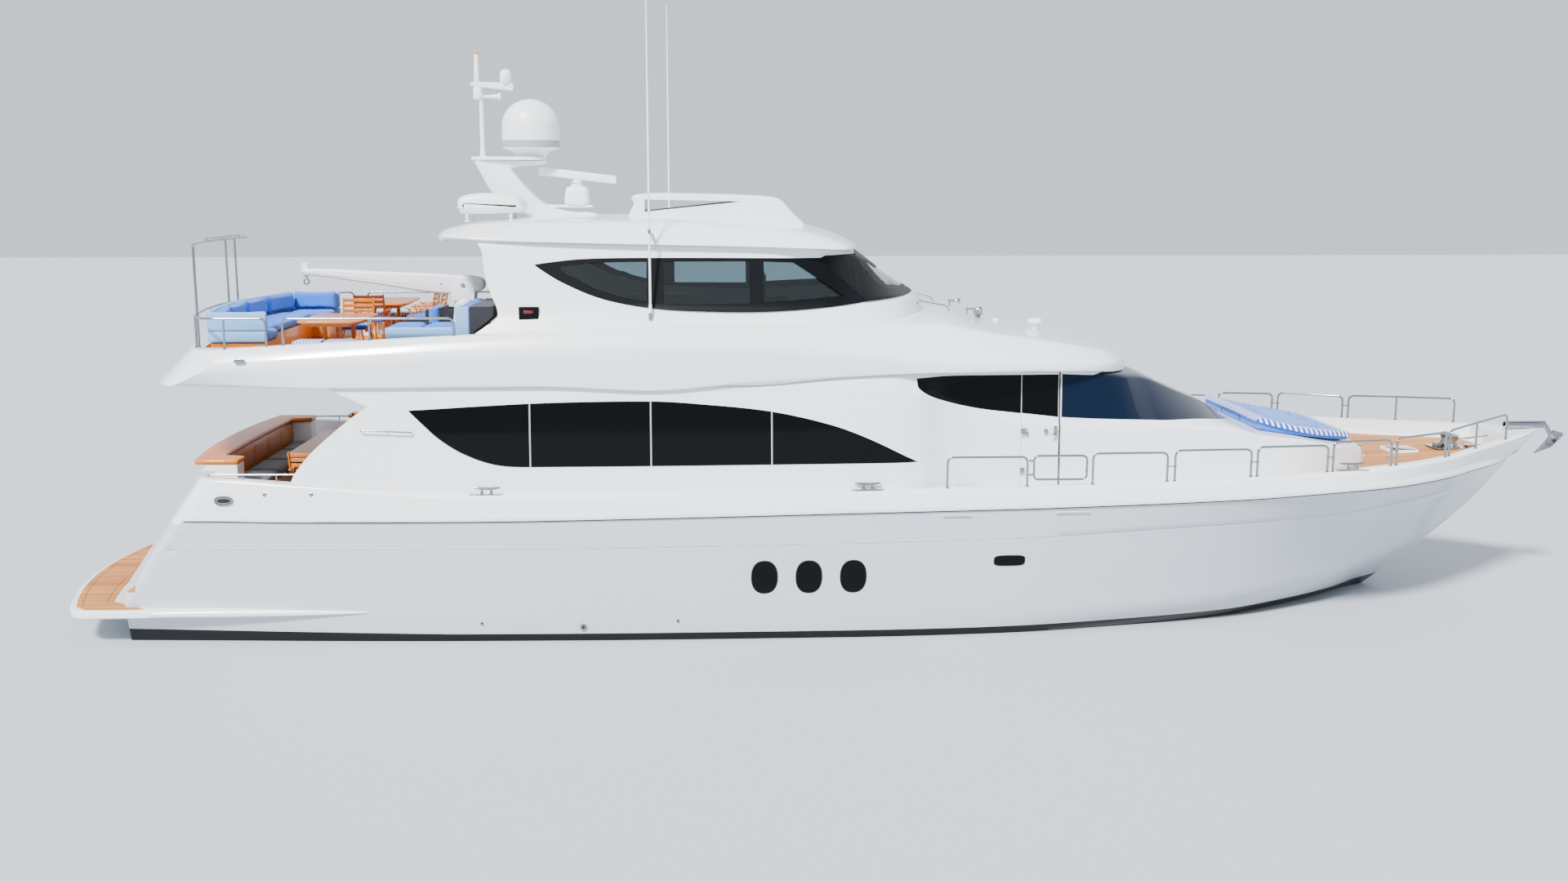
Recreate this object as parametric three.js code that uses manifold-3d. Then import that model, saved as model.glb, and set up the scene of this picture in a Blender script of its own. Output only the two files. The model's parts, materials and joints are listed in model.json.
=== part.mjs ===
// Motor yacht, 25 m. Millimetres, +X to the bow, +Y to port, +Z up.
// The origin is amidships on the centreline, in the plane of the water.

import * as THREE from 'three';
import { mergeVertices } from 'three/addons/utils/BufferGeometryUtils.js';
import Module from 'manifold-3d';

const wasm = await Module();
wasm.setup();

// Driving dimensions
const gap = 0.4;
const runningGap = 0.5;
const cockpitAft = -9720;
const capWidth = 200;
const wall = 75;
const soleTop = 1900;
const platformTop = 550;
const platformDepth = 130;
const transomRake = 0.7;
const houseAft = -6650;
const flyFloor = 4170;
const fasciaWidth = 150;
const railTube = 16;
const shaftAngle = THREE.MathUtils.degToRad(10);
const propellerX = -9900;
const propellerY = 1250;
const propellerZ = -1150;
const propellerRadius = 400;
const rudderX = -10550;
const radarTilt = THREE.MathUtils.degToRad(6.7);

// Hull stations, half-breadths and heights at each x:
// x, keel z, chine y z, crease y z, knuckle y z, sheer y z, deck z
const hullStations = [
  [-11800, -760, 2530, -140, 2610, 60, 2945, 1990, 2890, 2600, 1900],
  [-9600, -880, 2640, -140, 2730, 60, 3045, 2000, 2985, 2590, 1900],
  [-8350, -950, 2720, -140, 2800, 60, 3105, 1985, 3045, 2510, 1900],
  [-5800, -1060, 2840, -130, 2900, 70, 3190, 1990, 3120, 2340, 1900],
  [-3000, -1120, 2900, -100, 2940, 80, 3245, 2030, 3170, 2340, 1900],
  [0, -1150, 2890, -60, 2925, 120, 3250, 2085, 3175, 2370, 2090],
  [2500, -1130, 2760, 0, 2840, 210, 3250, 2130, 3175, 2400, 2130],
  [4400, -1050, 2440, 20, 2660, 320, 3190, 2170, 3120, 2440, 2170],
  [6200, -880, 2020, 60, 2330, 420, 3100, 2220, 3030, 2500, 2230],
  [7500, -640, 1420, 110, 1830, 530, 2950, 2275, 2900, 2545, 2275],
  [8500, -330, 860, 200, 1330, 640, 2740, 2310, 2740, 2600, 2330],
  [9200, -70, 330, 250, 880, 730, 2420, 2325, 2450, 2620, 2350],
  [9900, 440, 60, 520, 420, 800, 1960, 2335, 2010, 2640, 2370],
  [10450, 850, 20, 880, 70, 930, 1500, 2345, 1600, 2670, 2400],
  [11000, 1330, 15, 1350, 30, 1380, 1060, 2355, 1200, 2705, 2430],
  [11420, 1760, 12, 1775, 25, 1800, 640, 2365, 880, 2725, 2450],
  [11800, 2230, 10, 2245, 20, 2260, 210, 2390, 560, 2745, 2470],
  [12200, 2640, 8, 2645, 16, 2655, 40, 2670, 110, 2765, 2500],
];

// Deckhouse stations: x, base y, shoulder y z, glass foot y z, glass head y z, crown z
const houseStations = [
  [-8350, 3040, 2905, 3800, 2898, 3860, 2890, 3949, 3949],
  [-5800, 3040, 2905, 3800, 2898, 3860, 2890, 3949, 3949],
  [-3000, 3040, 2905, 3800, 2898, 3860, 2890, 3949, 3949],
  [-1500, 3040, 2905, 3800, 2898, 3860, 2890, 3949, 3949],
  [0, 3040, 2905, 3830, 2898, 3900, 2880, 4069, 4069],
  [1000, 3040, 2900, 3850, 2880, 3920, 2840, 4110, 4110],
  [1060, 2962, 2885, 3830, 2860, 3910, 2800, 4114, 4114],
  [1600, 2680, 2610, 3640, 2560, 3700, 2430, 4122, 4122],
  [2500, 2500, 2460, 3345, 2410, 3430, 2370, 4117, 4117],
  [3400, 2440, 2400, 3215, 2360, 3330, 2320, 4091, 4091],
  [3900, 2410, 2375, 3195, 2340, 3300, 2200, 4059, 4059],
  [4400, 2385, 2350, 3180, 2320, 3280, 1850, 3985, 4000],
  [4900, 2355, 2315, 3170, 2285, 3260, 1300, 3880, 3915],
  [5600, 2300, 2240, 3165, 1980, 3235, 1100, 3590, 3625],
  [6200, 2200, 2150, 3130, 1500, 3160, 850, 3325, 3345],
  [6700, 2110, 2050, 2990, 500, 3012, 250, 3014, 3016],
  [7500, 1920, 1850, 2870, 900, 2884, 450, 2884, 2884],
  [8000, 1680, 1600, 2760, 800, 2800, 400, 2802, 2804],
  [8500, 1280, 1180, 2650, 600, 2718, 300, 2720, 2722],
  [8850, 850, 740, 2560, 400, 2610, 200, 2620, 2625],
  [9050, 420, 320, 2440, 200, 2450, 100, 2455, 2460],
];

// Upper deck stations: x, soffit y z, edge y z, crease y z, shoulder y z, crown z
const upperStations = [
  [-11000, 2550, 3950, 2640, 3995, 2830, 4180, 2700, 4440, 4440],
  [-9900, 2700, 3950, 2790, 3990, 2940, 4230, 2790, 4490, 4490],
  [-7770, 2905, 3950, 2955, 3930, 3030, 4350, 2880, 4615, 4615],
  [-4660, 2905, 3950, 2965, 3945, 3040, 4480, 2900, 4770, 4770],
  [-2940, 2905, 3950, 2965, 3862, 3040, 4540, 2890, 4830, 4830],
  [-1500, 2905, 3950, 2960, 3995, 3035, 4530, 2860, 4850, 4850],
  [0, 2900, 4070, 2930, 4075, 2990, 4430, 2700, 4850, 4850],
  [1360, 2860, 4118, 2890, 4122, 2900, 4320, 2300, 4800, 5080],
  [2500, 2700, 4118, 2740, 4121, 2740, 4260, 2050, 4620, 4690],
  [3400, 2490, 4092, 2530, 4095, 2530, 4235, 1840, 4480, 4530],
  [3900, 2260, 4060, 2300, 4063, 2300, 4200, 1650, 4380, 4430],
  [4300, 1850, 4006, 1890, 4010, 1890, 4150, 1330, 4290, 4345],
  [4600, 1250, 3970, 1290, 3976, 1290, 4100, 880, 4200, 4250],
  [4780, 700, 3958, 740, 3966, 735, 4065, 480, 4130, 4160],
  [4860, 300, 3975, 330, 3985, 325, 4045, 200, 4080, 4095],
];

// Superstructure of the upper deck: x, base y, foot y z, head y z, crown z
const loungeStations = [
  [-5640, 2830, 2560, 5000, 2360, 6100, 6100],
  [-4600, 2840, 2560, 5050, 2360, 6080, 6080],
  [-3000, 2830, 2550, 5080, 2350, 6050, 6050],
  [-1200, 2790, 2500, 5050, 2300, 6020, 6020],
  [-300, 2690, 2400, 5090, 2080, 5990, 5990],
  [150, 2560, 2260, 5150, 1500, 5880, 5930],
  [800, 2200, 1850, 5200, 900, 5450, 5510],
  [1290, 1500, 900, 5090, 400, 5160, 5180],
  [1400, 900, 500, 5040, 200, 5080, 5090],
];

// Hardtop stations: x, edge y z, shoulder y z, crown z, underside z
const hardtopStations = [
  [-6500, 250, 6118, 150, 6136, 6142, 6085],
  [-6420, 900, 6128, 700, 6172, 6190, 6085],
  [-6300, 1600, 6145, 1250, 6215, 6235, 6085],
  [-6190, 2050, 6160, 1650, 6250, 6272, 6085],
  [-6100, 2220, 6170, 1800, 6275, 6300, 6085],
  [-5560, 2420, 6130, 2050, 6340, 6400, 6082],
  [-4400, 2480, 6080, 2100, 6390, 6450, 6062],
  [-2900, 2490, 6040, 2100, 6390, 6450, 6032],
  [-1200, 2450, 5990, 2050, 6300, 6380, 6012],
  [-550, 2430, 5970, 1950, 6210, 6290, 5992],
  [0, 2200, 5960, 1700, 6060, 6130, 5925],
  [200, 1500, 5955, 1150, 6000, 6035, 5922],
  [300, 800, 5950, 600, 5965, 5980, 5920],
];

// Rail hoops on the port cap, mirrored to starboard: start x, end x, top z
const railHoops = [
  [1510, 2730, 2860],
  [3740, 4900, 2900],
  [5020, 6220, 2930],
  [6320, 7460, 2960],
  [7550, 8530, 3010],
  [8630, 9660, 3030],
];

const white = { color: 0xeef1f4, roughness: 0.25, metalness: 0 };
const topsides = { color: 0xdfe3e8, roughness: 0.2, metalness: 0 };
const darkGlass = { color: 0x0b1016, roughness: 0.05, metalness: 0 };
const clearGlass = { color: 0x5a6a72, roughness: 0.05, metalness: 0 };
const varnish = { color: 0xb8651b, roughness: 0.2, metalness: 0 };
const stainless = { color: 0xd5d8da, roughness: 0.2, metalness: 1 };
const bronze = { color: 0xb08a4a, roughness: 0.35, metalness: 1 };
const blueCloth = { color: 0x6fa3dd, roughness: 0.9, metalness: 0 };
const greyCloth = { color: 0x6e7279, roughness: 0.9, metalness: 0 };
const towelCloth = { color: 0x3a64cf, roughness: 0.95, metalness: 0 };
const enginePaint = { color: 0xd9d9d6, roughness: 0.5, metalness: 0 };

const yacht = new THREE.Group();

function addMesh(name, shape, look) {
  const geometry = shape.isBufferGeometry ? shape : geometryOf(shape);
  geometry.computeVertexNormals();
  const mesh = new THREE.Mesh(geometry, new THREE.MeshStandardMaterial(look));
  mesh.name = name;
  yacht.add(mesh);
  return mesh;
}

// Solids and booleans

function solidOf(geometry) {
  const bare = geometry.clone();
  bare.deleteAttribute('normal');
  bare.deleteAttribute('uv');
  const merged = mergeVertices(bare, 1e-3);
  const vertProperties = new Float32Array(merged.attributes.position.array);
  const triVerts = new Uint32Array(merged.index.array);
  return new wasm.Manifold(new wasm.Mesh({ numProp: 3, vertProperties, triVerts }));
}

function geometryOf(solid) {
  const mesh = solid.getMesh();
  const geometry = new THREE.BufferGeometry();
  geometry.setAttribute('position', new THREE.BufferAttribute(Float32Array.from(mesh.vertProperties), 3));
  geometry.setIndex(Array.from(mesh.triVerts));
  return geometry;
}

function joined(...shapes) {
  return shapes.map(asSolid).reduce((sum, shape) => sum.add(shape));
}

function cut(shape, ...cutters) {
  return cutters.map(asSolid).reduce((rest, cutter) => rest.subtract(cutter), asSolid(shape));
}

function common(shape, other) {
  return asSolid(shape).intersect(asSolid(other));
}

function asSolid(shape) {
  return shape.isBufferGeometry ? solidOf(shape) : shape;
}

function mirrored(shape) {
  const geometry = (shape.isBufferGeometry ? shape : geometryOf(shape)).clone();
  geometry.scale(1, -1, 1);
  return flipped(geometry);
}

function pair(shape) {
  return [shape, mirrored(shape)];
}

function flipped(geometry) {
  const indexed = geometry.index ? geometry : mergeVertices(geometry);
  const index = Array.from(indexed.index.array);
  for (let i = 0; i < index.length; i += 3) {
    [index[i], index[i + 1]] = [index[i + 1], index[i]];
  }
  indexed.setIndex(index);
  return indexed;
}

// Basic shapes

function box(x0, x1, y0, y1, z0, z1) {
  const geometry = new THREE.BoxGeometry(x1 - x0, y1 - y0, z1 - z0);
  return geometry.translate((x0 + x1) / 2, (y0 + y1) / 2, (z0 + z1) / 2);
}

function extrude(points, depth) {
  const shape = new THREE.Shape(points.map(([u, v]) => new THREE.Vector2(u, v)));
  return new THREE.ExtrudeGeometry(shape, { depth, bevelEnabled: false });
}

// An outline in plan, points [x, y], raised from z0 to z1
function slab(points, z0, z1) {
  return extrude(points, z1 - z0).translate(0, 0, z0);
}

// An outline in profile, points [x, z], from y0 to y1
function profile(points, y0, y1) {
  return extrude(points, y1 - y0).rotateX(Math.PI / 2).translate(0, y1, 0);
}

// A skin over rings with equal numbers of points, closed by flat ends
function loft(rings) {
  const count = rings[0].length;
  const positions = rings.flat(2);
  const index = [];
  for (let ring = 0; ring + 1 < rings.length; ring += 1) {
    for (let i = 0; i < count; i += 1) {
      const a = ring * count + i;
      const b = ring * count + (i + 1) % count;
      index.push(a, b, b + count, a, b + count, a + count);
    }
  }
  const last = (rings.length - 1) * count;
  for (const [a, b, c] of endTriangles(rings[0])) index.push(c, b, a);
  for (const [a, b, c] of endTriangles(rings.at(-1))) index.push(last + a, last + b, last + c);
  const geometry = new THREE.BufferGeometry();
  geometry.setAttribute('position', new THREE.Float32BufferAttribute(positions, 3));
  geometry.setIndex(index);
  return signedVolume(geometry) < 0 ? flipped(geometry) : geometry;
}

function endTriangles(ring) {
  const outline = ring.map(([, y, z]) => new THREE.Vector2(y, z));
  const faces = THREE.ShapeUtils.triangulateShape(outline, []);
  const turnsLeft = THREE.ShapeUtils.area(outline) > 0;
  return turnsLeft ? faces : faces.map(([a, b, c]) => [c, b, a]);
}

function signedVolume(geometry) {
  const { position } = geometry.attributes;
  const corner = (i) => new THREE.Vector3().fromBufferAttribute(position, geometry.index.getX(i));
  let volume = 0;
  for (let i = 0; i < geometry.index.count; i += 3) {
    volume += corner(i).dot(corner(i + 1).cross(corner(i + 2)));
  }
  return volume;
}

// Both sides of a section, given the [y, z] points of its port half from the centreline out and back
function wholeSection(x, half) {
  const left = half.map(([y, z]) => [x, y, z]);
  const right = half.filter(([y]) => y !== 0).reverse().map(([y, z]) => [x, -y, z]);
  return [...left, ...right];
}

// The value of a column of a station table at any x
function valueAt(table, column, x) {
  const next = table.findIndex((row) => row[0] >= x);
  if (next <= 0) return table.at(next)[column];
  const [before, after] = [table[next - 1], table[next]];
  const share = (x - before[0]) / (after[0] - before[0]);
  return before[column] + share * (after[column] - before[column]);
}

const sheerY = (x) => valueAt(hullStations, 8, x);
const sheerZ = (x) => valueAt(hullStations, 9, x);
const deckZ = (x) => valueAt(hullStations, 10, x);

// A path through points, in equal steps of its parameter from point to point
class Route extends THREE.Curve {
  constructor(points) {
    super();
    this.points = points.map(([x, y, z]) => new THREE.Vector3(x, y, z));
  }

  getPoint(t) {
    const last = this.points.length - 1;
    const index = Math.min(Math.floor(t * last), last - 1);
    return this.points[index].clone().lerp(this.points[index + 1], t * last - index);
  }

  getUtoTmapping(u) {
    return u;
  }
}

function tube(points, radius, sides = 6) {
  const section = new THREE.Shape();
  for (let i = 0; i < sides; i += 1) {
    const angle = (2 * Math.PI * i) / sides;
    const corner = [radius * Math.cos(angle), radius * Math.sin(angle)];
    if (i === 0) section.moveTo(...corner);
    else section.lineTo(...corner);
  }
  const extrudePath = new Route(points);
  return new THREE.ExtrudeGeometry(section, { steps: points.length - 1, bevelEnabled: false, extrudePath });
}

// Points of a path whose corners are rounded by arcs of three points
function rounded(points, radius) {
  const path = [points[0]];
  for (let i = 1; i + 1 < points.length; i += 1) {
    const [before, corner, after] = [i - 1, i, i + 1].map((k) => new THREE.Vector3(...points[k]));
    const into = before.clone().sub(corner).setLength(radius).add(corner);
    const out = after.clone().sub(corner).setLength(radius).add(corner);
    const bend = new THREE.QuadraticBezierCurve3(into, corner, out);
    for (const t of [0, 0.5, 1]) path.push(bend.getPoint(t).toArray());
  }
  path.push(points.at(-1));
  return path;
}

function cylinder(radius, from, to, sides = 12, topRadius = radius) {
  const start = new THREE.Vector3(...from);
  const along = new THREE.Vector3(...to).sub(start);
  const geometry = new THREE.CylinderGeometry(topRadius, radius, along.length(), sides);
  geometry.translate(0, along.length() / 2, 0);
  const turn = new THREE.Quaternion().setFromUnitVectors(new THREE.Vector3(0, 1, 0), along.normalize());
  return geometry.applyQuaternion(turn).translate(...from);
}

// A body of revolution about a vertical line, profile points [radius, z]
function turned(points, x, y, sides = 24) {
  const outline = points.map(([radius, z]) => new THREE.Vector2(radius, z));
  return new THREE.LatheGeometry(outline, sides).rotateX(Math.PI / 2).translate(x, y, 0);
}

// A shape sheared aft or forward with height: x grows by rake for each unit of z above z0
function raked(geometry, rake, z0) {
  const shear = new THREE.Matrix4().makeShear(0, 0, 0, 0, 0, 0);
  shear.elements[8] = rake;
  shear.elements[12] = -rake * z0;
  return geometry.applyMatrix4(shear);
}

function bowed(halfWidth, sag, xSide, count = 8) {
  const points = [];
  for (let i = 0; i <= count; i += 1) {
    const y = halfWidth * (1 - (2 * i) / count);
    points.push([xSide - sag * (1 - (y / halfWidth) ** 2), y]);
  }
  return points;
}

// Hull

function hullSection([x, keelZ, chineY, chineZ, creaseY, creaseZ, knuckleY, knuckleZ, shY, shZ]) {
  return wholeSection(x, [[0, keelZ], [chineY, chineZ], [creaseY, creaseZ], [knuckleY, knuckleZ], [shY, shZ]]);
}

// The transom is bowed in plan and raked above the swim platform's underside, and flat below it
const farAft = -14000;
const transomHalf = 3400;
const lowerTransomX = -11050;

function transomCutter() {
  const foot = platformTop - platformDepth;
  const outline = [[farAft, transomHalf], ...bowed(transomHalf, 630, -10995), [farAft, -transomHalf]];
  const upper = raked(slab(outline, foot, 3200), transomRake, platformTop);
  const lower = box(farAft, lowerTransomX, -3500, 3500, -2000, foot + 1);
  return joined(upper, lower);
}

function deckWell() {
  const to = 11420;
  const rows = hullStations.filter(([x]) => x > cockpitAft && x < to);
  const places = [cockpitAft, ...rows.map(([x]) => x), to];
  const rings = places.map((x) => {
    const y = sheerY(x) - capWidth;
    return [[x, y, deckZ(x)], [x, y, 3300], [x, -y, 3300], [x, -y, deckZ(x)]];
  });
  return loft(rings);
}

const stairInner = 2300;
const stairOuter = 2780;

function stairWell() {
  const risers = 6;
  const start = -11050;
  const going = 255;
  const rise = (soleTop - platformTop) / risers;
  const points = [[-11900, 3300], [-11900, platformTop], [start, platformTop]];
  for (let step = 0; step < risers; step += 1) {
    const x = start + step * going;
    points.push([x, platformTop + rise * (step + 1)]);
    if (step + 1 < risers) points.push([x + going, platformTop + rise * (step + 1)]);
  }
  points.push([cockpitAft + 60, soleTop], [cockpitAft + 60, 3300]);
  return profile(points, stairInner, stairOuter);
}

// The back of the cockpit seat rises above the sheer between the stairs, with an arm at each end
const seatBackTop = 2680;
const armEnd = -9370;
const armInner = 1960;

function seatBack() {
  const outline = [...bowed(stairInner, 190, -10060), [cockpitAft, -stairInner], [cockpitAft, stairInner]];
  return raked(slab(outline, 2500, seatBackTop), 0.4, 2600);
}

function seatArm() {
  return box(cockpitAft - 5, armEnd, armInner, stairInner, soleTop - 5, seatBackTop);
}

// Running gear hangs from two bosses of the hull and two struts
function shaftPoint(along, side) {
  const x = propellerX + along * Math.cos(shaftAngle);
  return [x, side * propellerY, propellerZ + along * Math.sin(shaftAngle)];
}

const shaftRadius = 35;
const shaftBore = shaftRadius + runningGap + 0.3;
const strutAt = 330;

function strut() {
  const barrel = cylinder(80, shaftPoint(strutAt - 130, 1), shaftPoint(strutAt + 130, 1));
  const x = propellerX + strutAt;
  const leg = profile([[x - 90, -1090], [x + 100, -1060], [x + 170, -400], [x - 60, -400]], 1230, 1270);
  return joined(barrel, leg);
}

function rudderBoss() {
  return cylinder(95, [rudderX, propellerY, -620], [rudderX, propellerY, -300]);
}

function runningGearBores() {
  const shaft = cylinder(shaftBore, shaftPoint(150, 1), shaftPoint(3900, 1), 24);
  const stock = cylinder(shaftBore, [rudderX, propellerY, -700], [rudderX, propellerY, -470], 24);
  return joined(shaft, stock);
}

const engineBay = { x0: -5900, x1: -3700, y: 1050, halfWidth: 560, floor: -400 };

function engineWell(side) {
  const { x0, x1, y, halfWidth, floor } = engineBay;
  return box(x0, x1, side * y - halfWidth, side * y + halfWidth, floor, soleTop + 300);
}

function hull() {
  const body = loft(hullStations.map(hullSection));
  const cutBody = cut(joined(body, seatBack()), transomCutter(), deckWell(), engineWell(1), engineWell(-1));
  const withParts = joined(cutBody, ...pair(seatArm()), ...pair(rudderBoss()));
  return cut(withParts, ...pair(stairWell()), ...pair(runningGearBores()));
}

const hullSolid = hull();
addMesh('hull', hullSolid, topsides);

// The strut's leg ends a hair below the hull
function fittedStrut(shape) {
  return cut(shape, geometryOf(hullSolid).translate(0, 0, -gap), hullSolid);
}

const boredStrut = cut(strut(), runningGearBores());
addMesh('strut_port', fittedStrut(boredStrut), bronze);
addMesh('strut_starboard', fittedStrut(mirrored(boredStrut)), bronze);

// Swim platform

function platformPlan() {
  const aft = [];
  for (let y = 2700; y >= -2700; y -= 675) aft.push([-12410 + 70 * (y / 1000) ** 2, y]);
  return [[-10600, 2950], [-11700, 2950], ...aft, [-11700, -2950], [-10600, -2950]];
}

function swimPlatform() {
  const plate = slab(platformPlan(), platformTop - platformDepth, platformTop);
  return cut(plate, geometryOf(hullSolid).translate(-gap, 0, 0), hullSolid);
}

addMesh('swim_platform', swimPlatform(), white);

// Engines, one plain block each

for (const [name, side] of [['engine_port', 1], ['engine_starboard', -1]]) {
  const { x0, x1, y, floor } = engineBay;
  addMesh(name, box(x0 + 50, x1 - 50, side * y - 500, side * y + 500, floor + gap, 850), enginePaint);
}

// Upper deck

function upperSection([x, soffitY, soffitZ, edgeY, edgeZ, creaseY, creaseZ, shoulderY, shoulderZ, crownZ]) {
  return wholeSection(x, [
    [0, soffitZ], [soffitY, soffitZ], [edgeY, edgeZ], [creaseY, creaseZ], [shoulderY, shoulderZ], [0, crownZ],
  ]);
}

const upperBody = loft(upperStations.map(upperSection));
const shoulderY = (x) => valueAt(upperStations, 7, x);
const shoulderZ = (x) => valueAt(upperStations, 8, x);

function upperAftCutter() {
  const arc = bowed(2600, 520, -10280);
  const side = [[farAft, 3500], [-8900, 3500], [-9500, 3100], [-10000, 2850]];
  const outline = [...side, ...arc, ...side.map(([x, y]) => [x, -y]).reverse()];
  return raked(slab(outline, 3700, 4800), 0.95, 4000);
}

function flyWell() {
  const aft = bowed(2350, 330, -9720);
  const side = [-9000, -7770, -5560].map((x) => [x, shoulderY(x) - fasciaWidth]);
  const outline = [...side.slice().reverse(), ...aft, ...side.map(([x, y]) => [x, -y])];
  return slab(outline, flyFloor, 5300);
}

function loungeFloor() {
  const rows = loungeStations.filter(([x]) => x > -5640 && x < 1200);
  const port = rows.map(([x, y]) => [x, y - 330]);
  const outline = [[-5600, 2480], ...port, ...port.map(([x, y]) => [x, -y]).reverse(), [-5600, -2480]];
  return slab(outline.reverse(), flyFloor, 5300);
}

addMesh('upper_deck', cut(upperBody, upperAftCutter(), flyWell(), loungeFloor()), white);

// Deckhouse

function houseSection([x, baseY, shY, shZ, footY, footZ, headY, headZ, crownZ], onCap, inset = 0) {
  const baseZ = (onCap ? sheerZ(x) : deckZ(x)) + gap;
  const lift = x < 4900 ? 10 : 0;
  return wholeSection(x, [
    [baseY - inset, baseZ], [shY - inset, shZ], [footY - inset, footZ - inset / 2],
    [headY - inset, headZ + lift - inset], [0, crownZ + lift - inset],
  ]);
}

// Aft of the step the base stands on the cap, forward of it on the side deck
function houseBody(inset) {
  const rings = houseStations.flatMap((row) => {
    if (row[0] < 1060) return [houseSection(row, true, inset)];
    if (row[0] > 1060) return [houseSection(row, false, inset)];
    return [houseSection(row, true, inset), houseSection([1100, ...row.slice(1)], false, inset)];
  });
  return loft(rings);
}

function houseCavity(from, to) {
  const rows = houseStations.filter(([x]) => x > from && x < to);
  const places = [from, ...rows.map(([x]) => x), to];
  const rings = places.map((x) => {
    const at = (column) => valueAt(houseStations, column, x);
    return wholeSection(x, [
      [at(1) - wall, 1500], [at(2) - wall, at(3) - 20], [at(4) - wall, at(5) - 30],
      [at(6) - wall, at(7) - wall], [0, at(8) - wall],
    ]);
  });
  return loft(rings);
}

const salonGlassOutline = [
  [1090, 2760], [360, 3120], [-250, 3350], [-1170, 3560], [-2290, 3680], [-2970, 3720], [-4660, 3700],
  [-6600, 3600], [-6380, 3380], [-6140, 3160], [-5790, 2940], [-5330, 2775], [-4820, 2735],
];
const pilotGlassOutline = [
  [2700, 4028], [1060, 4030], [1100, 3870], [1430, 3690], [2060, 3520], [2700, 3430],
];
const wingEdge = [
  [-8500, 2300], [-8352, 2300], [-8350, 2530], [-8300, 2660], [-8070, 2950], [-7740, 3250], [-7340, 3570],
  [-7190, 3660], [-7780, 3925], [-7800, 4100], [-8500, 4100],
];
const doorway = { x0: 2740, x1: 3372, foot: 2210, head: 4060 };
const doorHinge = { x: 2740, y: 2500, radius: 12, heights: [2500, 3120], height: 80 };
const saloonDoorway = { y0: -700, y1: 500, foot: 1960, head: 3800 };

function sideCutter(outline) {
  return profile(outline, 1900, 3300);
}

// The zone of the wrapped glass, forward of the doors and above the foot of the glass
function foreGlassZone(margin) {
  const places = [3410 + margin, 3900, 4400, 4900, 5200];
  const rings = places.map((x) => {
    const low = valueAt(houseStations, 5, x) + 25 + margin;
    const high = valueAt(houseStations, 7, x) + (x < 4000 ? -60 : 120) - margin;
    return [[x, 3000, low], [x, 3000, high], [x, -3000, high], [x, -3000, low]];
  });
  const plan = [4900, 5600, 6200, 6700]
    .map((x) => [x + (x === 4900 ? margin : -margin), valueAt(houseStations, 4, x) - 40 - margin]);
  const front = slab([...plan, ...plan.map(([x, y]) => [x, -y]).reverse()].reverse(), 2900, 4300 - margin);
  return joined(loft(rings), front);
}

// Plates on the wall that carry the door's hinge barrels
function hingePlates() {
  const { x, y, radius, heights, height } = doorHinge;
  const edge = x - radius - runningGap;
  return heights.flatMap((z) => pair(box(edge - 24, edge, y - 130, y + radius, z, z + height)));
}

function houseShell() {
  const sides = [salonGlassOutline, pilotGlassOutline].map(sideCutter);
  const door = box(doorway.x0, doorway.x1, 1900, 3000, doorway.foot, doorway.head);
  const { y0, y1, foot, head } = saloonDoorway;
  const saloonDoor = box(houseAft - 10, houseAft + wall + 10, y0, y1, foot, head);
  const openings = [...sides, door].flatMap(pair);
  const cavities = [houseCavity(-8600, houseAft), houseCavity(houseAft + wall, 6480)];
  const wings = profile(wingEdge, -3400, 3400);
  const shell = cut(houseBody(0), ...cavities, ...openings, foreGlassZone(0), wings, saloonDoor);
  const doorRail = box(houseAft - 60, houseAft + 5, y0 - 60, 1900, head + 40, head + 80);
  return cut(joined(shell, doorRail, ...hingePlates()), upperBody.clone().translate(0, 0, -gap));
}

addMesh('main_deck_house', houseShell(), white);

const glassSheet = cut(houseBody(10), houseBody(35));
const doorSheet = cut(houseBody(4), houseBody(44));

// The same outline with every edge moved in by a margin
function shrunk(outline, margin) {
  const corners = outline.map(([u, v]) => new THREE.Vector2(u, v));
  const sense = Math.sign(THREE.ShapeUtils.area(corners));
  return corners.map((corner, i) => {
    const into = corner.clone().sub(corners.at(i - 1)).normalize();
    const out = corners[(i + 1) % corners.length].clone().sub(corner).normalize();
    const normals = [into, out].map(({ x, y }) => new THREE.Vector2(-y, x).multiplyScalar(sense));
    const middle = normals[0].clone().add(normals[1]);
    const step = middle.multiplyScalar((2 * margin) / middle.lengthSq());
    return corner.clone().add(step).toArray();
  });
}

const salonGlass = common(glassSheet, sideCutter(shrunk(salonGlassOutline, gap)));
const pilotGlass = common(glassSheet, sideCutter(shrunk(pilotGlassOutline, gap)));

function doorLeaf() {
  const leaf = common(doorSheet, box(doorway.x0 + 6, 3340, 1900, 3000, doorway.foot + 6, doorway.head - 6));
  const { x, y, radius, heights, height } = doorHinge;
  const barrels = heights.map((z) => joined(
    cylinder(radius, [x, y, z], [x, y, z + height]),
    box(x + 4, x + 60, y - 130, y - 4, z, z + height),
  ));
  return joined(leaf, ...barrels.map((barrel) => cut(barrel, houseBody(10))));
}

const doorSolid = doorLeaf();

addMesh('salon_glass_port', salonGlass, darkGlass);
addMesh('salon_glass_starboard', mirrored(salonGlass), darkGlass);
addMesh('pilothouse_glass_port', pilotGlass, darkGlass);
addMesh('pilothouse_glass_starboard', mirrored(pilotGlass), darkGlass);
const windscreen = common(glassSheet, foreGlassZone(gap));
addMesh('pilothouse_windscreen', cut(windscreen, upperBody.clone().translate(0, 0, -gap)), darkGlass);
addMesh('pilothouse_door_port', doorSolid, white);
addMesh('pilothouse_door_starboard', mirrored(doorSolid), white);

function saloonDoor() {
  const { y0, y1, head } = saloonDoorway;
  const x = houseAft - 10;
  return box(x - 40, x, y0 - 50, y1 + 50, soleTop + 8, head + 40 - runningGap);
}

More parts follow.
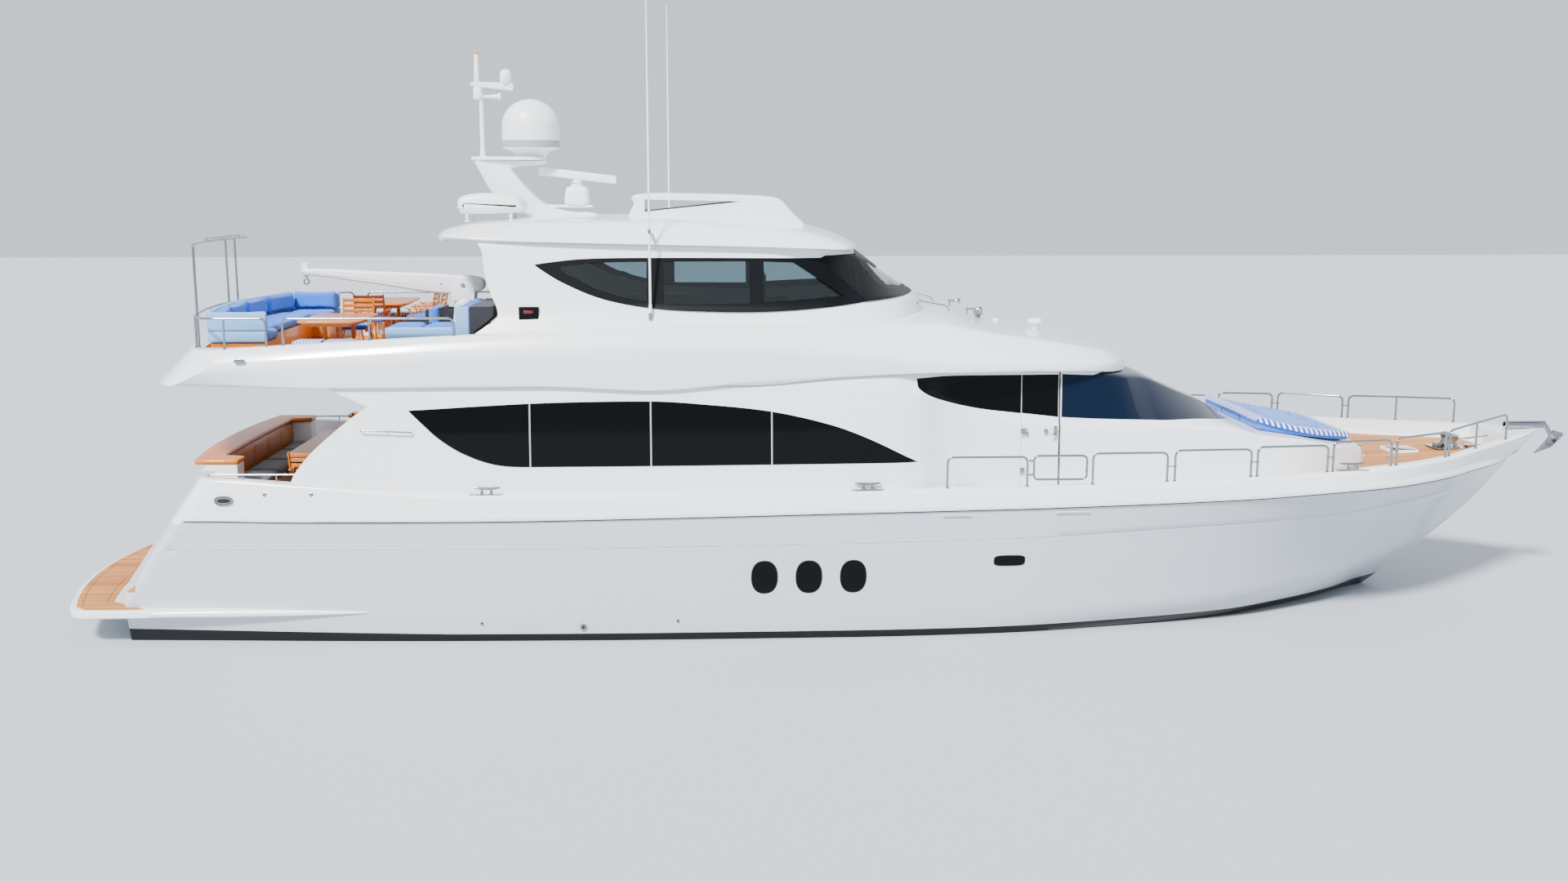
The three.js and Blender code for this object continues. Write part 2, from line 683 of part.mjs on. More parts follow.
addMesh('saloon_door', saloonDoor(), darkGlass);

// Hardtop

function hardtopSection([x, edgeY, edgeZ, shY, shZ, crownZ, underZ]) {
  return wholeSection(x, [[0, underZ], [edgeY - 90, underZ], [edgeY, edgeZ], [shY, shZ], [0, crownZ]]);
}

const hardtopBody = loft(hardtopStations.map(hardtopSection));
addMesh('hardtop', hardtopBody.clone(), white);

function onHardtop(shape) {
  return cut(shape, hardtopBody.clone().translate(0, 0, gap));
}

// Skylounge on the upper deck

function loungeSection([x, baseY, footY, footZ, headY, headZ, crownZ], inset, floor) {
  return wholeSection(x, [
    [baseY - inset, floor], [footY - inset, footZ - inset / 3], [headY - inset, headZ - inset],
    [0, crownZ - inset],
  ]);
}

function loungeBody(inset, floor = 4500) {
  return loft(loungeStations.map((row) => loungeSection(row, inset, floor)));
}

const loungeSideOutline = [
  [-400, 5815], [-2900, 5830], [-4000, 5815], [-4710, 5740], [-4300, 5490], [-3690, 5240], [-2950, 5100],
  [-2150, 5050], [-1210, 5040], [-340, 5090], [330, 5165],
];
const loungeAftEdge = [
  [-6000, 6300], [-5600, 6300], [-5560, 6050], [-5510, 5950], [-5460, 5600], [-5380, 5330], [-5270, 4980],
  [-5450, 4830], [-5640, 4700], [-5640, 4400], [-6000, 4400],
];

function loungeFrontZone(margin) {
  const half = [[1240, 0], [1180, 450], [1000, 1050], [760, 1560], [560, 1640], [150, 1460]];
  const outline = [...half.slice(1).reverse().map(([x, y]) => [x, -y]), ...half];
  return slab(shrunk(outline, margin), 5215 + margin, 5850 - margin);
}

function loungeShell() {
  const cavity = cut(loungeBody(wall, 4000), box(-6000, -5300, -3000, 3000, 3900, 6400));
  const doorOpening = box(-5700, -5200, -600, 600, flyFloor + 10, 5950);
  const openings = [...pair(profile(loungeSideOutline, 1700, 3000)), loungeFrontZone(0)];
  const recess = cut(loungeBody(wall, 4000), box(-5400, 2000, -3000, 3000, 3900, 6400));
  const aftEdge = profile(loungeAftEdge, -3200, 3200);
  const shell = cut(loungeBody(0), cavity, recess, doorOpening, ...openings, aftEdge);
  const roof = hardtopBody.clone().scale(1, 1.0004, 1).translate(0, 0, -gap);
  return cut(shell, upperBody.clone().translate(0, 0, gap), roof);
}

addMesh('skylounge', loungeShell(), white);

const loungeSheet = cut(loungeBody(10, 4900), loungeBody(30, 4800));
const loungeSideGlass = common(loungeSheet, profile(shrunk(loungeSideOutline, gap), 1700, 3000));
addMesh('skylounge_glass_port', loungeSideGlass, clearGlass);
addMesh('skylounge_glass_starboard', mirrored(loungeSideGlass), clearGlass);
addMesh('skylounge_windscreen', common(loungeSheet, loungeFrontZone(gap)), clearGlass);

// Raised hatch on the hardtop, open below its plate on both sides

function roofCoaming() {
  const outer = [
    [-3390, 6200], [-3390, 6380], [-3270, 6680], [-3360, 6760], [-3180, 6790], [-980, 6720], [-590, 6330],
    [-590, 6200],
  ];
  const under = [[-3120, 6100], [-3120, 6730], [-1010, 6665], [-700, 6330], [-700, 6100]];
  const slot = [[-3110, 6500], [-3110, 6715], [-1500, 6670]];
  const shell = cut(profile(outer, -1000, 1000), profile(under, -950, 950), profile(slot, -1100, 1100));
  return onHardtop(shell);
}

addMesh('roof_coaming', roofCoaming(), white);

// Mast, with its head plate and the light pole behind the dome

const mastHead = 7380;

function mast() {
  const leg = profile([
    [-5300, 6250], [-5290, 6480], [-5660, 6820], [-5940, 7340], [-5320, 7290], [-4960, 6760], [-4780, 6610],
    [-4420, 6500], [-3900, 6445], [-3800, 6250],
  ], -240, 240);
  const plateOutline = [[-5960, 250], [-5960, -250], [-5000, -340], [-4790, -160], [-4790, 160], [-5000, 340]];
  const plate = slab(plateOutline, mastHead - 60, mastHead);
  const pole = cylinder(38, [-5810, 0, 7350], [-5810, 0, 8460], 10, 24);
  const upperPole = cylinder(42, [-5870, 0, 8400], [-5870, 0, 9090], 10, 24);
  const arm = box(-5970, -5275, -45, 45, 8450, 8570);
  const domeSide = [[0, 8530], [80, 8530], [95, 8600], [95, 8700], [60, 8770], [0, 8790]];
  const smallDome = turned(domeSide, -5400, 0, 10);
  return onHardtop(joined(leg, plate, pole, upperPole, arm, smallDome));
}

const mastSolid = mast();
addMesh('mast', mastSolid, white);

function satDome() {
  const z = mastHead + gap;
  return turned([
    [0, z], [250, z], [290, z + 70], [466, z + 138], [468, z + 475], [430, z + 670], [330, z + 805],
    [180, z + 895], [0, z + 930],
  ], -5020, 0, 24);
}

addMesh('sat_dome', satDome(), white);

// Radar: a pedestal on a bracket from the mast, and the turning array

const radarAxis = [-4280, 0, 6950];

function radarPedestal() {
  const bracket = box(-5050, -4060, -130, 130, 6560, 6600);
  const body = slab([[-4500, 170], [-4500, -170], [-4060, -170], [-4060, 170]], 6590, 6890);
  const neck = cylinder(90, [-4288.2, 0, 6880], radarAxis);
  return cut(joined(bracket, body, neck), geometryOf(mastSolid).translate(gap, 0, 0), mastSolid);
}

function radarArray() {
  const bar = box(-640, 640, -66, 66, 68, 195);
  const neck = cylinder(75, [0, 0, runningGap], [0, 0, 80]);
  return geometryOf(joined(bar, neck)).rotateY(radarTilt).translate(...radarAxis);
}

addMesh('radar_pedestal', radarPedestal(), white);
addMesh('radar_array', radarArray(), white);

// Life raft pod beside the mast

function raftPod() {
  const body = profile([
    [-6010, 6480], [-6070, 6560], [-6070, 6690], [-5960, 6765], [-5700, 6800], [-5250, 6765], [-5060, 6680],
    [-5035, 6580], [-5120, 6490],
  ], -1150, -420);
  const feet = [-5975, -5285].map((x) => box(x, x + 90, -1050, -520, 6250, 6490));
  return onHardtop(joined(body, ...feet));
}

addMesh('raft_pod', raftPod(), white);

// Whip aerials

for (const [name, x, y] of [['whip_starboard', -2970, -2640], ['whip_port', -2860, 2640]]) {
  const whip = cylinder(14, [x, y, 4800], [x, y, 10100], 6, 5);
  addMesh(name, cut(whip, loungeBody(-gap)), white);
}

// Crane: pedestal, slewing head and luffing boom

const craneX = -6185;
const luffZ = 5290;
const luffPin = 30;
const pedestalTop = 4954;

function craneHead() {
  const drum = cylinder(185, [craneX, 0, pedestalTop + runningGap], [craneX, 0, 5060], 16);
  const cheekOutline = [
    [craneX - 180, 5040], [craneX + 180, 5040], [craneX + 180, 5240], [craneX + 60, 5390], [craneX - 60, 5390],
    [craneX - 180, 5240],
  ];
  const cheeks = [1, -1].map((side) => profile(cheekOutline, side * 150 - 15, side * 150 + 15));
  const pin = cylinder(luffPin, [craneX, -140, luffZ], [craneX, 140, luffZ], 24);
  return joined(drum, ...cheeks, pin);
}

function craneBoom() {
  const arm = profile([
    [-8750, 5560], [-8840, 5520], [-8840, 5470], [-8600, 5450], [-6710, 5170], [-6200, 5150], [-5900, 5180],
    [-5830, 5270], [-5890, 5400], [-6200, 5440],
  ], -125, 125);
  const eye = joined(box(-8790, -8740, -40, 40, 5330, 5480), box(-8800, -8700, -55, 55, 5540, 5610));
  const pinHole = cylinder(luffPin + runningGap, [craneX, -200, luffZ], [craneX, 200, luffZ], 24);
  return cut(joined(arm, eye), pinHole);
}

addMesh('crane_pedestal', cylinder(200, [craneX, 0, flyFloor + gap], [craneX, 0, pedestalTop], 16, 190), white);
addMesh('crane_head', craneHead(), white);
addMesh('crane_boom', craneBoom(), white);

// Frame and rails of the fly deck

const flyCorner = [[-9640, 2700], [-9900, 2200], [-10130, 1000], [-10220, 0]];

function frameTube(points) {
  return tube(rounded(points, 60), railTube);
}

function aftFrame() {
  const top = 6040;
  const bar = [
    [-9860, -2200, coamingTop(-9860)], [-9860, -2200, top], [-10060, -1000, top], [-10130, 0, top],
    [-10090, 800, top], [-10060, 1060, top],
  ];
  const posts = [[-10125, 150], [-10105, 560]].map(([x, y]) => (
    tube([[x, y, coamingTop(x)], [x, y, top]], railTube)
  ));
  return joined(frameTube(bar), ...posts);
}

// The top of the fly deck's coaming, clear by a hair of the rails that stand on it
function coamingTop(x) {
  return shoulderZ(x) + 3 * gap;
}

const flyRailZ = 4970;

function flyRailAft() {
  const side = (x, y, sign) => [x, sign * y, flyRailZ];
  const half = [[-8680, 2760], [-9500, 2745], ...flyCorner];
  const port = half.map(([x, y]) => side(x, y, 1));
  const starboard = half.slice(0, -1).reverse().map(([x, y]) => side(x, y, -1));
  const foot = (sign) => [-8680, sign * 2760, coamingTop(-8680)];
  const rail = frameTube([foot(1), ...port, ...starboard, foot(-1)]);
  const posts = [[-9300, 2749], [-9900, 2200], [-10180, 600]].flatMap(([x, y]) => [1, -1].map((sign) => (
    tube([[x, sign * y, coamingTop(x)], [x, sign * y, flyRailZ]], railTube * 0.8)
  )));
  return joined(rail, ...posts);
}

function flyRailSide() {
  const [aft, middle, fore] = [-8430, -7150, -5900];
  const path = [
    [aft, 2770, coamingTop(aft)], [aft, 2770, flyRailZ], [fore, 2790, flyRailZ], [fore, 2790, coamingTop(fore)],
  ];
  const post = tube([[middle, 2780, coamingTop(middle)], [middle, 2780, flyRailZ]], railTube * 0.8);
  return joined(frameTube(path), post);
}

addMesh('aft_frame', aftFrame(), stainless);
addMesh('fly_rail_aft', flyRailAft(), stainless);
addMesh('fly_rail_port', flyRailSide(), stainless);
addMesh('fly_rail_starboard', mirrored(flyRailSide()), stainless);

// Seats and tables of the fly deck

const settee = {
  outer: 2280, inner: 1480, aft: -9700, sag: 300, seatFront: -9080, armFront: -8800, seat: 4560, top: 5045,
};

function setteePlan(inset) {
  const { outer, inner, aft, sag, seatFront, armFront } = settee;
  return [
    ...bowed(outer - inset, sag, aft + inset), [armFront - inset, -outer + inset],
    [armFront - inset, -inner - inset], [seatFront - inset, -inner - inset], [seatFront - inset, inner + inset],
    [armFront - inset, inner + inset], [armFront - inset, outer - inset],
  ];
}

function setteeCushion() {
  const { outer, aft, sag, armFront } = settee;
  const seat = slab(setteePlan(0), settee.seat + gap, settee.seat + 150);
  const depth = 230;
  const inside = outer - depth;
  const backOuter = [...bowed(outer, sag, aft), [armFront, -outer], [armFront, -inside], [aft + 200, -inside]];
  const backInner = bowed(inside, sag, aft + depth).reverse().slice(1, -1);
  const farEnd = [[aft + 200, inside], [armFront, inside], [armFront, outer]];
  const back = slab([...backOuter, ...backInner, ...farEnd], settee.seat + 110, settee.top);
  return joined(seat, back);
}

addMesh('fly_settee', slab(setteePlan(40), flyFloor + gap, settee.seat), varnish);
addMesh('fly_settee_cushion', setteeCushion(), blueCloth);

function table(x0, x1, y0, y1, top, floor) {
  const legs = [[0.25, 0.5], [0.75, 0.5]].map(([u, v]) => {
    const [x, y] = [x0 + u * (x1 - x0), y0 + v * (y1 - y0)];
    return box(x - 45, x + 45, y - 160, y + 160, floor + gap, top - 20);
  });
  const foot = box(x0 + 180, x1 - 180, (y0 + y1) / 2 - 60, (y0 + y1) / 2 + 60, floor + 60, floor + 140);
  return joined(box(x0, x1, y0, y1, top - 40, top), ...legs, foot);
}

addMesh('fly_table_starboard', table(-8340, -7380, -2450, -950, 4900, flyFloor), varnish);
addMesh('fly_table_port', table(-8340, -7380, 950, 2450, 4900, flyFloor), varnish);

// Bench at the forward end of the fly deck, facing aft
const bench = { x0: -6980, x1: -5720, y0: -2520, y1: -1750, seat: 4620, pad: 4820, top: 5130 };

function benchCushion() {
  const { x0, x1, y0, y1, seat, pad, top } = bench;
  const seatPad = box(x0, x1, y0, y1, seat + gap, pad);
  const back = box(x1 - 190, x1 + 60, y0, -750, seat + gap, top);
  return joined(seatPad, back);
}

const benchBase = box(bench.x0 + 30, bench.x1, bench.y0 + 20, bench.y1 - 30, flyFloor + gap, bench.seat);
addMesh('fly_bench', benchBase, varnish);
addMesh('fly_bench_cushion', benchCushion(), blueCloth);

// Cockpit

function coamingCap() {
  const outer = bowed(2310, 190, -10020);
  const inner = [[cockpitAft + 40, -armInner + 60], [cockpitAft + 40, armInner - 60]];
  const end = armEnd + 25;
  const outline = [
    ...outer, [end, -2310], [end, -armInner + 20], ...inner, [end, armInner - 20], [end, 2310],
  ];
  return slab(outline, seatBackTop + gap, seatBackTop + 85);
}

function cockpitSeat() {
  const seat = box(cockpitAft + gap, -9080, -1930, 1930, 2000, 2360);
  const back = box(cockpitAft + gap, cockpitAft + 150, -1930, 1930, 2300, 2660);
  const base = box(cockpitAft + gap, -9150, -1900, 1900, soleTop + gap, 2010);
  return joined(seat, back, base);
}

addMesh('coaming_cap', coamingCap(), varnish);
addMesh('cockpit_seat', cockpitSeat(), greyCloth);
addMesh('cockpit_table', table(-8950, -7850, -1500, 1500, 2640, soleTop), varnish);

// Side rails on the cap, in hoops linked to each other by short bars

const railLinkHeight = 230;
const capRailY = (x) => sheerY(x) - 95;
const capRailFoot = (x) => [x, capRailY(x), sheerZ(x) + 2 * gap];

function hoop([x0, x1, top], sides) {
  const rise = (x) => [x, capRailY(x), top];
  return tube(rounded([capRailFoot(x0), rise(x0), rise(x1), capRailFoot(x1)], 80), railTube, sides);
}

function bowHoop() {
  const top = (x, z) => [x, capRailY(x), z];
  const path = [capRailFoot(9750), top(9750, 3050), top(10430, 3095), top(11230, 3140), capRailFoot(11230)];
  const post = tube([capRailFoot(10430), top(10430, 3095)], railTube);
  return joined(tube(rounded(path, 80), railTube), post);
}

function railLink(x0, x1) {
  const z = sheerZ(x0) + railLinkHeight;
  return tube([[x0, capRailY(x0), z], [x1, capRailY(x1), z]], railTube * 0.6);
}

function foreRail() {
  const hoops = railHoops.slice(1);
  const starts = [...hoops.slice(1).map(([x0]) => x0), 9750];
  const links = hoops.map(([, x1], i) => railLink(x1, starts[i]));
  return joined(...hoops.map((row) => hoop(row)), bowHoop(), ...links);
}

addMesh('rail_aft_port', hoop(railHoops[0], 12), stainless);
addMesh('rail_aft_starboard', mirrored(hoop(railHoops[0], 12)), stainless);
addMesh('rail_fore_port', foreRail(), stainless);
addMesh('rail_fore_starboard', mirrored(foreRail()), stainless);

// Boarding gate between the aft hoop and the next, hung on the aft hoop's post

const gate = { x0: 2830, x1: 3640, low: 2510, top: 2875 };

function railGate() {
  const { x0, x1, low, top } = gate;
  const y = capRailY(2730);
  const at = (x, z) => [x, y, z];
  const middle = (x0 + x1) / 2;
  const corners = [at(middle, low), at(x0, low), at(x0, top), at(x1, top), at(x1, low), at(middle + 1, low)];
  const frame = tube(rounded(corners, 70), railTube);
  const closer = box(middle - 30, middle + 31, y - railTube, y + railTube, low - railTube, low + railTube);
  const lugs = [low + 60, top - 90].map((z) => box(2730 + railTube + 0.5, x0, y - 8, y + 8, z, z + 30));
  return joined(frame, closer, ...lugs);
}

addMesh('gate_port', railGate(), stainless);
addMesh('gate_starboard', mirrored(railGate()), stainless);

// Anchor and its roller on the stem

const nose = 12200;

function anchorRoller() {
  const z = sheerZ(nose) + gap;
  const floor = box(nose - 500, nose + 120, -95, 95, z, z + 12);
  const cheeks = [1, -1].map((side) => box(nose - 500, nose + 150, side * 90 - 6, side * 90 + 6, z, z + 90));
  const roller = cylinder(30, [nose + 90, -88, z + 45], [nose + 90, 88, z + 45], 10);
  return joined(floor, ...cheeks, roller);
}

function anchor() {
  const z = sheerZ(nose) + gap;
  const shank = profile([
    [nose - 480, z + 75.5], [nose - 480, z + 110], [nose + 190, z + 110], [nose + 400, z - 190],
    [nose + 330, z - 240], [nose + 150, z + 75.5],
  ], -18, 18);
  const flukeRows = [
    [40, 10, -470, 55, 10, -440], [260, 150, -330, 290, 150, -290], [430, 190, -120, 445, 170, -80],
  ];
  const fluke = loft(flukeRows.map(([x0, y0, z0, x1, y1, z1]) => [
    [nose + x0, y0, z + z0], [nose + x0, -y0, z + z0], [nose + x1, -y1, z + z1], [nose + x1, y1, z + z1],
  ]));
  return joined(shank, fluke);
}

addMesh('anchor_roller', anchorRoller(), stainless);
addMesh('anchor', anchor(), stainless);

// Sunpad on the trunk

const padRise = (x) => 130 + 70 * Math.max(0, (7500 - x) / 700);

// Sections from one height above the trunk's top to another
function sunpadRings(halfWidths, lowAt, highAt) {
  return halfWidths.map(([x, y]) => {
    const z = valueAt(houseStations, 8, x);
    return [[x, y, z + lowAt(x)], [x, y, z + highAt(x)], [x, -y, z + highAt(x)], [x, -y, z + lowAt(x)]];
  });
}

const sunpadWidths = [[6800, 1420], [7500, 1480], [8000, 1330], [8500, 1000], [8600, 900]];
const towelWidths = [[6830, 1400], [7500, 1450], [8000, 1300], [8500, 960], [8570, 900]];
addMesh('sunpad', loft(sunpadRings(sunpadWidths, () => gap, padRise)), blueCloth);
addMesh('towel', loft(sunpadRings(towelWidths, (x) => padRise(x) + gap, (x) => padRise(x) + gap + 12)), towelCloth);

// Propellers, each with its shaft, and rudders

function propeller() {
  const start = [propellerX, propellerY, propellerZ];
  const shaft = cylinder(shaftRadius, shaftPoint(0, 1), shaftPoint(3850, 1), 24);
  const hub = cylinder(70, shaftPoint(-150, 1), shaftPoint(130, 1), 12, 85);
  const outline = [
    [40, -60], [150, -130], [280, -165], [370, -120], [propellerRadius, 0], [370, 120], [280, 165], [150, 130],
    [40, 60],
  ];
  const blades = [];
  for (let i = 0; i < 4; i += 1) {
    const blade = extrude(outline, 18).translate(0, 0, -9).rotateX(THREE.MathUtils.degToRad(58));
    blade.rotateY(Math.PI / 2).rotateX((Math.PI / 2) * i);
    blade.rotateY(-shaftAngle).translate(...start);
    blades.push(blade);
  }
  return joined(shaft, hub, ...blades);
}

addMesh('propeller_port', propeller(), bronze);
addMesh('propeller_starboard', mirrored(propeller()), bronze);

function rudder() {
  const plan = [[260, 0], [180, 32], [0, 42], [-200, 22], [-290, 0], [-200, -22], [0, -42], [180, -32]];
  const blade = slab(plan.map(([x, y]) => [x + rudderX, y + propellerY]), -1380, -640);
  const stock = cylinder(shaftRadius, [rudderX, propellerY, -660], [rudderX, propellerY, -480], 24);
  return joined(blade, stock);
}

addMesh('rudder_port', rudder(), bronze);
addMesh('rudder_starboard', mirrored(rudder()), bronze);

export default yacht;
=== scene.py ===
import json
import math
from functools import partial
import bmesh
import bpy
import numpy as np
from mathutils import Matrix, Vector

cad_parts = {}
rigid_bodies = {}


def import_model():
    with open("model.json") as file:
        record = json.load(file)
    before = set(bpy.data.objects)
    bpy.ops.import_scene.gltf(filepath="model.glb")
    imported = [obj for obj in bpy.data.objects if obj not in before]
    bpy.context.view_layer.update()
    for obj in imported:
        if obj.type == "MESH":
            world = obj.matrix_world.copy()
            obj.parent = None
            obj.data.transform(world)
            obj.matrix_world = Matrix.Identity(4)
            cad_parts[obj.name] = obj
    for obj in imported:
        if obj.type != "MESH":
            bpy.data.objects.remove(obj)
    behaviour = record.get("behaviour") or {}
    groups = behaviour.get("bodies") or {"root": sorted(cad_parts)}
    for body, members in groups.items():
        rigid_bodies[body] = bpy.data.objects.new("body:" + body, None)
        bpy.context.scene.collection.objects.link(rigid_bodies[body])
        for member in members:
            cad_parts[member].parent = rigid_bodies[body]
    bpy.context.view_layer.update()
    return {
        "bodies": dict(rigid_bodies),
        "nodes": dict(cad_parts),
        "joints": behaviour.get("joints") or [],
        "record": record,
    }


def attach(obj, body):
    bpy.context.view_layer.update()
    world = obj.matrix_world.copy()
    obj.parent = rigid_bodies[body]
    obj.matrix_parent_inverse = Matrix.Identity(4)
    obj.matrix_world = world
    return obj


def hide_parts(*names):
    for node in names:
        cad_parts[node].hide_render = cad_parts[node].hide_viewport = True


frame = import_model()
print("frame loaded:", len(frame["nodes"]), "nodes")

# Lengths in the station tables are millimetres, everything else is metres.
# +X to the bow, +Y to port, +Z up, z = 0 is the water.
sideSigns = (("port", 1), ("starboard", -1))


# ---- colours and materials

def linearColour(hexText):
    # sRGB to linear: above 0.04045 a channel c becomes ((c + 0.055) / 1.055) ** 2.4
    c = np.array([int(hexText[i:i + 2], 16) for i in (0, 2, 4)]) / 255
    return (*np.where(c <= 0.04045, c / 12.92, ((c + 0.055) / 1.055) ** 2.4).tolist(), 1.0)


def addNode(material, kind, inputs=(), out=0, stops=(), **settings):
    # a shader node, its inputs linked or set by name or number, and the stops of a ramp; gives one output, or all
    node = material.node_tree.nodes.new("ShaderNode" + kind)
    for key, value in settings.items():
        setattr(node, key, value)
    for key, value in inputs.items() if isinstance(inputs, dict) else enumerate(inputs):
        if isinstance(value, bpy.types.NodeSocket):
            material.node_tree.links.new(value, node.inputs[key])
        else:
            node.inputs[key].default_value = linearColour(value) if isinstance(value, str) else value
    for _ in stops[2:]:
        node.color_ramp.elements.new(0.5)
    for index, (place, colour) in enumerate(stops):
        element = node.color_ramp.elements[index]
        element.position, element.color = place, linearColour(colour)
    return node.outputs if out is None else node.outputs[out]


def newMaterial(name, colour, roughness, metallic=0.0, **sockets):
    # a material, its shader, and addNode bound to it
    material = bpy.data.materials.new(name)
    material.use_nodes = True
    shader = material.node_tree.nodes["Principled BSDF"]
    sockets |= {"Base_Color": linearColour(colour), "Roughness": roughness, "Metallic": metallic}
    for key, value in sockets.items():
        shader.inputs[key.replace("_", " ")].default_value = value
    return material, shader, partial(addNode, material)


def grainOf(add, scale, detail, stretch=(1, 1, 1), roughness=0.5):
    # noise over the piece's own places, long along the axes whose factor is small
    place = add("Mapping", {"Vector": add("TexCoord", out="Object"), "Scale": stretch})
    return add("TexNoise", {"Vector": place, "Scale": scale, "Detail": detail, "Roughness": roughness})


def finish(add, shader, height=None, strength=0.1, distance=0.001, **links):
    # links what drives the shader, with a height as its bump
    if height is not None:
        links["Normal"] = add("Bump", {"Height": height, "Strength": strength, "Distance": distance})
    for key, value in links.items():
        shader.id_data.links.new(value, shader.inputs[key.replace("_", " ")])


def makeGelcoat(name, colour, soiled):
    # polyester gelcoat sprayed in a mould and polished: deep gloss, a faint orange peel of 4 mm cells
    material, shader, add = newMaterial(name, colour, 0.2, Coat_Weight=0.4, Coat_Roughness=0.06)
    stains = grainOf(add, 1.6, 4.0, (0.35, 0.35, 1.4))
    tone = add("Mix", {0: stains, 6: colour, 7: soiled}, 2, data_type="RGBA")
    finish(add, shader, grainOf(add, 250.0, 1.0), 0.04, 0.0004, Base_Color=tone)
    return material


def makeTopsides():
    # topsides gelcoat greyed as painted shade on white gelcoat, darker in blotches towards the water; black antifouling
    # below a boot top that rises to both ends
    material, shader, add = newMaterial("topsidesGelcoatPaintedShade", "dfe4ea", 0.22, Coat_Weight=0.12, Coat_Roughness=0.05,
                                        Specular_IOR_Level=0.3)
    x, _, z = add("SeparateXYZ", [add("TexCoord", out="Object")], None)
    fall = add("MapRange", [x, -11.0, -6.0, 0.2, 0.12])
    rise = add("MapRange", [x, 2.0, 10.0, 0.0, 0.08])
    bootTop = add("Math", [fall, rise], operation="ADD")
    above = add("Math", [z, bootTop], operation="GREATER_THAN")
    stains = grainOf(add, 1.4, 4.0, (0.3, 0.3, 1.2))
    # blotches that darken the lower topsides towards the water
    lowDarkening = add("Math", [stains, add("MapRange", [z, 0.15, 0.55, 0.55, 0.0])], operation="MULTIPLY")
    # painted shade: a grey with random tone that stands for the white gelcoat in shade
    shadeGrey = add("Mix", {0: stains, 6: "c9cfd7", 7: "c1c8d1"}, 2, data_type="RGBA")
    side = add("Mix", {0: lowDarkening, 6: shadeGrey, 7: "b4b8b6"}, 2, data_type="RGBA")
    tone = add("Mix", {0: above, 6: "030406", 7: side}, 2, data_type="RGBA")
    finish(add, shader, grainOf(add, 250.0, 1.0), 0.04, 0.0004, Base_Color=tone)
    return material


def makeTeakDeck():
    # scrubbed teak planks 60 mm wide, laid fore and aft, with 6 mm seams of black caulk
    material, shader, add = newMaterial("teakDeck", "c68f55", 0.62)
    y = add("SeparateXYZ", [add("TexCoord", out="Object")], "Y")
    across = add("Math", [y, 0.06], operation="DIVIDE")
    part = add("Math", [across], operation="FRACT")
    number = add("Math", [across], operation="FLOOR")
    tone = add("TexWhiteNoise", {"W": number}, noise_dimensions="1D")
    grain = grainOf(add, 3.0, 5.0, (2.0, 40.0, 40.0), 0.6)
    both = add("Math", [tone, grain], operation="ADD")
    half = add("Math", [both, 0.5], operation="MULTIPLY")
    wood = add("ValToRGB", [half], stops=[(0.2, "a05f24"), (0.5, "bd7834"), (0.8, "d0904a")])
    seam = add("Math", [part, 0.1], operation="LESS_THAN")
    tone = add("Mix", {0: seam, 6: wood, 7: "4a3524"}, 2, data_type="RGBA")
    finish(add, shader, grain, 0.25, 0.002, Base_Color=tone)
    return material


def makeVarnishedTeak():
    # brushed varnish over teak: a deep clear coat, orange-brown, grain along the length
    material, shader, add = newMaterial("varnishedTeak", "b9661c", 0.4, Coat_Weight=0.45, Coat_Roughness=0.1,
                                        Specular_IOR_Level=0.3)
    grain = grainOf(add, 3.0, 6.0, (3.0, 28.0, 28.0), 0.65)
    wood = add("ValToRGB", [grain], stops=[(0.25, "a2510e"), (0.5, "c96d15"), (0.75, "e08c2c")])
    finish(add, shader, grain, 0.08, 0.001, Base_Color=wood)
    return material


def makeCloth(name, colour, shade, thread):
    # woven acrylic: threads crossing at the given spacing, a soft sheen at grazing angles
    material, shader, add = newMaterial(name, colour, 0.88, Sheen_Weight=0.25, Sheen_Roughness=0.5)
    # a wave's scale is a twentieth of its turns per metre
    place = {"Vector": add("TexCoord", out="Object"), "Scale": 2 * math.pi / (20 * thread)}
    warp, weft, rise = (add("TexWave", place, "Fac", bands_direction=axis) for axis in "XYZ")
    weave = add("Math", [add("Math", [warp, weft], operation="MAXIMUM"), rise], operation="MULTIPLY")
    tone = add("Mix", {0: grainOf(add, 2.2, 4.0), 6: colour, 7: shade}, 2, data_type="RGBA")
    finish(add, shader, weave, 0.35, 0.002, Base_Color=tone)
    return material


def makeTicking():
    # blue and white ticking: bars 24 mm wide, woven across the pad
    material, shader, add = newMaterial("blueTicking", "b9cdea", 0.9, Sheen_Weight=0.2)
    x = add("SeparateXYZ", [add("TexCoord", out="Object")], "X")
    part = add("Math", [add("Math", [x, 0.048], operation="DIVIDE")], operation="FRACT")
    bars = add("Math", [part, 0.5], operation="LESS_THAN")
    tone = add("Mix", {0: bars, 6: "dfe6f2", 7: "3d6fc8"}, 2, data_type="RGBA")
    finish(add, shader, grainOf(add, 300.0, 2.0), 0.3, 0.001, Base_Color=tone)
    return material


def makeSteel():
    # drawn and polished 316 stainless tube, its colour darkened as a painted reflection of dark surroundings, with a
    # faint smear of handling
    material, shader, add = newMaterial("polishedStainless", "9a9fa5", 0.12, 1.0)
    finish(add, shader, Roughness=add("MapRange", {0: grainOf(add, 18.0, 3.0), 3: 0.07, 4: 0.24}))
    return material


def makeBronze():
    # cast nickel bronze that has run in salt water: brown and green in its hollows
    material, shader, add = newMaterial("seaBronze", "a9824a", 0.4, 1.0)
    patina = [(0.3, "6e5a38"), (0.55, "a9824a"), (0.8, "7d8a6a")]
    finish(add, shader, Base_Color=add("ValToRGB", [grainOf(add, 9.0, 5.0)], stops=patina))
    return material


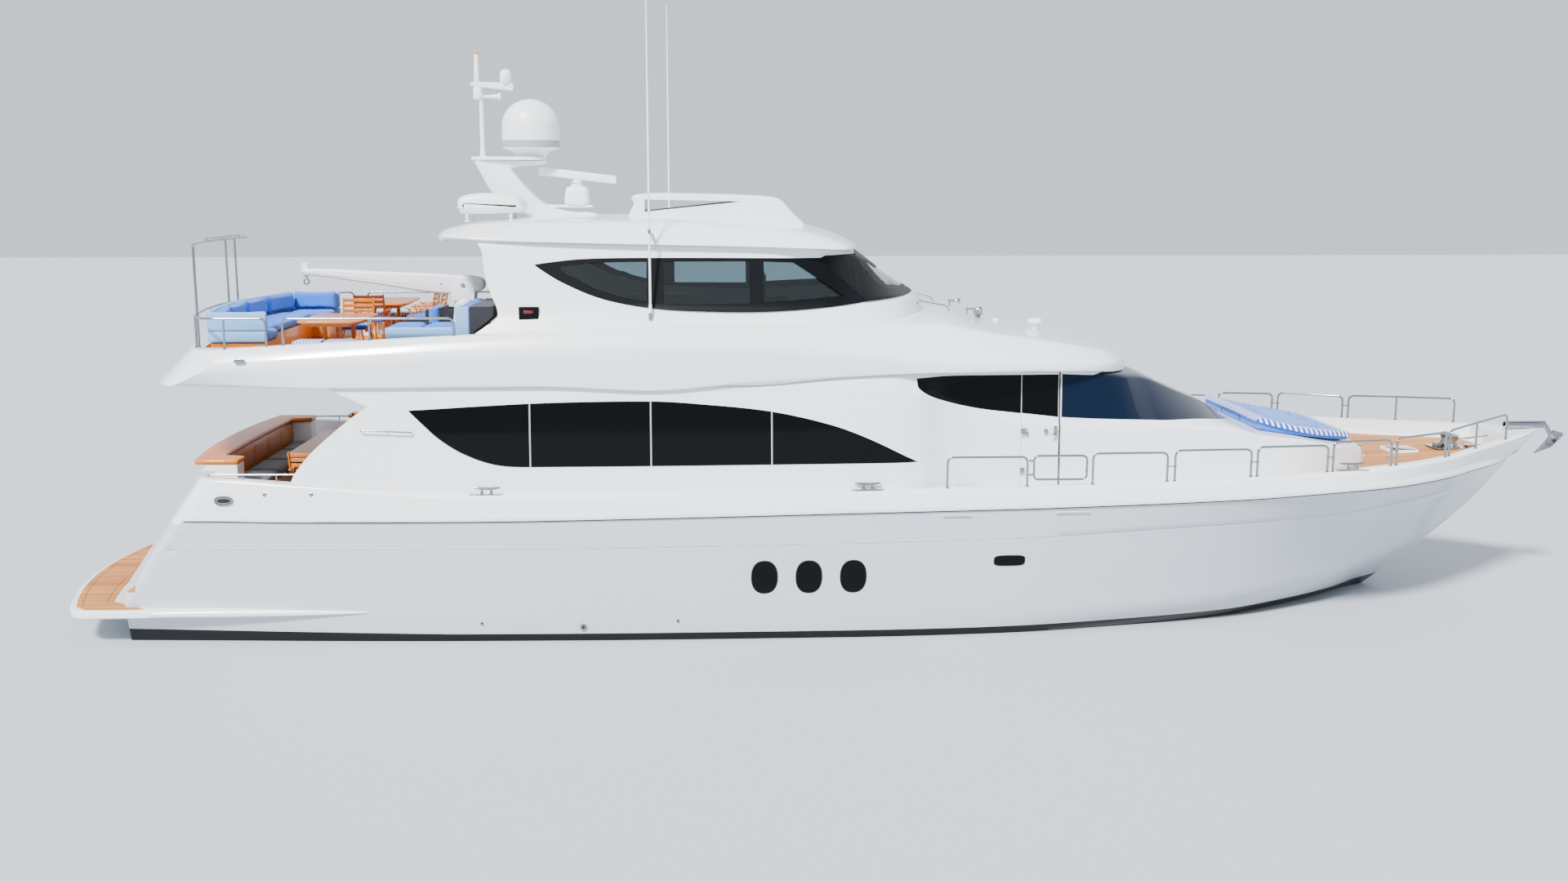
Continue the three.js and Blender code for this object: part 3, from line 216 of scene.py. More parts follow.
def makePlain(name, colour, roughness, scale=60.0, strength=0.1, **sockets):
    # a moulded or sprayed surface with a fine random texture
    material, shader, add = newMaterial(name, colour, roughness, **sockets)
    finish(add, shader, grainOf(add, scale, 2.0), strength, 0.001)
    return material


def makeTowelCloth():
    # printed cotton terry: a pale blue field with a wavy ornament, hems of royal blue and white bars 90 mm wide
    material, shader, add = newMaterial("stripedTerry", "8fb0e6", 0.95, Sheen_Weight=0.3)
    length, width, barPitch, slope = 1.78, 2.86, 0.095, 0.45
    uv = add("UVMap", uv_map="towelPlace")
    u, v, _ = add("SeparateXYZ", [uv], None)
    near = []    # metres from the fore and aft hems, and from the side hems
    for place, size in ((u, length), (v, width)):
        offset = add("Math", [add("Math", [place, 0.5], operation="SUBTRACT")], operation="ABSOLUTE")
        near.append(add("Math", [add("Math", [0.5, offset], operation="SUBTRACT"), size], operation="MULTIPLY"))
    nearest = add("Math", near, operation="MINIMUM")
    onEnd = add("Math", near, operation="LESS_THAN")
    onSide = add("Math", [1.0, onEnd], operation="SUBTRACT")
    runs = [add("Math", [mask, add("Math", [place, size], operation="MULTIPLY")], operation="MULTIPLY")
            for mask, place, size in ((onEnd, v, width), (onSide, u, length))]
    lean = add("Math", [nearest, slope], operation="MULTIPLY")
    slant = add("Math", [add("Math", runs, operation="ADD"), lean], operation="ADD")
    turns = add("Math", [add("Math", [slant, barPitch], operation="DIVIDE")], operation="FRACT")
    bars = add("Math", [turns, 0.52], operation="LESS_THAN")
    hem = add("Math", [nearest, 0.21], operation="LESS_THAN")
    wave = add("TexWave", {"Vector": uv, "Scale": 3.2, "Distortion": 7.0, "Detail": 2.0}, "Fac",
               wave_type="RINGS", rings_direction="SPHERICAL")
    scroll = add("Math", [wave, 0.2], operation="LESS_THAN")
    ring = add("Math", [add("Math", [nearest, 0.28], operation="GREATER_THAN"),
                        add("Math", [nearest, 0.62], operation="LESS_THAN")], operation="MULTIPLY")
    ringed = add("Math", [scroll, ring], operation="MULTIPLY")
    field = add("Mix", {0: ringed, 6: "4f82dc", 7: "1c4cc2"}, 2, data_type="RGBA")
    barred = add("Mix", {0: bars, 6: "dfe8fb", 7: "0f39b4"}, 2, data_type="RGBA")
    tone = add("Mix", {0: hem, 6: field, 7: barred}, 2, data_type="RGBA")
    finish(add, shader, grainOf(add, 320.0, 2.0), 0.5, 0.004, Base_Color=tone)
    return material


gelcoat = makeGelcoat("whiteGelcoat", "f4f6f8", "eceff2")
topsides = makeTopsides()
teak = makeTeakDeck()
varnish = makeVarnishedTeak()
steel = makeSteel()
bronze = makeBronze()
blueCloth = makeCloth("blueCanvas", "1565d6", "2b78e0", 0.004)
# a paler copy of the blue canvas: painted light on the outward faces of the settee and bench
litBlueCloth = makeCloth("paleBlueCanvasPaintedLight", "6fa3d6", "82b1dc", 0.004)
greyCloth = makeCloth("greyCanvas", "4a4e55", "575b62", 0.004)
# grey upholstery darkened near black: painted shade on the bench backs and the armchair shells
shadedCharcoalCloth = makeCloth("charcoalCanvasPaintedShade", "12161d", "191e27", 0.004)
tickingCloth = makeTicking()
towelCloth = makeTowelCloth()
darkGlass = newMaterial("privacyGlass", "020406", 0.03, IOR=1.5, Specular_IOR_Level=0.14)[0]
# the windscreen's navy tint is a painted reflection of the sky
skyTintedScreenGlass = newMaterial("windscreenGlassPaintedSky", "081629", 0.04, IOR=1.5, Specular_IOR_Level=0.12)[0]
clearGlass = newMaterial("tintedGlass", "9fb1b6", 0.01, IOR=1.45, Transmission_Weight=1.0)[0]
blackTrim = makePlain("blackPaintedFrame", "05070b", 0.45, Specular_IOR_Level=0.12)
whitePlastic = makePlain("sprayedFibreglass", "f2f4f5", 0.35)
bandGrey = makePlain("greyTape", "9aa7b1", 0.4)
redLens = newMaterial("redAcrylicLens", "6e0a12", 0.25)[0]
# black rubber for gaskets and caulk; the same black paints shade under the rub rail and inside openings
blackRubberAndShade = makePlain("blackRubberAndShade", "121315", 0.7)
linerVinyl = makePlain("headlinerVinyl", "d8d6d0", 0.8)
amberLens = newMaterial("amberAcrylicLens", "d89a1c", 0.15, Coat_Weight=0.5)[0]
greenLens = newMaterial("greenAcrylicLens", "0f9c4a", 0.1, Coat_Weight=1.0)[0]
beigeCarpet = makeCloth("cutPileCarpet", "b9ad98", "a89c86", 0.006)
creamCloth = makeCloth("creamUpholstery", "d9d3c4", "cfc8b7", 0.004)
blackLeather = makePlain("blackLeather", "17181b", 0.45, 900.0, 0.3)
screenBlack = newMaterial("displayGlass", "06080b", 0.08, Coat_Weight=1.0)[0]
castEnamel = makePlain("engineEnamel", "d9d9d6", 0.45)


# ---- meshes from arrays

def rowsOf(*columns):
    # columns, or single values, side by side
    return np.stack(np.broadcast_arrays(*columns), -1)


def ringsOf(*corners):
    # one ring a station, from the columns of each corner
    return np.stack([rowsOf(*corner) for corner in corners], 1)


def atLevel(plan, level):
    return rowsOf(*np.asarray(plan).T, level)


def makePiece(name, points, faces, material, smoothAngle=35.0):
    mesh = bpy.data.meshes.new(name)
    mesh.from_pydata(np.asarray(points, float).reshape(-1, 3).tolist(), [], [list(map(int, f)) for f in faces])
    mesh.validate()
    piece = bpy.data.objects.new(name, mesh)
    bpy.context.scene.collection.objects.link(piece)
    piece.data.materials.append(material)
    shadeSmooth(piece, smoothAngle)
    return piece


def shadeSmooth(piece, angle=35.0):
    mesh = piece.data
    mesh.polygons.foreach_set("use_smooth", np.ones(len(mesh.polygons), bool))
    mesh.set_sharp_from_angle(angle=math.radians(angle))


def gridFaces(rows, columns, closed=False):
    # quads of a grid whose points run along each row in turn; closed joins each row's end to its start
    across = np.arange(columns if closed else columns - 1)
    start = np.arange(rows - 1)[:, None] * columns
    a = start + across
    b = start + (across + 1) % columns
    return np.stack([a, b, b + columns, a + columns], -1).reshape(-1, 4)


def loftPart(rings):
    # rings (n, m, 3) joined in turn, the first and last closed by flat ends, turned to face outwards
    rings = np.asarray(rings, float)
    count, size = rings.shape[:2]
    points = rings.reshape(-1, 3)
    quads = gridFaces(count, size, closed=True)
    ends = [np.arange(size)[::-1], np.arange(size) + (count - 1) * size]
    shifted = points - points.mean(0)
    a, b, c, d = (shifted[quads[:, i]] for i in range(4))
    volume = np.einsum("ij,ij->", a, np.cross(b, c) + np.cross(c, d))
    for end in ends:
        corner = shifted[end]
        volume += np.cross(corner[1:-1], corner[2:]).sum(0) @ corner[0]
    faces = [*quads, *ends]
    return points, faces if volume > 0 else [f[::-1] for f in faces]


def makeLoft(name, rings, material, smoothAngle=35.0):
    return makePiece(name, *loftPart(rings), material, smoothAngle)


def makeJoined(name, parts, material, smoothAngle=35.0):
    points, faces, count = [], [], 0
    for partPoints, partFaces in parts:
        points.append(np.asarray(partPoints, float))
        faces += [np.asarray(face) + count for face in partFaces]
        count += len(partPoints)
    return makePiece(name, np.concatenate(points), faces, material, smoothAngle)


def mirrored(part):
    points, faces = part
    return np.asarray(points) * [1, -1, 1], [face[::-1] for face in faces]


def onBothSides(parts):
    return [*parts, *[mirrored(part) for part in parts]]


def moved(part, shift, turn=0.0, about=(0.0, 0.0)):
    # turned about an upright line, degrees, then shifted
    points, faces = part
    angle = math.radians(turn)
    matrix = np.array([[math.cos(angle), math.sin(angle), 0], [-math.sin(angle), math.cos(angle), 0], [0, 0, 1]])
    centre = np.array([*about, 0.0])
    return (points - centre) @ matrix + centre + np.asarray(shift, float), faces


def tubePart(path, radius, bend=0.0, sides=12, steps=5):
    # a round section carried along a path: frames turn as little as they can from point to point
    path = np.asarray(path, float)
    if bend:
        path = softened(path[None], np.full(len(path), bend), steps)[0]
    unit = np.diff(path, axis=0)
    unit /= np.linalg.norm(unit, axis=1, keepdims=True)
    along = np.vstack([unit[:1], unit[:-1] + unit[1:], unit[-1:]])
    along /= np.linalg.norm(along, axis=1, keepdims=True)
    side = np.empty_like(path)
    last = np.eye(3)[np.argmin(np.abs(along[0]))]
    for i, direction in enumerate(along):
        last = last - direction * (last @ direction)
        last /= np.linalg.norm(last)
        side[i] = last
    other = np.cross(along, side)
    t = np.linspace(0, 2 * np.pi, sides, endpoint=False)[None, :, None]
    reach = np.broadcast_to(radius, len(path))[:, None, None]
    return loftPart(path[:, None] + reach * (np.cos(t) * side[:, None] + np.sin(t) * other[:, None]))


def lathePart(profile, origin, axis=(0, 0, 1), sides=40):
    # (radius, height) points turned about the axis through origin
    profile = np.asarray(profile, float)
    reach = np.maximum(profile[:, 0], 0.0004)[:, None]
    t = np.linspace(0, 2 * np.pi, sides, endpoint=False)
    rings = np.stack([reach * np.cos(t), reach * np.sin(t), np.repeat(profile[:, 1:], sides, 1)], -1)
    turn = Vector((0, 0, 1)).rotation_difference(Vector(axis)).to_matrix()
    return loftPart(rings @ np.array(turn).T + np.asarray(origin, float))


def turnedPart(profile, *place, **sides):
    # a lathe piece whose ends are flat: the points on the axis are added
    return lathePart([(0, profile[0][1]), *profile, (0, profile[-1][1])], *place, **sides)


def slabPart(outline, low, high, edge=0.0, axis="z", steps=3):
    # an outline carried along an axis, its rims rounded: inset e (1 - sin a) at depth e (1 - cos a)
    outline = np.asarray(outline, float)
    a = np.linspace(0, np.pi / 2, steps + 1) if edge else np.array([np.pi / 2])
    inset, depth = edge * (1 - np.sin(a)), edge * (1 - np.cos(a))
    insets = np.concatenate([inset, inset[::-1]])
    levels = np.concatenate([low + depth, high - depth[::-1]])
    columns = {"z": (0, 1, 2), "y": (0, 2, 1), "x": (2, 0, 1)}[axis]
    rings = []
    for margin, level in zip(insets, levels):
        plan = grown(outline, -margin) if margin else outline
        rings.append(atLevel(plan, level)[:, columns])
    return loftPart(rings)


def roundedPlan(x0, x1, y0, y1, radius, steps=6):
    # a rectangle whose corners are quarter circles
    t = np.linspace(0, np.pi / 2, steps)
    quarters = [(x1 - radius, y1 - radius, 0), (x0 + radius, y1 - radius, 1), (x0 + radius, y0 + radius, 2),
                (x1 - radius, y0 + radius, 3)]
    return np.concatenate([rowsOf(cx + radius * np.cos(t + q * np.pi / 2), cy + radius * np.sin(t + q * np.pi / 2))
                           for cx, cy, q in quarters])


def blockPart(x0, x1, y0, y1, z0, z1, corner=0.03, edge=0.01, axis="z"):
    # a slab of a rounded rectangle; its two plan axes come first
    return slabPart(roundedPlan(x0, x1, y0, y1, corner), z0, z1, edge, axis)


def columnsAt(table, x):
    # cubic through the rows, slopes limited so that no value passes its rows; x in metres, table in mm
    rows = np.asarray(table, float) / 1000
    t, v = rows[:, 0], rows[:, 1:]
    h = np.diff(t)
    d = np.diff(v, axis=0) / h[:, None]
    left, right = h[:-1, None], h[1:, None]
    w1, w2 = 2 * right + left, right + 2 * left
    same = d[:-1] * d[1:] > 0
    with np.errstate(divide="ignore", invalid="ignore"):
        middle = np.where(same, (w1 + w2) / (w1 / d[:-1] + w2 / d[1:]), 0.0)
    m = np.vstack([d[:1], middle, d[-1:]])
    x = np.clip(np.atleast_1d(np.asarray(x, float)), t[0], t[-1])
    k = np.clip(np.searchsorted(t, x) - 1, 0, len(t) - 2)
    s = ((x - t[k]) / h[k])[:, None]
    step = h[k][:, None]
    return ((1 + 2 * s) * (1 - s) ** 2 * v[k] + s * (1 - s) ** 2 * step * m[k]
            + s ** 2 * (3 - 2 * s) * v[k + 1] + s ** 2 * (s - 1) * step * m[k + 1])


def softened(points, radii, steps=5):
    # every corner of a row of polylines becomes a quadratic bend that begins and ends its radius away
    points = np.asarray(points, float)
    parts = [points[:, :1]]
    t = np.linspace(0, 1, steps)[None, :, None]
    for j in range(1, points.shape[1] - 1):
        corner = points[:, j]
        if radii[j] == 0:
            parts.append(corner[:, None])
            continue
        before, after = points[:, j - 1] - corner, points[:, j + 1] - corner
        lengths = [np.maximum(np.linalg.norm(v, axis=1, keepdims=True), 1e-9) for v in (before, after)]
        into = corner + before * np.minimum(radii[j] / lengths[0], 0.48)
        out = corner + after * np.minimum(radii[j] / lengths[1], 0.48)
        parts.append((1 - t) ** 2 * into[:, None] + 2 * t * (1 - t) * corner[:, None] + t ** 2 * out[:, None])
    parts.append(points[:, -1:])
    return np.concatenate(parts, 1)


def wholeRings(x, half):
    # port halves of sections (n, m, 2) as (y, z) from the centreline out and back, made whole; ends lie on y = 0
    port = np.concatenate([np.broadcast_to(x[:, None, None], (*half.shape[:2], 1)), half], 2)
    other = port[:, -2:0:-1] * np.array([1, -1, 1])
    return np.concatenate([port, other], 1)


def makePrism(outline, low, high, plane="xz", rake=0.0, rakeFrom=0.0):
    # an outline in plan (xy) or in profile (xz), carried from low to high; rake moves x with height
    outline = np.asarray(outline, float)
    rings = []
    for place in (low, high):
        if plane == "xy":
            shift = outline[:, 0] + rake * (place - rakeFrom)
            rings.append(rowsOf(shift, outline[:, 1], place))
        else:
            rings.append(rowsOf(outline[:, 0], place, outline[:, 1]))
    return makeLoft("cutter", np.array(rings), gelcoat)


def makeBox(x0, x1, y0, y1, z0, z1):
    return makePrism([(x0, y0), (x1, y0), (x1, y1), (x0, y1)], z0, z1, "xy")


def bakeModifiers(piece):
    graph = bpy.context.evaluated_depsgraph_get()
    mesh = bpy.data.meshes.new_from_object(piece.evaluated_get(graph))
    piece.modifiers.clear()
    piece.data = mesh
    return piece


def combine(piece, others, operation):
    for other in others:
        modifier = piece.modifiers.new("combine", "BOOLEAN")
        modifier.object = other
        modifier.operation = operation
        modifier.solver = "MANIFOLD"
        bakeModifiers(piece)
        bpy.data.objects.remove(other)
    return piece


def cutAway(piece, *others):
    return combine(piece, others, "DIFFERENCE")


def keepInside(piece, *others):
    return combine(piece, others, "INTERSECT")


def addTo(piece, *others):
    return combine(piece, others, "UNION")


def copyOf(piece, name, scale=(1, 1, 1)):
    twin = bpy.data.objects.new(name, piece.data.copy())
    bpy.context.scene.collection.objects.link(twin)
    if scale != (1, 1, 1):
        points = np.empty(len(twin.data.vertices) * 3)
        twin.data.vertices.foreach_get("co", points)
        twin.data.vertices.foreach_set("co", (points.reshape(-1, 3) * scale).ravel())
        if np.prod(scale) < 0:
            twin.data.flip_normals()
        twin.data.update()
    return twin


def bothSides(makeCutter, outline, low, high):
    # the same profile cutter on port and starboard
    return [makeCutter(outline, low, high), makeCutter(outline, -high, -low)]


def settle(piece, name, replaced=(), body="yacht", angle=35.0, material=None):
    # names a finished piece, smooths it and ties it to the frame
    piece.name = piece.data.name = name
    if material is not None:
        piece.data.materials.clear()
        piece.data.materials.append(material)
    shadeSmooth(piece, angle)
    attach(piece, body)
    if replaced:
        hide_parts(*replaced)
    return piece


# ---- camera, floor and light

view = {"place": (-1.84, -25.68, 6.98), "yaw": -2.2, "pitch": 9.64, "lens": 35.0, "sensor": 36.0}


def makeCamera():
    camera = bpy.data.objects.new("camera", bpy.data.cameras.new("camera"))
    bpy.context.scene.collection.objects.link(camera)
    camera.data.lens, camera.data.sensor_width = view["lens"], view["sensor"]
    camera.data.clip_end = 500
    yaw, pitch = math.radians(view["yaw"]), math.radians(view["pitch"])
    ahead = Vector((-math.sin(yaw) * math.cos(pitch), math.cos(yaw) * math.cos(pitch), -math.sin(pitch)))
    camera.location = view["place"]
    camera.rotation_mode = "QUATERNION"
    camera.rotation_quaternion = ahead.to_track_quat("-Z", "Y")
    bpy.context.scene.camera = camera


def makeStudio():
    floorMaterial = newMaterial("paleFloor", "b4b9bf", 0.8)[0]
    size = 120.0
    floor = makePiece("floor", [(-size, -size, 0), (size, -size, 0), (size, size, 0), (-size, size, 0)],
                      [(0, 1, 2, 3)], floorMaterial)
    world = bpy.data.worlds.new("studio")
    bpy.context.scene.world = world
    world.use_nodes = True
    backdrop = world.node_tree.nodes["Background"]
    backdrop.inputs["Color"].default_value = linearColour("dfe8f2")
    backdrop.inputs["Strength"].default_value = 1.25
    for name, turn, strength, angle in (("key", (38, -24, 0), 8.5, 9), ("fill", (-40, 30, 0), 0.6, 60)):
        light = bpy.data.objects.new(name, bpy.data.lights.new(name, "SUN"))
        bpy.context.scene.collection.objects.link(light)
        light.data.energy = strength
        light.data.angle = math.radians(angle)
        light.rotation_euler = [math.radians(a) for a in turn]


makeCamera()
makeStudio()
print("camera and studio")

# ---- hull

hullStations = [  # x, keel z, chine y z, crease y z, knuckle y z, sheer y z, deck z
    (-11800, -760, 2530, -140, 2610, 60, 2945, 1990, 2890, 2600, 1900),
    (-9600, -880, 2640, -140, 2730, 60, 3045, 2000, 2985, 2590, 1900),
    (-8350, -950, 2720, -140, 2800, 60, 3105, 1985, 3045, 2510, 1900),
    (-5800, -1060, 2840, -130, 2900, 70, 3190, 1990, 3120, 2340, 1900),
    (-3000, -1120, 2900, -100, 2940, 80, 3245, 2030, 3170, 2340, 1900),
    (0, -1150, 2890, -60, 2925, 120, 3250, 2085, 3175, 2370, 2090),
    (2500, -1130, 2760, 0, 2840, 210, 3250, 2130, 3175, 2400, 2130),
    (4400, -1050, 2440, 20, 2660, 320, 3190, 2170, 3120, 2440, 2170),
    (6200, -880, 2020, 60, 2330, 420, 3100, 2220, 3030, 2500, 2230),
    (7500, -640, 1420, 110, 1830, 530, 2950, 2275, 2900, 2545, 2275),
    (8500, -330, 860, 200, 1330, 640, 2740, 2310, 2740, 2600, 2330),
    (9200, -70, 330, 250, 880, 730, 2420, 2325, 2450, 2620, 2350),
    (9900, 440, 60, 520, 420, 800, 1960, 2335, 2010, 2640, 2370),
    (10450, 850, 20, 880, 70, 930, 1500, 2345, 1600, 2670, 2400),
    (11000, 1330, 15, 1350, 30, 1380, 1060, 2355, 1200, 2705, 2430),
    (11420, 1760, 12, 1775, 25, 1800, 640, 2365, 880, 2725, 2450),
    (11800, 2230, 10, 2245, 20, 2260, 210, 2390, 560, 2745, 2470),
    (12200, 2640, 8, 2645, 16, 2655, 40, 2670, 110, 2765, 2500),
]
grooveLine = [(-11000, 1480), (-4700, 1490), (-2300, 1520), (1200, 1560), (2750, 1600), (5300, 1710),
              (6800, 1760), (8000, 1820), (9200, 1850), (10450, 1900), (12200, 2000)]
hullShape = {"grooveDepth": 0.012, "grooveHalf": 0.011, "lip": 0.035, "capWidth": 0.2, "cockpitAft": -9.72}


def sheerAt(x):
    # half-breadth, height and deck height at the sheer
    columns = columnsAt(hullStations, x)
    return columns[:, 7], columns[:, 8], columns[:, 9]


def flareAt(x, low, high):
    # how far the topsides hollow inwards between crease and knuckle: a share of the width they gain
    share = np.interp(x, [-12, 1, 5, 9, 11, 12.2], [-0.05, -0.03, 0.02, 0.12, 0.08, 0.0])
    return share * (high - low)


def topsideY(x, z):
    # half-breadth of the side: a straight line with a parabola of the flare between crease and knuckle
    x, z = np.broadcast_arrays(np.atleast_1d(x).astype(float), np.atleast_1d(z).astype(float))
    c = columnsAt(hullStations, x.ravel())
    creaseY, creaseZ, knuckleY, knuckleZ, sheerY, sheerZ = (c[:, i].reshape(x.shape) for i in range(3, 9))
    s = np.clip((z - creaseZ) / (knuckleZ - creaseZ), 0, 1)
    side = creaseY + (knuckleY - creaseY) * s - 4 * s * (1 - s) * flareAt(x, creaseY, knuckleY)
    above = np.clip((z - knuckleZ) / (sheerZ - knuckleZ), 0, 1)
    below = np.clip((creaseZ - z) / np.maximum(creaseZ - c[:, 2].reshape(x.shape), 1e-6), 0, 1)
    return side + above * (sheerY - knuckleY) + below * (c[:, 1].reshape(x.shape) - creaseY)


def hullHalves(x):
    keelZ, chineY, chineZ, creaseY, creaseZ, knuckleY, knuckleZ, sheerY, sheerZ = columnsAt(hullStations, x).T[:9]
    lip = hullShape["lip"] * np.clip(knuckleY / 0.4, 0, 1)
    topY, topZ = knuckleY - lip, knuckleZ - 1.3 * lip
    grooveZ = columnsAt(grooveLine, x)[:, 0]
    s = np.clip((grooveZ - creaseZ) / (topZ - creaseZ), 0.12, 0.88)
    half = hullShape["grooveHalf"] / np.maximum(topZ - creaseZ, 0.05)
    half = np.minimum(half, 0.05)
    fade = np.interp(x, [-10.4, -10.2, 10.0, 10.8], [0, 1, 1, 0])

    def side(share, sunk=0.0):
        y = creaseY + (topY - creaseY) * share - 4 * share * (1 - share) * flareAt(x, creaseY, knuckleY)
        return rowsOf(y - sunk, creaseZ + (topZ - creaseZ) * share)

    def line(y0, z0, y1, z1, steps):
        t = np.linspace(0, 1, steps, endpoint=False)[None, :]
        return np.stack([y0[:, None] + (y1 - y0)[:, None] * t, z0[:, None] + (z1 - z0)[:, None] * t], 2)

    zero = np.zeros_like(x)
    parts = [line(zero, keelZ, chineY, chineZ, 6), line(chineY, chineZ, creaseY, creaseZ, 3)]
    parts += [side(t * (s - half))[:, None] for t in np.linspace(0, 1, 10)]
    parts += [side(s, hullShape["grooveDepth"] * fade)[:, None]]
    parts += [side(s + half + t * (1 - s - half))[:, None] for t in np.linspace(0, 1, 6)]
    band = ringsOf((topY, topZ), (knuckleY, topZ + 0.004), (knuckleY + 0.25 * lip, knuckleZ + 0.3 * lip),
        (knuckleY - 0.3 * lip, knuckleZ + 1.8 * lip), (sheerY + 0.004, sheerZ - 0.02), (sheerY - 0.05, sheerZ),
        (zero, sheerZ))
    parts.append(softened(band, [0, 0.008, 0.03, 0.04, 0.05, 0.03, 0], 4)[:, 1:])
    return np.concatenate(parts, 1)


transom = {"x": -10.995, "bow": 0.63, "half": 3.4, "rake": 0.7, "foot": 0.55}


def transomX(y, z):
    # a parabola in plan, x = x0 - bow (1 - (y / half) ** 2), that leans forward with height
    return transom["x"] - transom["bow"] * (1 - (y / transom["half"]) ** 2) + transom["rake"] * (z - transom["foot"])


def transomBody():
    # level outlines: from the centre of the transom out, round its corner and forward along the side
    rings = []
    for z in [-2.0, -0.5, 0.0, 0.3, 0.42, 0.421, *np.linspace(0.5, 3.4, 30)]:
        radius = 0.05 if z <= 0.42 else 0.3

        def aft(y):
            return np.full_like(y, -11.05) if z <= 0.42 else transomX(y, z)

        corner = np.array([2.7])
        for _ in range(6):
            corner = topsideY(aft(corner), z).ravel()
        y0 = corner[0]
        across = np.linspace(0, y0 - radius, 12)
        along = np.linspace(aft(corner)[0] + radius, -8.0, 12)
        inner = rowsOf(aft(across), across)
        outer = rowsOf(along, topsideY(along, z).ravel() + 0.002)
        t = np.linspace(0, 1, 10)[1:-1, None]
        tip = np.array([aft(corner)[0], y0 + 0.002])
        bend = (1 - t) ** 2 * inner[-1] + 2 * t * (1 - t) * tip + t ** 2 * outer[0]
        plan = np.concatenate([inner, bend, outer, [[-8.0, 4.0], [14.0, 4.0]]])
        whole = np.concatenate([plan[::-1], plan[1:] * [1, -1]])
        rings.append(atLevel(whole, z))
    return makeLoft("transomBody", np.array(rings), topsides)


def bowedLine(halfWidth, sag, x, count=24):
    # aft edge in plan: x falls by sag towards the middle, as a parabola
    y = np.linspace(halfWidth, -halfWidth, count + 1)
    return rowsOf(x - sag * (1 - (y / halfWidth) ** 2), y)


def deckWell():
    x = np.linspace(hullShape["cockpitAft"], 11.42, 150)
    sheerY, _, deckZ = sheerAt(x)
    inner = sheerY - hullShape["capWidth"]
    rings = ringsOf((x, inner, deckZ), (x, inner, 3.3), (x, -inner, 3.3), (x, -inner, deckZ))
    return makeLoft("deckWell", rings, topsides)


stairs = {"inner": 2.3, "outer": 2.78, "start": -11.05, "going": 0.255, "rise": 0.225, "risers": 6, "foot": 0.55}


def stairOutline():
    points = [(-11.9, 3.3), (-11.9, stairs["foot"]), (stairs["start"], stairs["foot"])]
    for step in range(stairs["risers"]):
        x, z = stairs["start"] + step * stairs["going"], stairs["foot"] + stairs["rise"] * (step + 1)
        points.append((x, z))
        if step + 1 < stairs["risers"]:
            points.append((x + stairs["going"], z))
    return points + [(-9.66, 1.9), (-9.66, 3.3)]


portholes = {"ovals": (-1.27, -0.59, 0.09), "ovalZ": 1.02, "ovalHalf": (0.205, 0.27), "pill": (2.495, 1.24),
             "pillHalf": (0.245, 0.09), "recess": 0.03}


def ovalOutline(centre, half, power, count=48):
    # superellipse: |u / a| ** power + |v / b| ** power = 1
    t = np.linspace(0, 2 * np.pi, count, endpoint=False)
    u = np.sign(np.cos(t)) * np.abs(np.cos(t)) ** (2 / power)
    v = np.sign(np.sin(t)) * np.abs(np.sin(t)) ** (2 / power)
    return rowsOf(centre[0] + half[0] * u, centre[1] + half[1] * v)


portOutlines = [ovalOutline((x, portholes["ovalZ"]), portholes["ovalHalf"], 2.35) for x in portholes["ovals"]]
portOutlines.append(ovalOutline(portholes["pill"], portholes["pillHalf"], 4.0))


def makeHull():
    x = np.unique(np.concatenate([np.linspace(-11.8, 12.2, 200), np.linspace(8.5, 12.2, 60)]))
    body = makeLoft("hull", wholeRings(x, hullHalves(x)), topsides)
    back = bowedLine(stairs["inner"], 0.19, -10.06)
    backPlan = np.concatenate([back, [(-9.72, -stairs["inner"]), (-9.72, stairs["inner"])]])
    addTo(body, makePrism(backPlan, 2.5, 2.68, "xy", 0.4, 2.6))
    keepInside(body, transomBody())
    cutAway(body, deckWell())
    addTo(body, *[makeBox(-9.725, -9.37, *sorted((side * 1.96, side * 2.3)), 1.895, 2.68) for side in (1, -1)])
    cutAway(body, *bothSides(makePrism, stairOutline(), stairs["inner"], stairs["outer"]))
    for outline in portOutlines:
        for side in (1, -1):
            y = topsideY(outline[:, 0], outline[:, 1]) - portholes["recess"]
            inner = rowsOf(outline[:, 0], side * y, outline[:, 1])
            outer = rowsOf(outline[:, 0], side * 3.4, outline[:, 1])
            cutAway(body, makeLoft("recess", np.array([inner, outer]), topsides))
    # faces above the foot of the rub rail take the white gelcoat; the grey topsides below carry painted shade
    body.data.materials.append(gelcoat)
    centres = np.empty(len(body.data.polygons) * 3)
    body.data.polygons.foreach_get("center", centres)
    centres = centres.reshape(-1, 3)
    body.data.polygons.foreach_set("material_index", (centres[:, 2] > railFootAt(centres[:, 0])[1] - 0.004).astype(int))
    return settle(body, "hull_shell", ["hull"], angle=40)


def railFootAt(x):
    # half-breadth and height of the corner under the rub rail
    knuckleY, knuckleZ = columnsAt(hullStations, x)[:, 5:7].T
    lip = hullShape["lip"] * np.clip(knuckleY / 0.4, 0, 1)
    return knuckleY - lip, knuckleZ - 1.3 * lip


hull = makeHull()


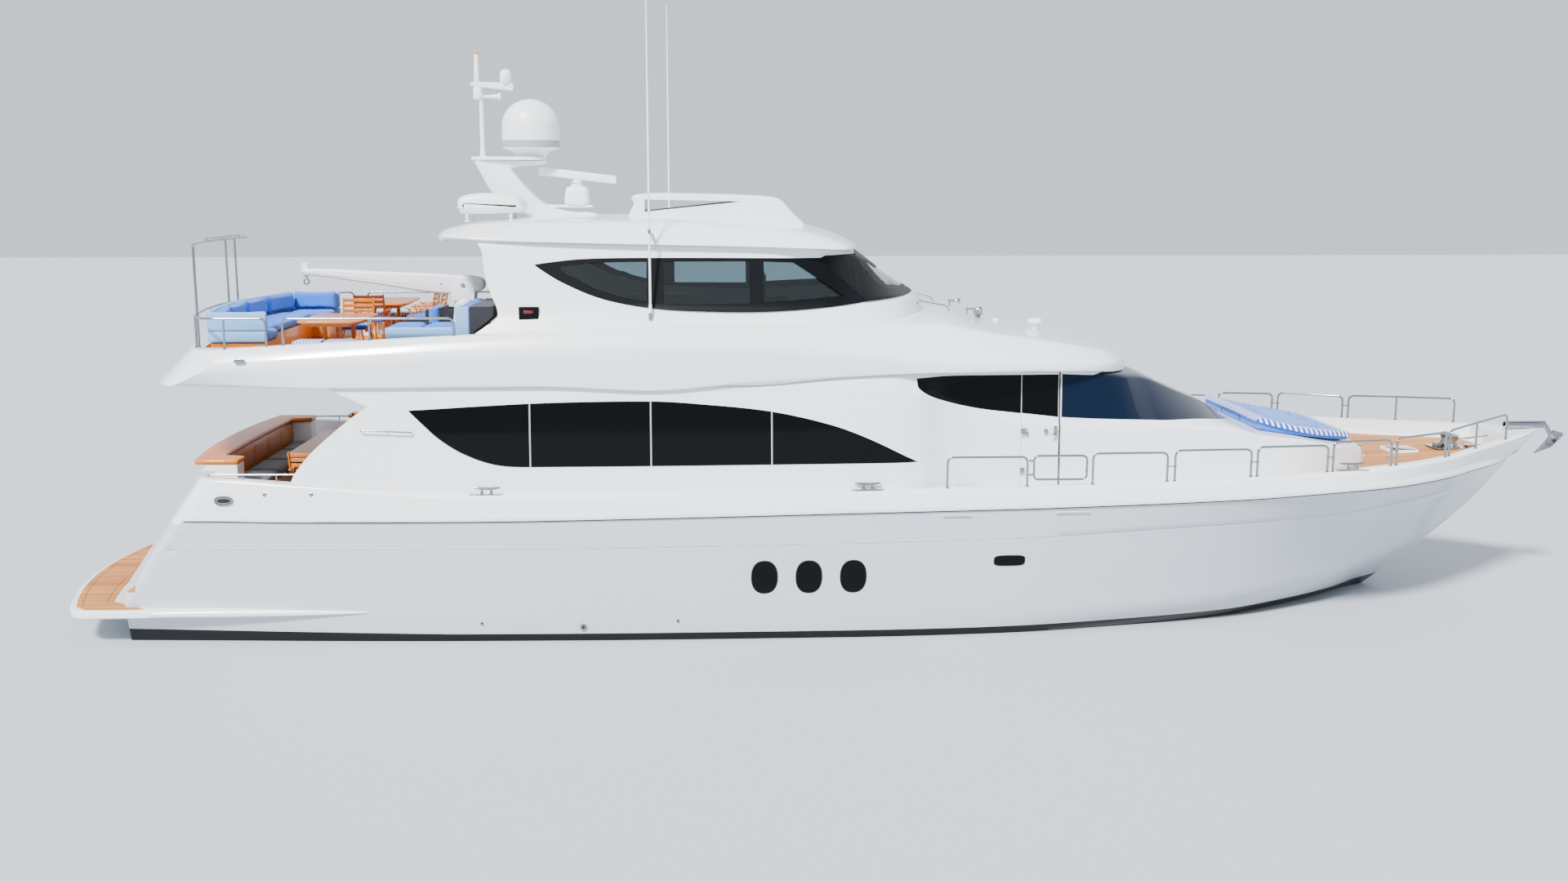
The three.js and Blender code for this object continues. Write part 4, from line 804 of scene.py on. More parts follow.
def makeHullLines():
    # a black strip as painted shadow under the rub rail, and the ledge that runs the platform's rim into the topsides
    x = np.linspace(-9.99, 11.9, 260)
    y, z = railFootAt(x)
    # painted shadow: a thin black strip under the rail's lip
    strip = ringsOf((x, y - 0.004, z - 0.016), (x, y + 0.004, z - 0.016), (x, y + 0.006, z + 0.001),
        (x, y - 0.004, z + 0.001))
    joint = makeJoined("joint", onBothSides([loftPart(strip)]), blackRubberAndShade)
    keepInside(joint, makeBox(-11.4, 11.9, -3.3, 3.3, 1.5, 2.6))
    settle(joint, "rub_rail_shadow_strip", angle=30)
    x = np.linspace(-10.9, -7.3, 60)
    s = (x + 10.9) / 3.6
    turn = np.linspace(-np.pi / 2, np.pi / 2, 13)
    foot = topsideY(x, np.full_like(x, 0.485))
    out = ((2.952 - foot) * np.sqrt(np.clip(1 - s ** 4, 0, 1)))[:, None] * np.cos(turn) ** 0.4
    height = 0.485 + 0.066 * (1 - 0.9 * s[:, None] ** 3) * np.sin(turn)
    rings = np.stack([x[:, None] + 0 * turn, foot[:, None] + out, height], 2)
    back = rowsOf(x, foot - 0.05, 0.485)[:, None]
    ledges = makeJoined("platform_ledges", onBothSides([loftPart(np.concatenate([rings, back], 1))]), gelcoat)
    settle(ledges, "platform_ledges", angle=50)


makeHullLines()
print("hull", len(hull.data.polygons))

# ---- swim platform


def makePlatform():
    t = np.linspace(2.7, -2.7, 41)
    aft = rowsOf(-12.41 + 0.07 * t ** 2, t)
    side = np.array([(-10.6, 2.95), (-11.62, 2.95), (-11.78, 2.88)])
    outline = np.concatenate([side, aft, side[::-1] * [1, -1]])
    inset = outline + rowsOf(0.035, -0.035 * np.sign(outline[:, 1]))
    inner = inset + rowsOf(0.03, -0.03 * np.sign(outline[:, 1]))
    levels = [(0.42, inset), (0.445, outline), (0.52, outline), (0.546, inset), (0.55, inner)]
    rings = np.array([atLevel(plan, z) for z, plan in levels])
    plate = makeLoft("plate", rings, gelcoat)
    cutAway(plate, copyOf(hull, "hullCopy"))
    return settle(plate, "platform_shell", ["swim_platform"], angle=50, material=gelcoat)


makePlatform()
print("platform")

# ---- deckhouse

houseStations = [  # x, base y, shoulder y z, glass foot y z, glass head y z, crown z
    (-8350, 3040, 2905, 3800, 2898, 3860, 2890, 3949, 3949),
    (-5800, 3040, 2905, 3800, 2898, 3860, 2890, 3949, 3949),
    (-3000, 3040, 2905, 3800, 2898, 3860, 2890, 3949, 3949),
    (-1500, 3040, 2905, 3800, 2898, 3860, 2890, 3949, 3949),
    (0, 3040, 2905, 3830, 2898, 3900, 2880, 4069, 4069),
    (700, 3020, 2890, 3840, 2880, 3915, 2850, 4100, 4100),
    (1100, 2930, 2830, 3810, 2790, 3880, 2720, 4116, 4116),
    (1600, 2680, 2610, 3640, 2560, 3700, 2430, 4122, 4122),
    (2500, 2500, 2460, 3345, 2410, 3430, 2370, 4117, 4117),
    (3400, 2440, 2400, 3215, 2360, 3330, 2320, 4091, 4091),
    (3900, 2410, 2375, 3195, 2340, 3300, 2200, 4059, 4059),
    (4400, 2385, 2350, 3180, 2320, 3280, 1850, 3985, 4000),
    (4900, 2355, 2315, 3170, 2285, 3260, 1300, 3880, 3915),
    (5600, 2300, 2240, 3165, 1980, 3235, 1100, 3590, 3625),
    (6200, 2200, 2150, 3130, 1500, 3160, 850, 3325, 3345),
    (6700, 2110, 2050, 2990, 500, 3012, 250, 3014, 3016),
    (7500, 1920, 1850, 2870, 900, 2884, 450, 2884, 2884),
    (8000, 1680, 1600, 2760, 800, 2800, 400, 2802, 2804),
    (8500, 1280, 1180, 2650, 600, 2718, 300, 2720, 2722),
    (8850, 850, 740, 2560, 400, 2610, 200, 2620, 2625),
    (9050, 420, 320, 2440, 200, 2450, 100, 2455, 2460),
]
salonOutline = [(1090, 2760), (360, 3120), (-250, 3350), (-1170, 3560), (-2290, 3680), (-2970, 3720), (-4660, 3700),
                (-6600, 3600), (-6380, 3380), (-6140, 3160), (-5790, 2940), (-5330, 2775), (-4820, 2735)]
pilotOutline = [(3372, 4028), (2700, 4028), (1060, 4030), (1100, 3870), (1430, 3690), (2060, 3520), (2700, 3430),
                (3372, 3355)]
wingEdge = [(-8500, 2300), (-8352, 2300), (-8350, 2530), (-8300, 2660), (-8070, 2950), (-7740, 3250), (-7340, 3570),
            (-7190, 3660), (-7780, 3925), (-7800, 4100), (-8500, 4100)]


def inMetres(points):
    return np.asarray(points, float) / 1000


def smoothOutline(points, sharp=(), steps=6):
    # closed Catmull-Rom curve through the points; the listed corners stay sharp
    p = np.asarray(points, float) / 1000
    n = len(p)
    out = []
    t = np.linspace(0, 1, steps, endpoint=False)[:, None]
    for i in range(n):
        a, b, c, d = p[i - 1], p[i], p[(i + 1) % n], p[(i + 2) % n]
        startSlope = (c - b) if i in sharp else (c - a) / 2
        endSlope = (c - b) if (i + 1) % n in sharp else (d - b) / 2
        length = np.linalg.norm(c - b)
        startSlope = startSlope / max(np.linalg.norm(startSlope), 1e-9) * length
        endSlope = endSlope / max(np.linalg.norm(endSlope), 1e-9) * length
        out.append((1 + 2 * t) * (1 - t) ** 2 * b + t * (1 - t) ** 2 * startSlope
                   + t ** 2 * (3 - 2 * t) * c + t ** 2 * (t - 1) * endSlope)
    return np.concatenate(out)


def grown(outline, margin):
    # a closed outline with every point moved outwards by margin along the mean normal of its edges
    into = outline - np.roll(outline, 1, 0)
    out = np.roll(outline, -1, 0) - outline
    area = np.sum(outline[:, 0] * np.roll(outline[:, 1], -1) - np.roll(outline[:, 0], -1) * outline[:, 1])
    normals = [rowsOf(v[:, 1], -v[:, 0]) / np.maximum(np.linalg.norm(v, axis=1, keepdims=True), 1e-9)
               for v in (into, out)]
    middle = normals[0] + normals[1]
    middle /= np.maximum(np.linalg.norm(middle, axis=1, keepdims=True), 1e-9)
    return outline + np.sign(area) * margin * middle


def houseRings(x, inset, floor=None):
    baseY, shY, shZ, footY, footZ, headY, headZ, crownZ = columnsAt(houseStations, x).T
    sheerY, sheerZ, deckZ = sheerAt(x)
    onCap = baseY > sheerY - hullShape["capWidth"]
    baseZ = np.where(onCap, sheerZ, deckZ) - 0.01 if floor is None else np.full_like(x, floor)
    zero = np.zeros_like(x)
    corners = ringsOf((zero, baseZ), (baseY - inset, baseZ), (shY - inset, shZ), (footY - inset, footZ - inset / 2),
        (headY - inset, headZ - inset), (zero, crownZ - inset))
    return wholeRings(x, softened(corners, [0, 0, 0.05, 0.04, 0.09, 0], 5))


def houseBody(inset, floor=None, start=-8.35, end=9.05):
    x = np.linspace(start, end, int((end - start) / 0.09))
    return makeLoft("houseBody", houseRings(x, inset, floor), gelcoat)


def foreGlassZone(margin):
    # the wrapped glass forward of the doors and above the sill
    x = np.array([3.386 + margin, 3.9, 4.4, 4.9, 5.2])
    c = columnsAt(houseStations, x)
    low = c[:, 4] + 0.025 + margin
    high = c[:, 6] + np.where(x < 4, -0.06, 0.12) - margin
    wide = 3.0
    sides = makeLoft("zone", ringsOf((x, wide, low), (x, wide, high), (x, -wide, high), (x, -wide, low)), gelcoat)
    x = np.linspace(4.9, 6.7, 24)
    y = columnsAt(houseStations, x)[:, 3] - 0.04 - margin
    x = x + np.linspace(margin, -margin, 24)
    plan = np.concatenate([rowsOf(x, y), rowsOf(x, -y)[::-1]])
    return addTo(sides, makePrism(plan, 2.9, 4.3 - margin, "xy"))


salonGlassEdge = smoothOutline(salonOutline, sharp=(0, 7))
pilotGlassEdge = smoothOutline(pilotOutline, sharp=(0, 1, 2, 6, 7))
doorway = {"x0": 2.74, "x1": 3.372, "foot": 2.21, "head": 4.06}


def makeHouse():
    body = houseBody(0)
    cutAway(body, houseBody(0.075, 1.5, -8.6, -6.65), houseBody(0.075, 1.5, -6.575, 6.48))
    for outline in (salonGlassEdge, pilotGlassEdge):
        cutAway(body, *bothSides(makePrism, outline, 1.9, 3.3))
    x0, x1, foot, head = doorway.values()
    cutAway(body, *[makeBox(x0, x1, *sorted((side * 1.9, side * 3.0)), foot, head) for side in (1, -1)])
    cutAway(body, foreGlassZone(0))
    cutAway(body, makePrism(smoothOutline(wingEdge, sharp=(0, 1, 7, 8, 9, 10)), -3.4, 3.4))
    cutAway(body, makeBox(-6.7, -6.5, -0.7, 0.5, 1.96, 3.8))
    addTo(body, makeBox(-6.71, -6.645, -0.76, 1.9, 3.84, 3.88))
    return settle(body, "deckhouse_shell", ["main_deck_house"], angle=28, material=gelcoat)


house = makeHouse()
print("deckhouse", len(house.data.polygons))


def makeGlass(name, body, cutter, replaced, material):
    return settle(keepInside(body, cutter), name, replaced, angle=40, material=material)


def houseSheet():
    return cutAway(houseBody(0.012, 1.8), houseBody(0.037, 1.6, -8.4, 9.1))


houseGlassSheet = houseSheet()
for sideName, side in sideSigns:
    for label, outline in (("salon", salonGlassEdge), ("pilothouse", pilotGlassEdge)):
        if label == "pilothouse":
            outline = outline.copy()
            outline[:, 0] = np.minimum(outline[:, 0], 2.737)
        y0, y1 = sorted((side * 1.9, side * 3.3))
        makeGlass(f"{label}_pane_{sideName}", copyOf(houseGlassSheet, "sheet"),
            makePrism(grown(outline, -0.001), y0, y1), [f"{label}_glass_{sideName}"], darkGlass)
makeGlass("windscreen_pane", copyOf(houseGlassSheet, "sheet"), foreGlassZone(0.001),
          ["pilothouse_windscreen"], skyTintedScreenGlass)
bpy.data.objects.remove(houseGlassSheet)
print("deckhouse glass")

# ---- upper deck

upperStations = [  # x, soffit y z, edge y z, crease y z, shoulder y z, crown z
    (-11000, 2550, 3950, 2640, 3995, 2830, 4180, 2700, 4440, 4440),
    (-9900, 2700, 3950, 2790, 3990, 2940, 4230, 2790, 4490, 4490),
    (-7770, 2905, 3950, 2955, 3930, 3030, 4350, 2880, 4615, 4615),
    (-4660, 2905, 3950, 2965, 3945, 3040, 4480, 2900, 4770, 4770),
    (-2940, 2905, 3950, 2965, 3862, 3040, 4540, 2890, 4830, 4830),
    (-1500, 2905, 3950, 2960, 3995, 3035, 4530, 2860, 4850, 4850),
    (0, 2900, 4070, 2930, 4075, 2990, 4430, 2700, 4850, 4850),
    (1360, 2860, 4118, 2890, 4122, 2900, 4320, 2300, 4800, 5080),
    (2500, 2700, 4118, 2740, 4121, 2740, 4260, 2050, 4620, 4690),
    (3400, 2490, 4092, 2530, 4095, 2530, 4235, 1840, 4480, 4530),
    (3900, 2260, 4060, 2300, 4063, 2300, 4200, 1650, 4380, 4430),
    (4300, 1850, 4006, 1890, 4010, 1890, 4150, 1330, 4290, 4345),
    (4600, 1250, 3970, 1290, 3976, 1290, 4100, 880, 4200, 4250),
    (4780, 700, 3958, 740, 3966, 735, 4065, 480, 4130, 4160),
    (4860, 300, 3975, 330, 3985, 325, 4045, 200, 4080, 4095),
]
flyDeck = {"floor": 4.17, "fascia": 0.15, "aftRake": 0.95}


def upperRings(x):
    soY, soZ, edY, edZ, crY, crZ, shY, shZ, topZ = columnsAt(upperStations, x).T
    zero = np.zeros_like(x)
    corners = ringsOf((zero, soZ), (soY, soZ), (edY, edZ), (crY, crZ), (shY, shZ), (zero, topZ))
    return wholeRings(x, softened(corners, [0, 0.015, 0.05, 0.1, 0.12, 0], 7))


aftEdge = [(0, -10800), (600, -10772), (1200, -10689), (1800, -10551), (2300, -10393), (2420, -10330), (2580, -10220),
           (2800, -10000), (3030, -9600), (3300, -9000), (3500, -8600)]   # y, x of the overhang's end


def upperAftBody():
    # plan outlines sheared aft with height: a bowed end, rounded corners, the sides left free
    rings = []
    for z in (3.6, 4.0, 4.4, 4.9):
        shift = flyDeck["aftRake"] * (z - 4.0)
        y = np.concatenate([np.linspace(0, 2.1, 10), np.linspace(2.15, 3.5, 34)])
        half = np.concatenate([rowsOf(columnsAt(aftEdge, y)[:, 0], y), [(6.0, 3.5)]]) + [shift, 0]
        plan = np.concatenate([half[::-1], half[1:] * [1, -1]])
        rings.append(atLevel(plan, z))
    return makeLoft("upperAftBody", np.array(rings), gelcoat)


def flyWell():
    aft = bowedLine(2.35, 0.33, -9.72)
    x = np.linspace(-9.0, -5.56, 12)
    side = rowsOf(x, columnsAt(upperStations, x)[:, 6] - flyDeck["fascia"])
    plan = np.concatenate([side[::-1], aft, side * [1, -1]])
    return makePrism(plan, flyDeck["floor"], 5.3, "xy")


def loungeFloor():
    x = np.linspace(-5.6, 0.8, 20)
    y = columnsAt(loungeStations, x)[:, 0] - 0.33
    plan = np.concatenate([rowsOf(x, y), rowsOf(x, -y)[::-1]])
    return makePrism(plan, flyDeck["floor"], 5.3, "xy")


loungeStations = [  # x, base y, foot y z, head y z, crown z
    (-5640, 2830, 2560, 5000, 2360, 6100, 6100),
    (-4600, 2840, 2560, 5050, 2360, 6080, 6080),
    (-3000, 2830, 2550, 5080, 2350, 6050, 6050),
    (-1200, 2790, 2500, 5050, 2300, 6020, 6020),
    (-300, 2690, 2400, 5090, 2080, 5990, 5990),
    (150, 2560, 2260, 5150, 1500, 5880, 5930),
    (800, 2200, 1850, 5200, 900, 5450, 5510),
    (1290, 1500, 900, 5090, 400, 5160, 5180),
    (1400, 900, 500, 5040, 200, 5080, 5090),
]


def makeUpperDeck():
    x = np.unique(np.concatenate([np.linspace(-11.0, 4.86, 150), np.linspace(4.2, 4.86, 24)]))
    body = makeLoft("upperDeck", upperRings(x), gelcoat)
    keepInside(body, upperAftBody())
    cutAway(body, flyWell(), loungeFloor())
    return settle(body, "upper_deck_shell", ["upper_deck"], angle=32, material=gelcoat)


upperDeck = makeUpperDeck()
print("upper deck", len(upperDeck.data.polygons))

# ---- skylounge

loungeSide = [(-400, 5815), (-2900, 5830), (-4000, 5815), (-4710, 5740), (-4300, 5490), (-3690, 5240), (-2950, 5100),
              (-2150, 5050), (-1210, 5040), (-340, 5090), (330, 5165)]
loungeAft = [(-6000, 6300), (-5600, 6300), (-5560, 6050), (-5510, 5950), (-5460, 5600), (-5380, 5330), (-5270, 4980),
             (-5450, 4830), (-5640, 4700), (-5640, 4400), (-6000, 4400)]


def loungeRings(x, inset, floor):
    baseY, footY, footZ, headY, headZ, crownZ = columnsAt(loungeStations, x + inset * np.clip(x + 1, 0, 1)).T
    zero = np.zeros_like(x)
    base = np.full_like(x, floor)
    corners = ringsOf((zero, base), (baseY - inset, base), (footY - inset, footZ - inset / 3),
        (headY - inset, headZ - inset), (zero, crownZ - inset))
    return wholeRings(x, softened(corners, [0, 0, 0.1, 0.1, 0], 7))


def loungeBody(inset, floor=4.5, start=-5.64, end=1.4):
    x = np.linspace(start, end, 90)
    return makeLoft("loungeBody", loungeRings(x, inset, floor), gelcoat)


def loungeFrontZone(margin):
    half = np.array([(1.24, 0), (1.18, 0.45), (1.0, 1.05), (0.76, 1.56), (0.56, 1.64), (0.15, 1.46)])
    plan = np.concatenate([half[:0:-1] * [1, -1], half])
    return makePrism(grown(plan, -margin), 5.215 + margin, 5.85 - margin, "xy")


loungeSideEdge = smoothOutline(loungeSide, sharp=(0, 3, 10))


def makeSkylounge():
    body = loungeBody(0)
    cutAway(body, cutAway(loungeBody(0.075, 4.0), makeBox(-6, -5.3, -3, 3, 3.9, 6.4)))
    cutAway(body, cutAway(loungeBody(0.075, 4.0), makeBox(-5.4, 2, -3, 3, 3.9, 6.4)))
    cutAway(body, makeBox(-5.7, -5.2, -0.6, 0.6, 4.18, 5.95))
    cutAway(body, *bothSides(makePrism, loungeSideEdge, 1.7, 3.0), loungeFrontZone(0))
    cutAway(body, makePrism(smoothOutline(loungeAft, sharp=(0, 1, 8, 9, 10)), -3.2, 3.2))
    return settle(body, "skylounge_shell", ["skylounge"], angle=28, material=gelcoat)


skylounge = makeSkylounge()
loungeSheet = cutAway(loungeBody(0.012, 4.9), loungeBody(0.032, 4.8, -5.7, 1.45))
for sideName, side in sideSigns:
    y0, y1 = sorted((side * 1.7, side * 3.0))
    makeGlass(f"skylounge_pane_{sideName}", copyOf(loungeSheet, "sheet"),
        makePrism(grown(loungeSideEdge, -0.001), y0, y1), [f"skylounge_glass_{sideName}"], clearGlass)
makeGlass("skylounge_front_pane", copyOf(loungeSheet, "sheet"), loungeFrontZone(0.001),
          ["skylounge_windscreen"], clearGlass)
bpy.data.objects.remove(loungeSheet)
print("skylounge", len(skylounge.data.polygons))

# ---- hardtop

hardtopStations = [  # x, edge y z, shoulder y z, crown z, underside z
    (-6500, 250, 6118, 150, 6136, 6142, 6085),
    (-6420, 900, 6128, 700, 6172, 6190, 6085),
    (-6300, 1600, 6145, 1250, 6215, 6235, 6085),
    (-6190, 2050, 6160, 1650, 6250, 6272, 6085),
    (-6100, 2220, 6170, 1800, 6275, 6300, 6085),
    (-5560, 2420, 6130, 2050, 6340, 6400, 6082),
    (-4400, 2480, 6080, 2100, 6390, 6450, 6062),
    (-2900, 2490, 6040, 2100, 6390, 6450, 6032),
    (-1200, 2450, 5990, 2050, 6300, 6380, 6012),
    (-550, 2430, 5970, 1950, 6210, 6290, 5992),
    (0, 2200, 5960, 1700, 6060, 6130, 5925),
    (200, 1500, 5955, 1150, 6000, 6035, 5922),
    (300, 800, 5950, 600, 5965, 5980, 5920),
]


def makeHardtop():
    x = np.unique(np.concatenate([np.linspace(-6.5, 0.3, 90), np.linspace(-6.5, -5.9, 24), np.linspace(-0.1, 0.3, 16)]))
    edY, edZ, shY, shZ, topZ, lowZ = columnsAt(hardtopStations, x).T
    zero = np.zeros_like(x)
    corners = ringsOf((zero, lowZ), (edY - 0.09, lowZ), (edY, edZ), (shY, shZ), (zero, topZ))
    body = makeLoft("hardtop", wholeRings(x, softened(corners, [0, 0.03, 0.09, 0.35, 0], 8)), gelcoat)
    return settle(body, "hardtop_shell", ["hardtop"], angle=32, material=gelcoat)


hardtop = makeHardtop()
print("hardtop")

# the raised hatch: a crowned plate over side skins that rise forward, open below the plate aft
hatch = {"half": 1.0, "edge": 0.05, "wall": 0.06}
hatchSide = [(-3390, 6150), (-3390, 6380), (-3345, 6520), (-3290, 6640), (-3330, 6720), (-3220, 6785), (-2400, 6790),
             (-1500, 6765), (-1080, 6735), (-940, 6690), (-760, 6500), (-560, 6310), (-560, 6150)]
hatchUnder = [(-3140, 6050), (-3140, 6725), (-1500, 6700), (-1110, 6670), (-980, 6620), (-700, 6330), (-700, 6050)]
hatchSlot = [(-3120, 6505), (-3120, 6700), (-1550, 6668)]


def makeHatch():
    outline = smoothOutline(hatchSide, sharp=(0, 11, 12), steps=4)
    body = makeJoined("hatch", [slabPart(outline, -hatch["half"], hatch["half"], hatch["edge"], "y", 5)], gelcoat)
    inside = hatch["half"] - hatch["wall"]
    under = inMetres(hatchUnder)
    cutAway(body, makePrism(under, -inside, inside))
    cutAway(body, makePrism(inMetres(hatchSlot), -1.1, 1.1))
    cutAway(body, copyOf(hardtop, "hardtopCopy"))
    return settle(body, "roof_hatch", ["roof_coaming"], angle=30, material=gelcoat)


makeHatch()


def makeParts(name, parts, material, replaced=(), body="yacht", angle=35.0):
    piece = makeJoined(name, parts, material, angle)
    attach(piece, body)
    if replaced:
        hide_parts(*replaced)
    return piece


def makePadded(name, parts, material, angle=35.0):
    # a cushion modelled as it is
    makeParts(name, parts, material, angle=angle)


# ---- mast, dome, radar and raft pod

mastLeg = [(-5300, 6200), (-5290, 6470), (-5420, 6600), (-5660, 6820), (-5790, 7050), (-5925, 7310), (-5940, 7352),
           (-5400, 7352), (-4800, 7346), (-4772, 7322), (-4810, 7265), (-5180, 7235), (-5330, 7200), (-5260, 7090),
           (-5030, 6820), (-4800, 6620), (-4420, 6500), (-3900, 6440), (-3800, 6200)]
mastPlate = [(-5960, 250), (-5500, 300), (-5000, 340), (-4850, 290), (-4790, 160), (-4790, -160), (-4850, -290),
             (-5000, -340), (-5500, -300), (-5960, -250)]


def makeMast():
    leg = makeJoined("leg", [slabPart(smoothOutline(mastLeg, sharp=(0, 6, 12, 18), steps=4), -0.24, 0.24, 0.03, "y",
        5)], gelcoat)
    cutAway(leg, copyOf(hardtop, "hardtopCopy"))
    settle(leg, "mast_leg", ["mast"], angle=40, material=gelcoat)
    plate = slabPart(smoothOutline(mastPlate, sharp=(0, 9), steps=4), 7.325, 7.38, 0.012)
    pole = [turnedPart([(0.075, 7.36), (0.075, 7.385), (0.045, 7.4), (0.036, 7.6), (0.033, 8.4)], (-5.81, 0, 0),
        sides=24), lathePart([(0, 8.4), (0.047, 8.5), (0.044, 8.7), (0.034, 9.0), (0.03, 9.02), (0, 9.02)],
        (-5.87, 0, 0), sides=24)]
    arm = [(-5970, 8520), (-5970, 8568), (-5900, 8580), (-5290, 8558), (-5275, 8500), (-5290, 8440), (-5700, 8490)]
    arm = slabPart(smoothOutline(arm, sharp=(0, 1, 5), steps=4), -0.045, 0.045, 0.012, "y")
    lamps = [blockPart(-5.93, -5.79, -0.07, 0.07, 8.3, 8.5, 0.04, 0.03), turnedPart([(0.022, 0), (0.026, 0.12),
        (0.045, 0.26), (0.066, 0.3), (0.066, 0.305)], (-5.8, 0.02, 8.35), (1, 0, 0), 24)]
    dome = lathePart([(0, 8.555), (0.075, 8.555), (0.09, 8.58), (0.098, 8.65), (0.095, 8.71), (0.075, 8.76),
                      (0.04, 8.785), (0, 8.79)], (-5.4, 0, 0), sides=32)
    makeParts("mast_top", [plate, *pole, arm, *lamps, dome], whitePlastic)
    light = lathePart([(0, 9.02), (0.03, 9.02), (0.032, 9.06), (0.02, 9.085), (0, 9.09)], (-5.87, 0, 0), sides=24)
    makeParts("anchor_light", [light], amberLens)
    z = 7.381
    low = [(0, 0), (0.245, 0), (0.25, 0.012), (0.262, 0.035), (0.29, 0.07), (0.335, 0.1), (0.39, 0.12), (0.44, 0.13),
           (0.462, 0.137), (0.468, 0.145)]
    t = np.linspace(0, math.pi / 2, 16)
    profile = [(r, z + h) for r, h in low] + [(0.468 * math.cos(v), z + 0.475 + 0.455 * math.sin(v)) for v in t[:-1]]
    profile.append((0, z + 0.93))
    makeParts("dome_shell", [lathePart(profile, (-5.02, 0, 0), sides=64)], whitePlastic, ["sat_dome"])
    band = [(0.467, z + 0.148), (0.4705, z + 0.152), (0.4705, z + 0.262), (0.467, z + 0.266)]
    ring = lathePart([(0, z + 0.148), *band, (0, z + 0.266)], (-5.02, 0, 0), sides=64)
    makeParts("dome_band", [ring], bandGrey)


makeMast()

radarTurn = {"axis": (-4.28, 0.0, 6.95), "tilt": 6.7}


def tilted(part):
    # turned about the athwartships line through the radar's foot by its tilt
    points, faces = part
    a = math.radians(radarTurn["tilt"])
    matrix = np.array([[math.cos(a), 0, -math.sin(a)], [0, 1, 0], [math.sin(a), 0, math.cos(a)]])
    return points @ matrix + radarTurn["axis"], faces


def makeRadar():
    bracket = slabPart(smoothOutline([(-5050, 6560), (-4060, 6560), (-4020, 6580), (-4060, 6600), (-5050, 6600)],
                                     sharp=(0, 4)), -0.13, 0.13, 0.008, "y")
    knees = [slabPart(smoothOutline([(-5060, 6400), (-4880, 6500), (-4500, 6570), (-5020, 6575)], sharp=(0, 2, 3)),
                      y - 0.012, y + 0.012, 0.004, "y") for y in (-0.1, 0.1)]
    rings = [(6.6, 0.17), (6.612, 0.19), (6.64, 0.2), (6.68, 0.202), (6.8, 0.19), (6.86, 0.178), (6.885, 0.162),
             (6.9, 0.13)]
    body = [loftPart([atLevel(plan, level) for level, plan in
                      [(z, roundedPlan(-4.28 - r, -4.28 + r, -r * 0.85, r * 0.85, r * 0.45)) for z, r in rings]]),
            turnedPart([(0.1, 6.89), (0.1, 6.945)], (-4.28, 0, 0), sides=40)]
    makeParts("radar_stand", [bracket, *knees, *body], whitePlastic, ["radar_pedestal"])
    section = smoothOutline([(-66, 72), (-40, 66), (40, 66), (66, 72), (70, 120), (66, 180), (40, 196), (-40, 196),
                             (-66, 180), (-70, 120)])
    bar = slabPart(section, -0.64, 0.64, 0.02, "x")
    neck = turnedPart([(0.074, 0.006), (0.078, 0.03), (0.06, 0.08)], (0, 0, 0), sides=32)
    makeParts("radar_scanner", [tilted(bar), tilted(neck)], whitePlastic, ["radar_array"], "radar_array")


makeRadar()

podSide = [(-6010, 6480), (-6060, 6550), (-6075, 6620), (-6060, 6700), (-5960, 6765), (-5700, 6800), (-5450, 6790),
           (-5230, 6760), (-5090, 6700), (-5035, 6610), (-5045, 6540), (-5120, 6500)]


def makePod():
    outline = smoothOutline(podSide, steps=4)
    body = slabPart(outline, -1.15, -0.42, 0.11, "y", 6)
    seam = blockPart(-6.083, -5.028, -1.156, -0.414, 6.566, 6.586, 0.1, 0.008)
    makeParts("raft_canister", [body, seam], whitePlastic, ["raft_pod"])
    feet = []
    for x in (-5.93, -5.24):
        feet.append(tubePart([(x, -1.06, 6.36), (x, -1.06, 6.49), (x, -0.5, 6.49), (x, -0.5, 6.36)], 0.022, 0.05))
        feet += [turnedPart([(0.05, 0), (0.05, 0.012)], (x, y, z), sides=20)
                 for y, z in ((-1.06, 6.352), (-0.5, 6.375))]
    makeParts("raft_cradle", feet, whitePlastic)


makePod()
print("hatch, mast, radar, pod")

# ---- frames and mullions of the windows


def makeBand(name, body, outer, inner, side, material):
    # what lies between two outlines on a skin of the cabin, on one side
    y0, y1 = sorted((side * 1.5, side * 3.3))
    keepInside(body, makePrism(outer, y0, y1))
    if inner is not None:
        cutAway(body, *[makePrism(outline, y0, y1) for outline in inner])
    return settle(body, name, angle=40, material=material)


skyPanes = [
    [(-4330, 5690), (-4180, 5735), (-3700, 5772), (-3030, 5782), (-3030, 5196), (-3330, 5240), (-3760, 5370),
     (-4080, 5530)],
    [(-2770, 5785), (-1465, 5785), (-1465, 5150), (-2770, 5155)],
    [(-1255, 5778), (-800, 5762), (-20, 5250), (-1255, 5165)],
]


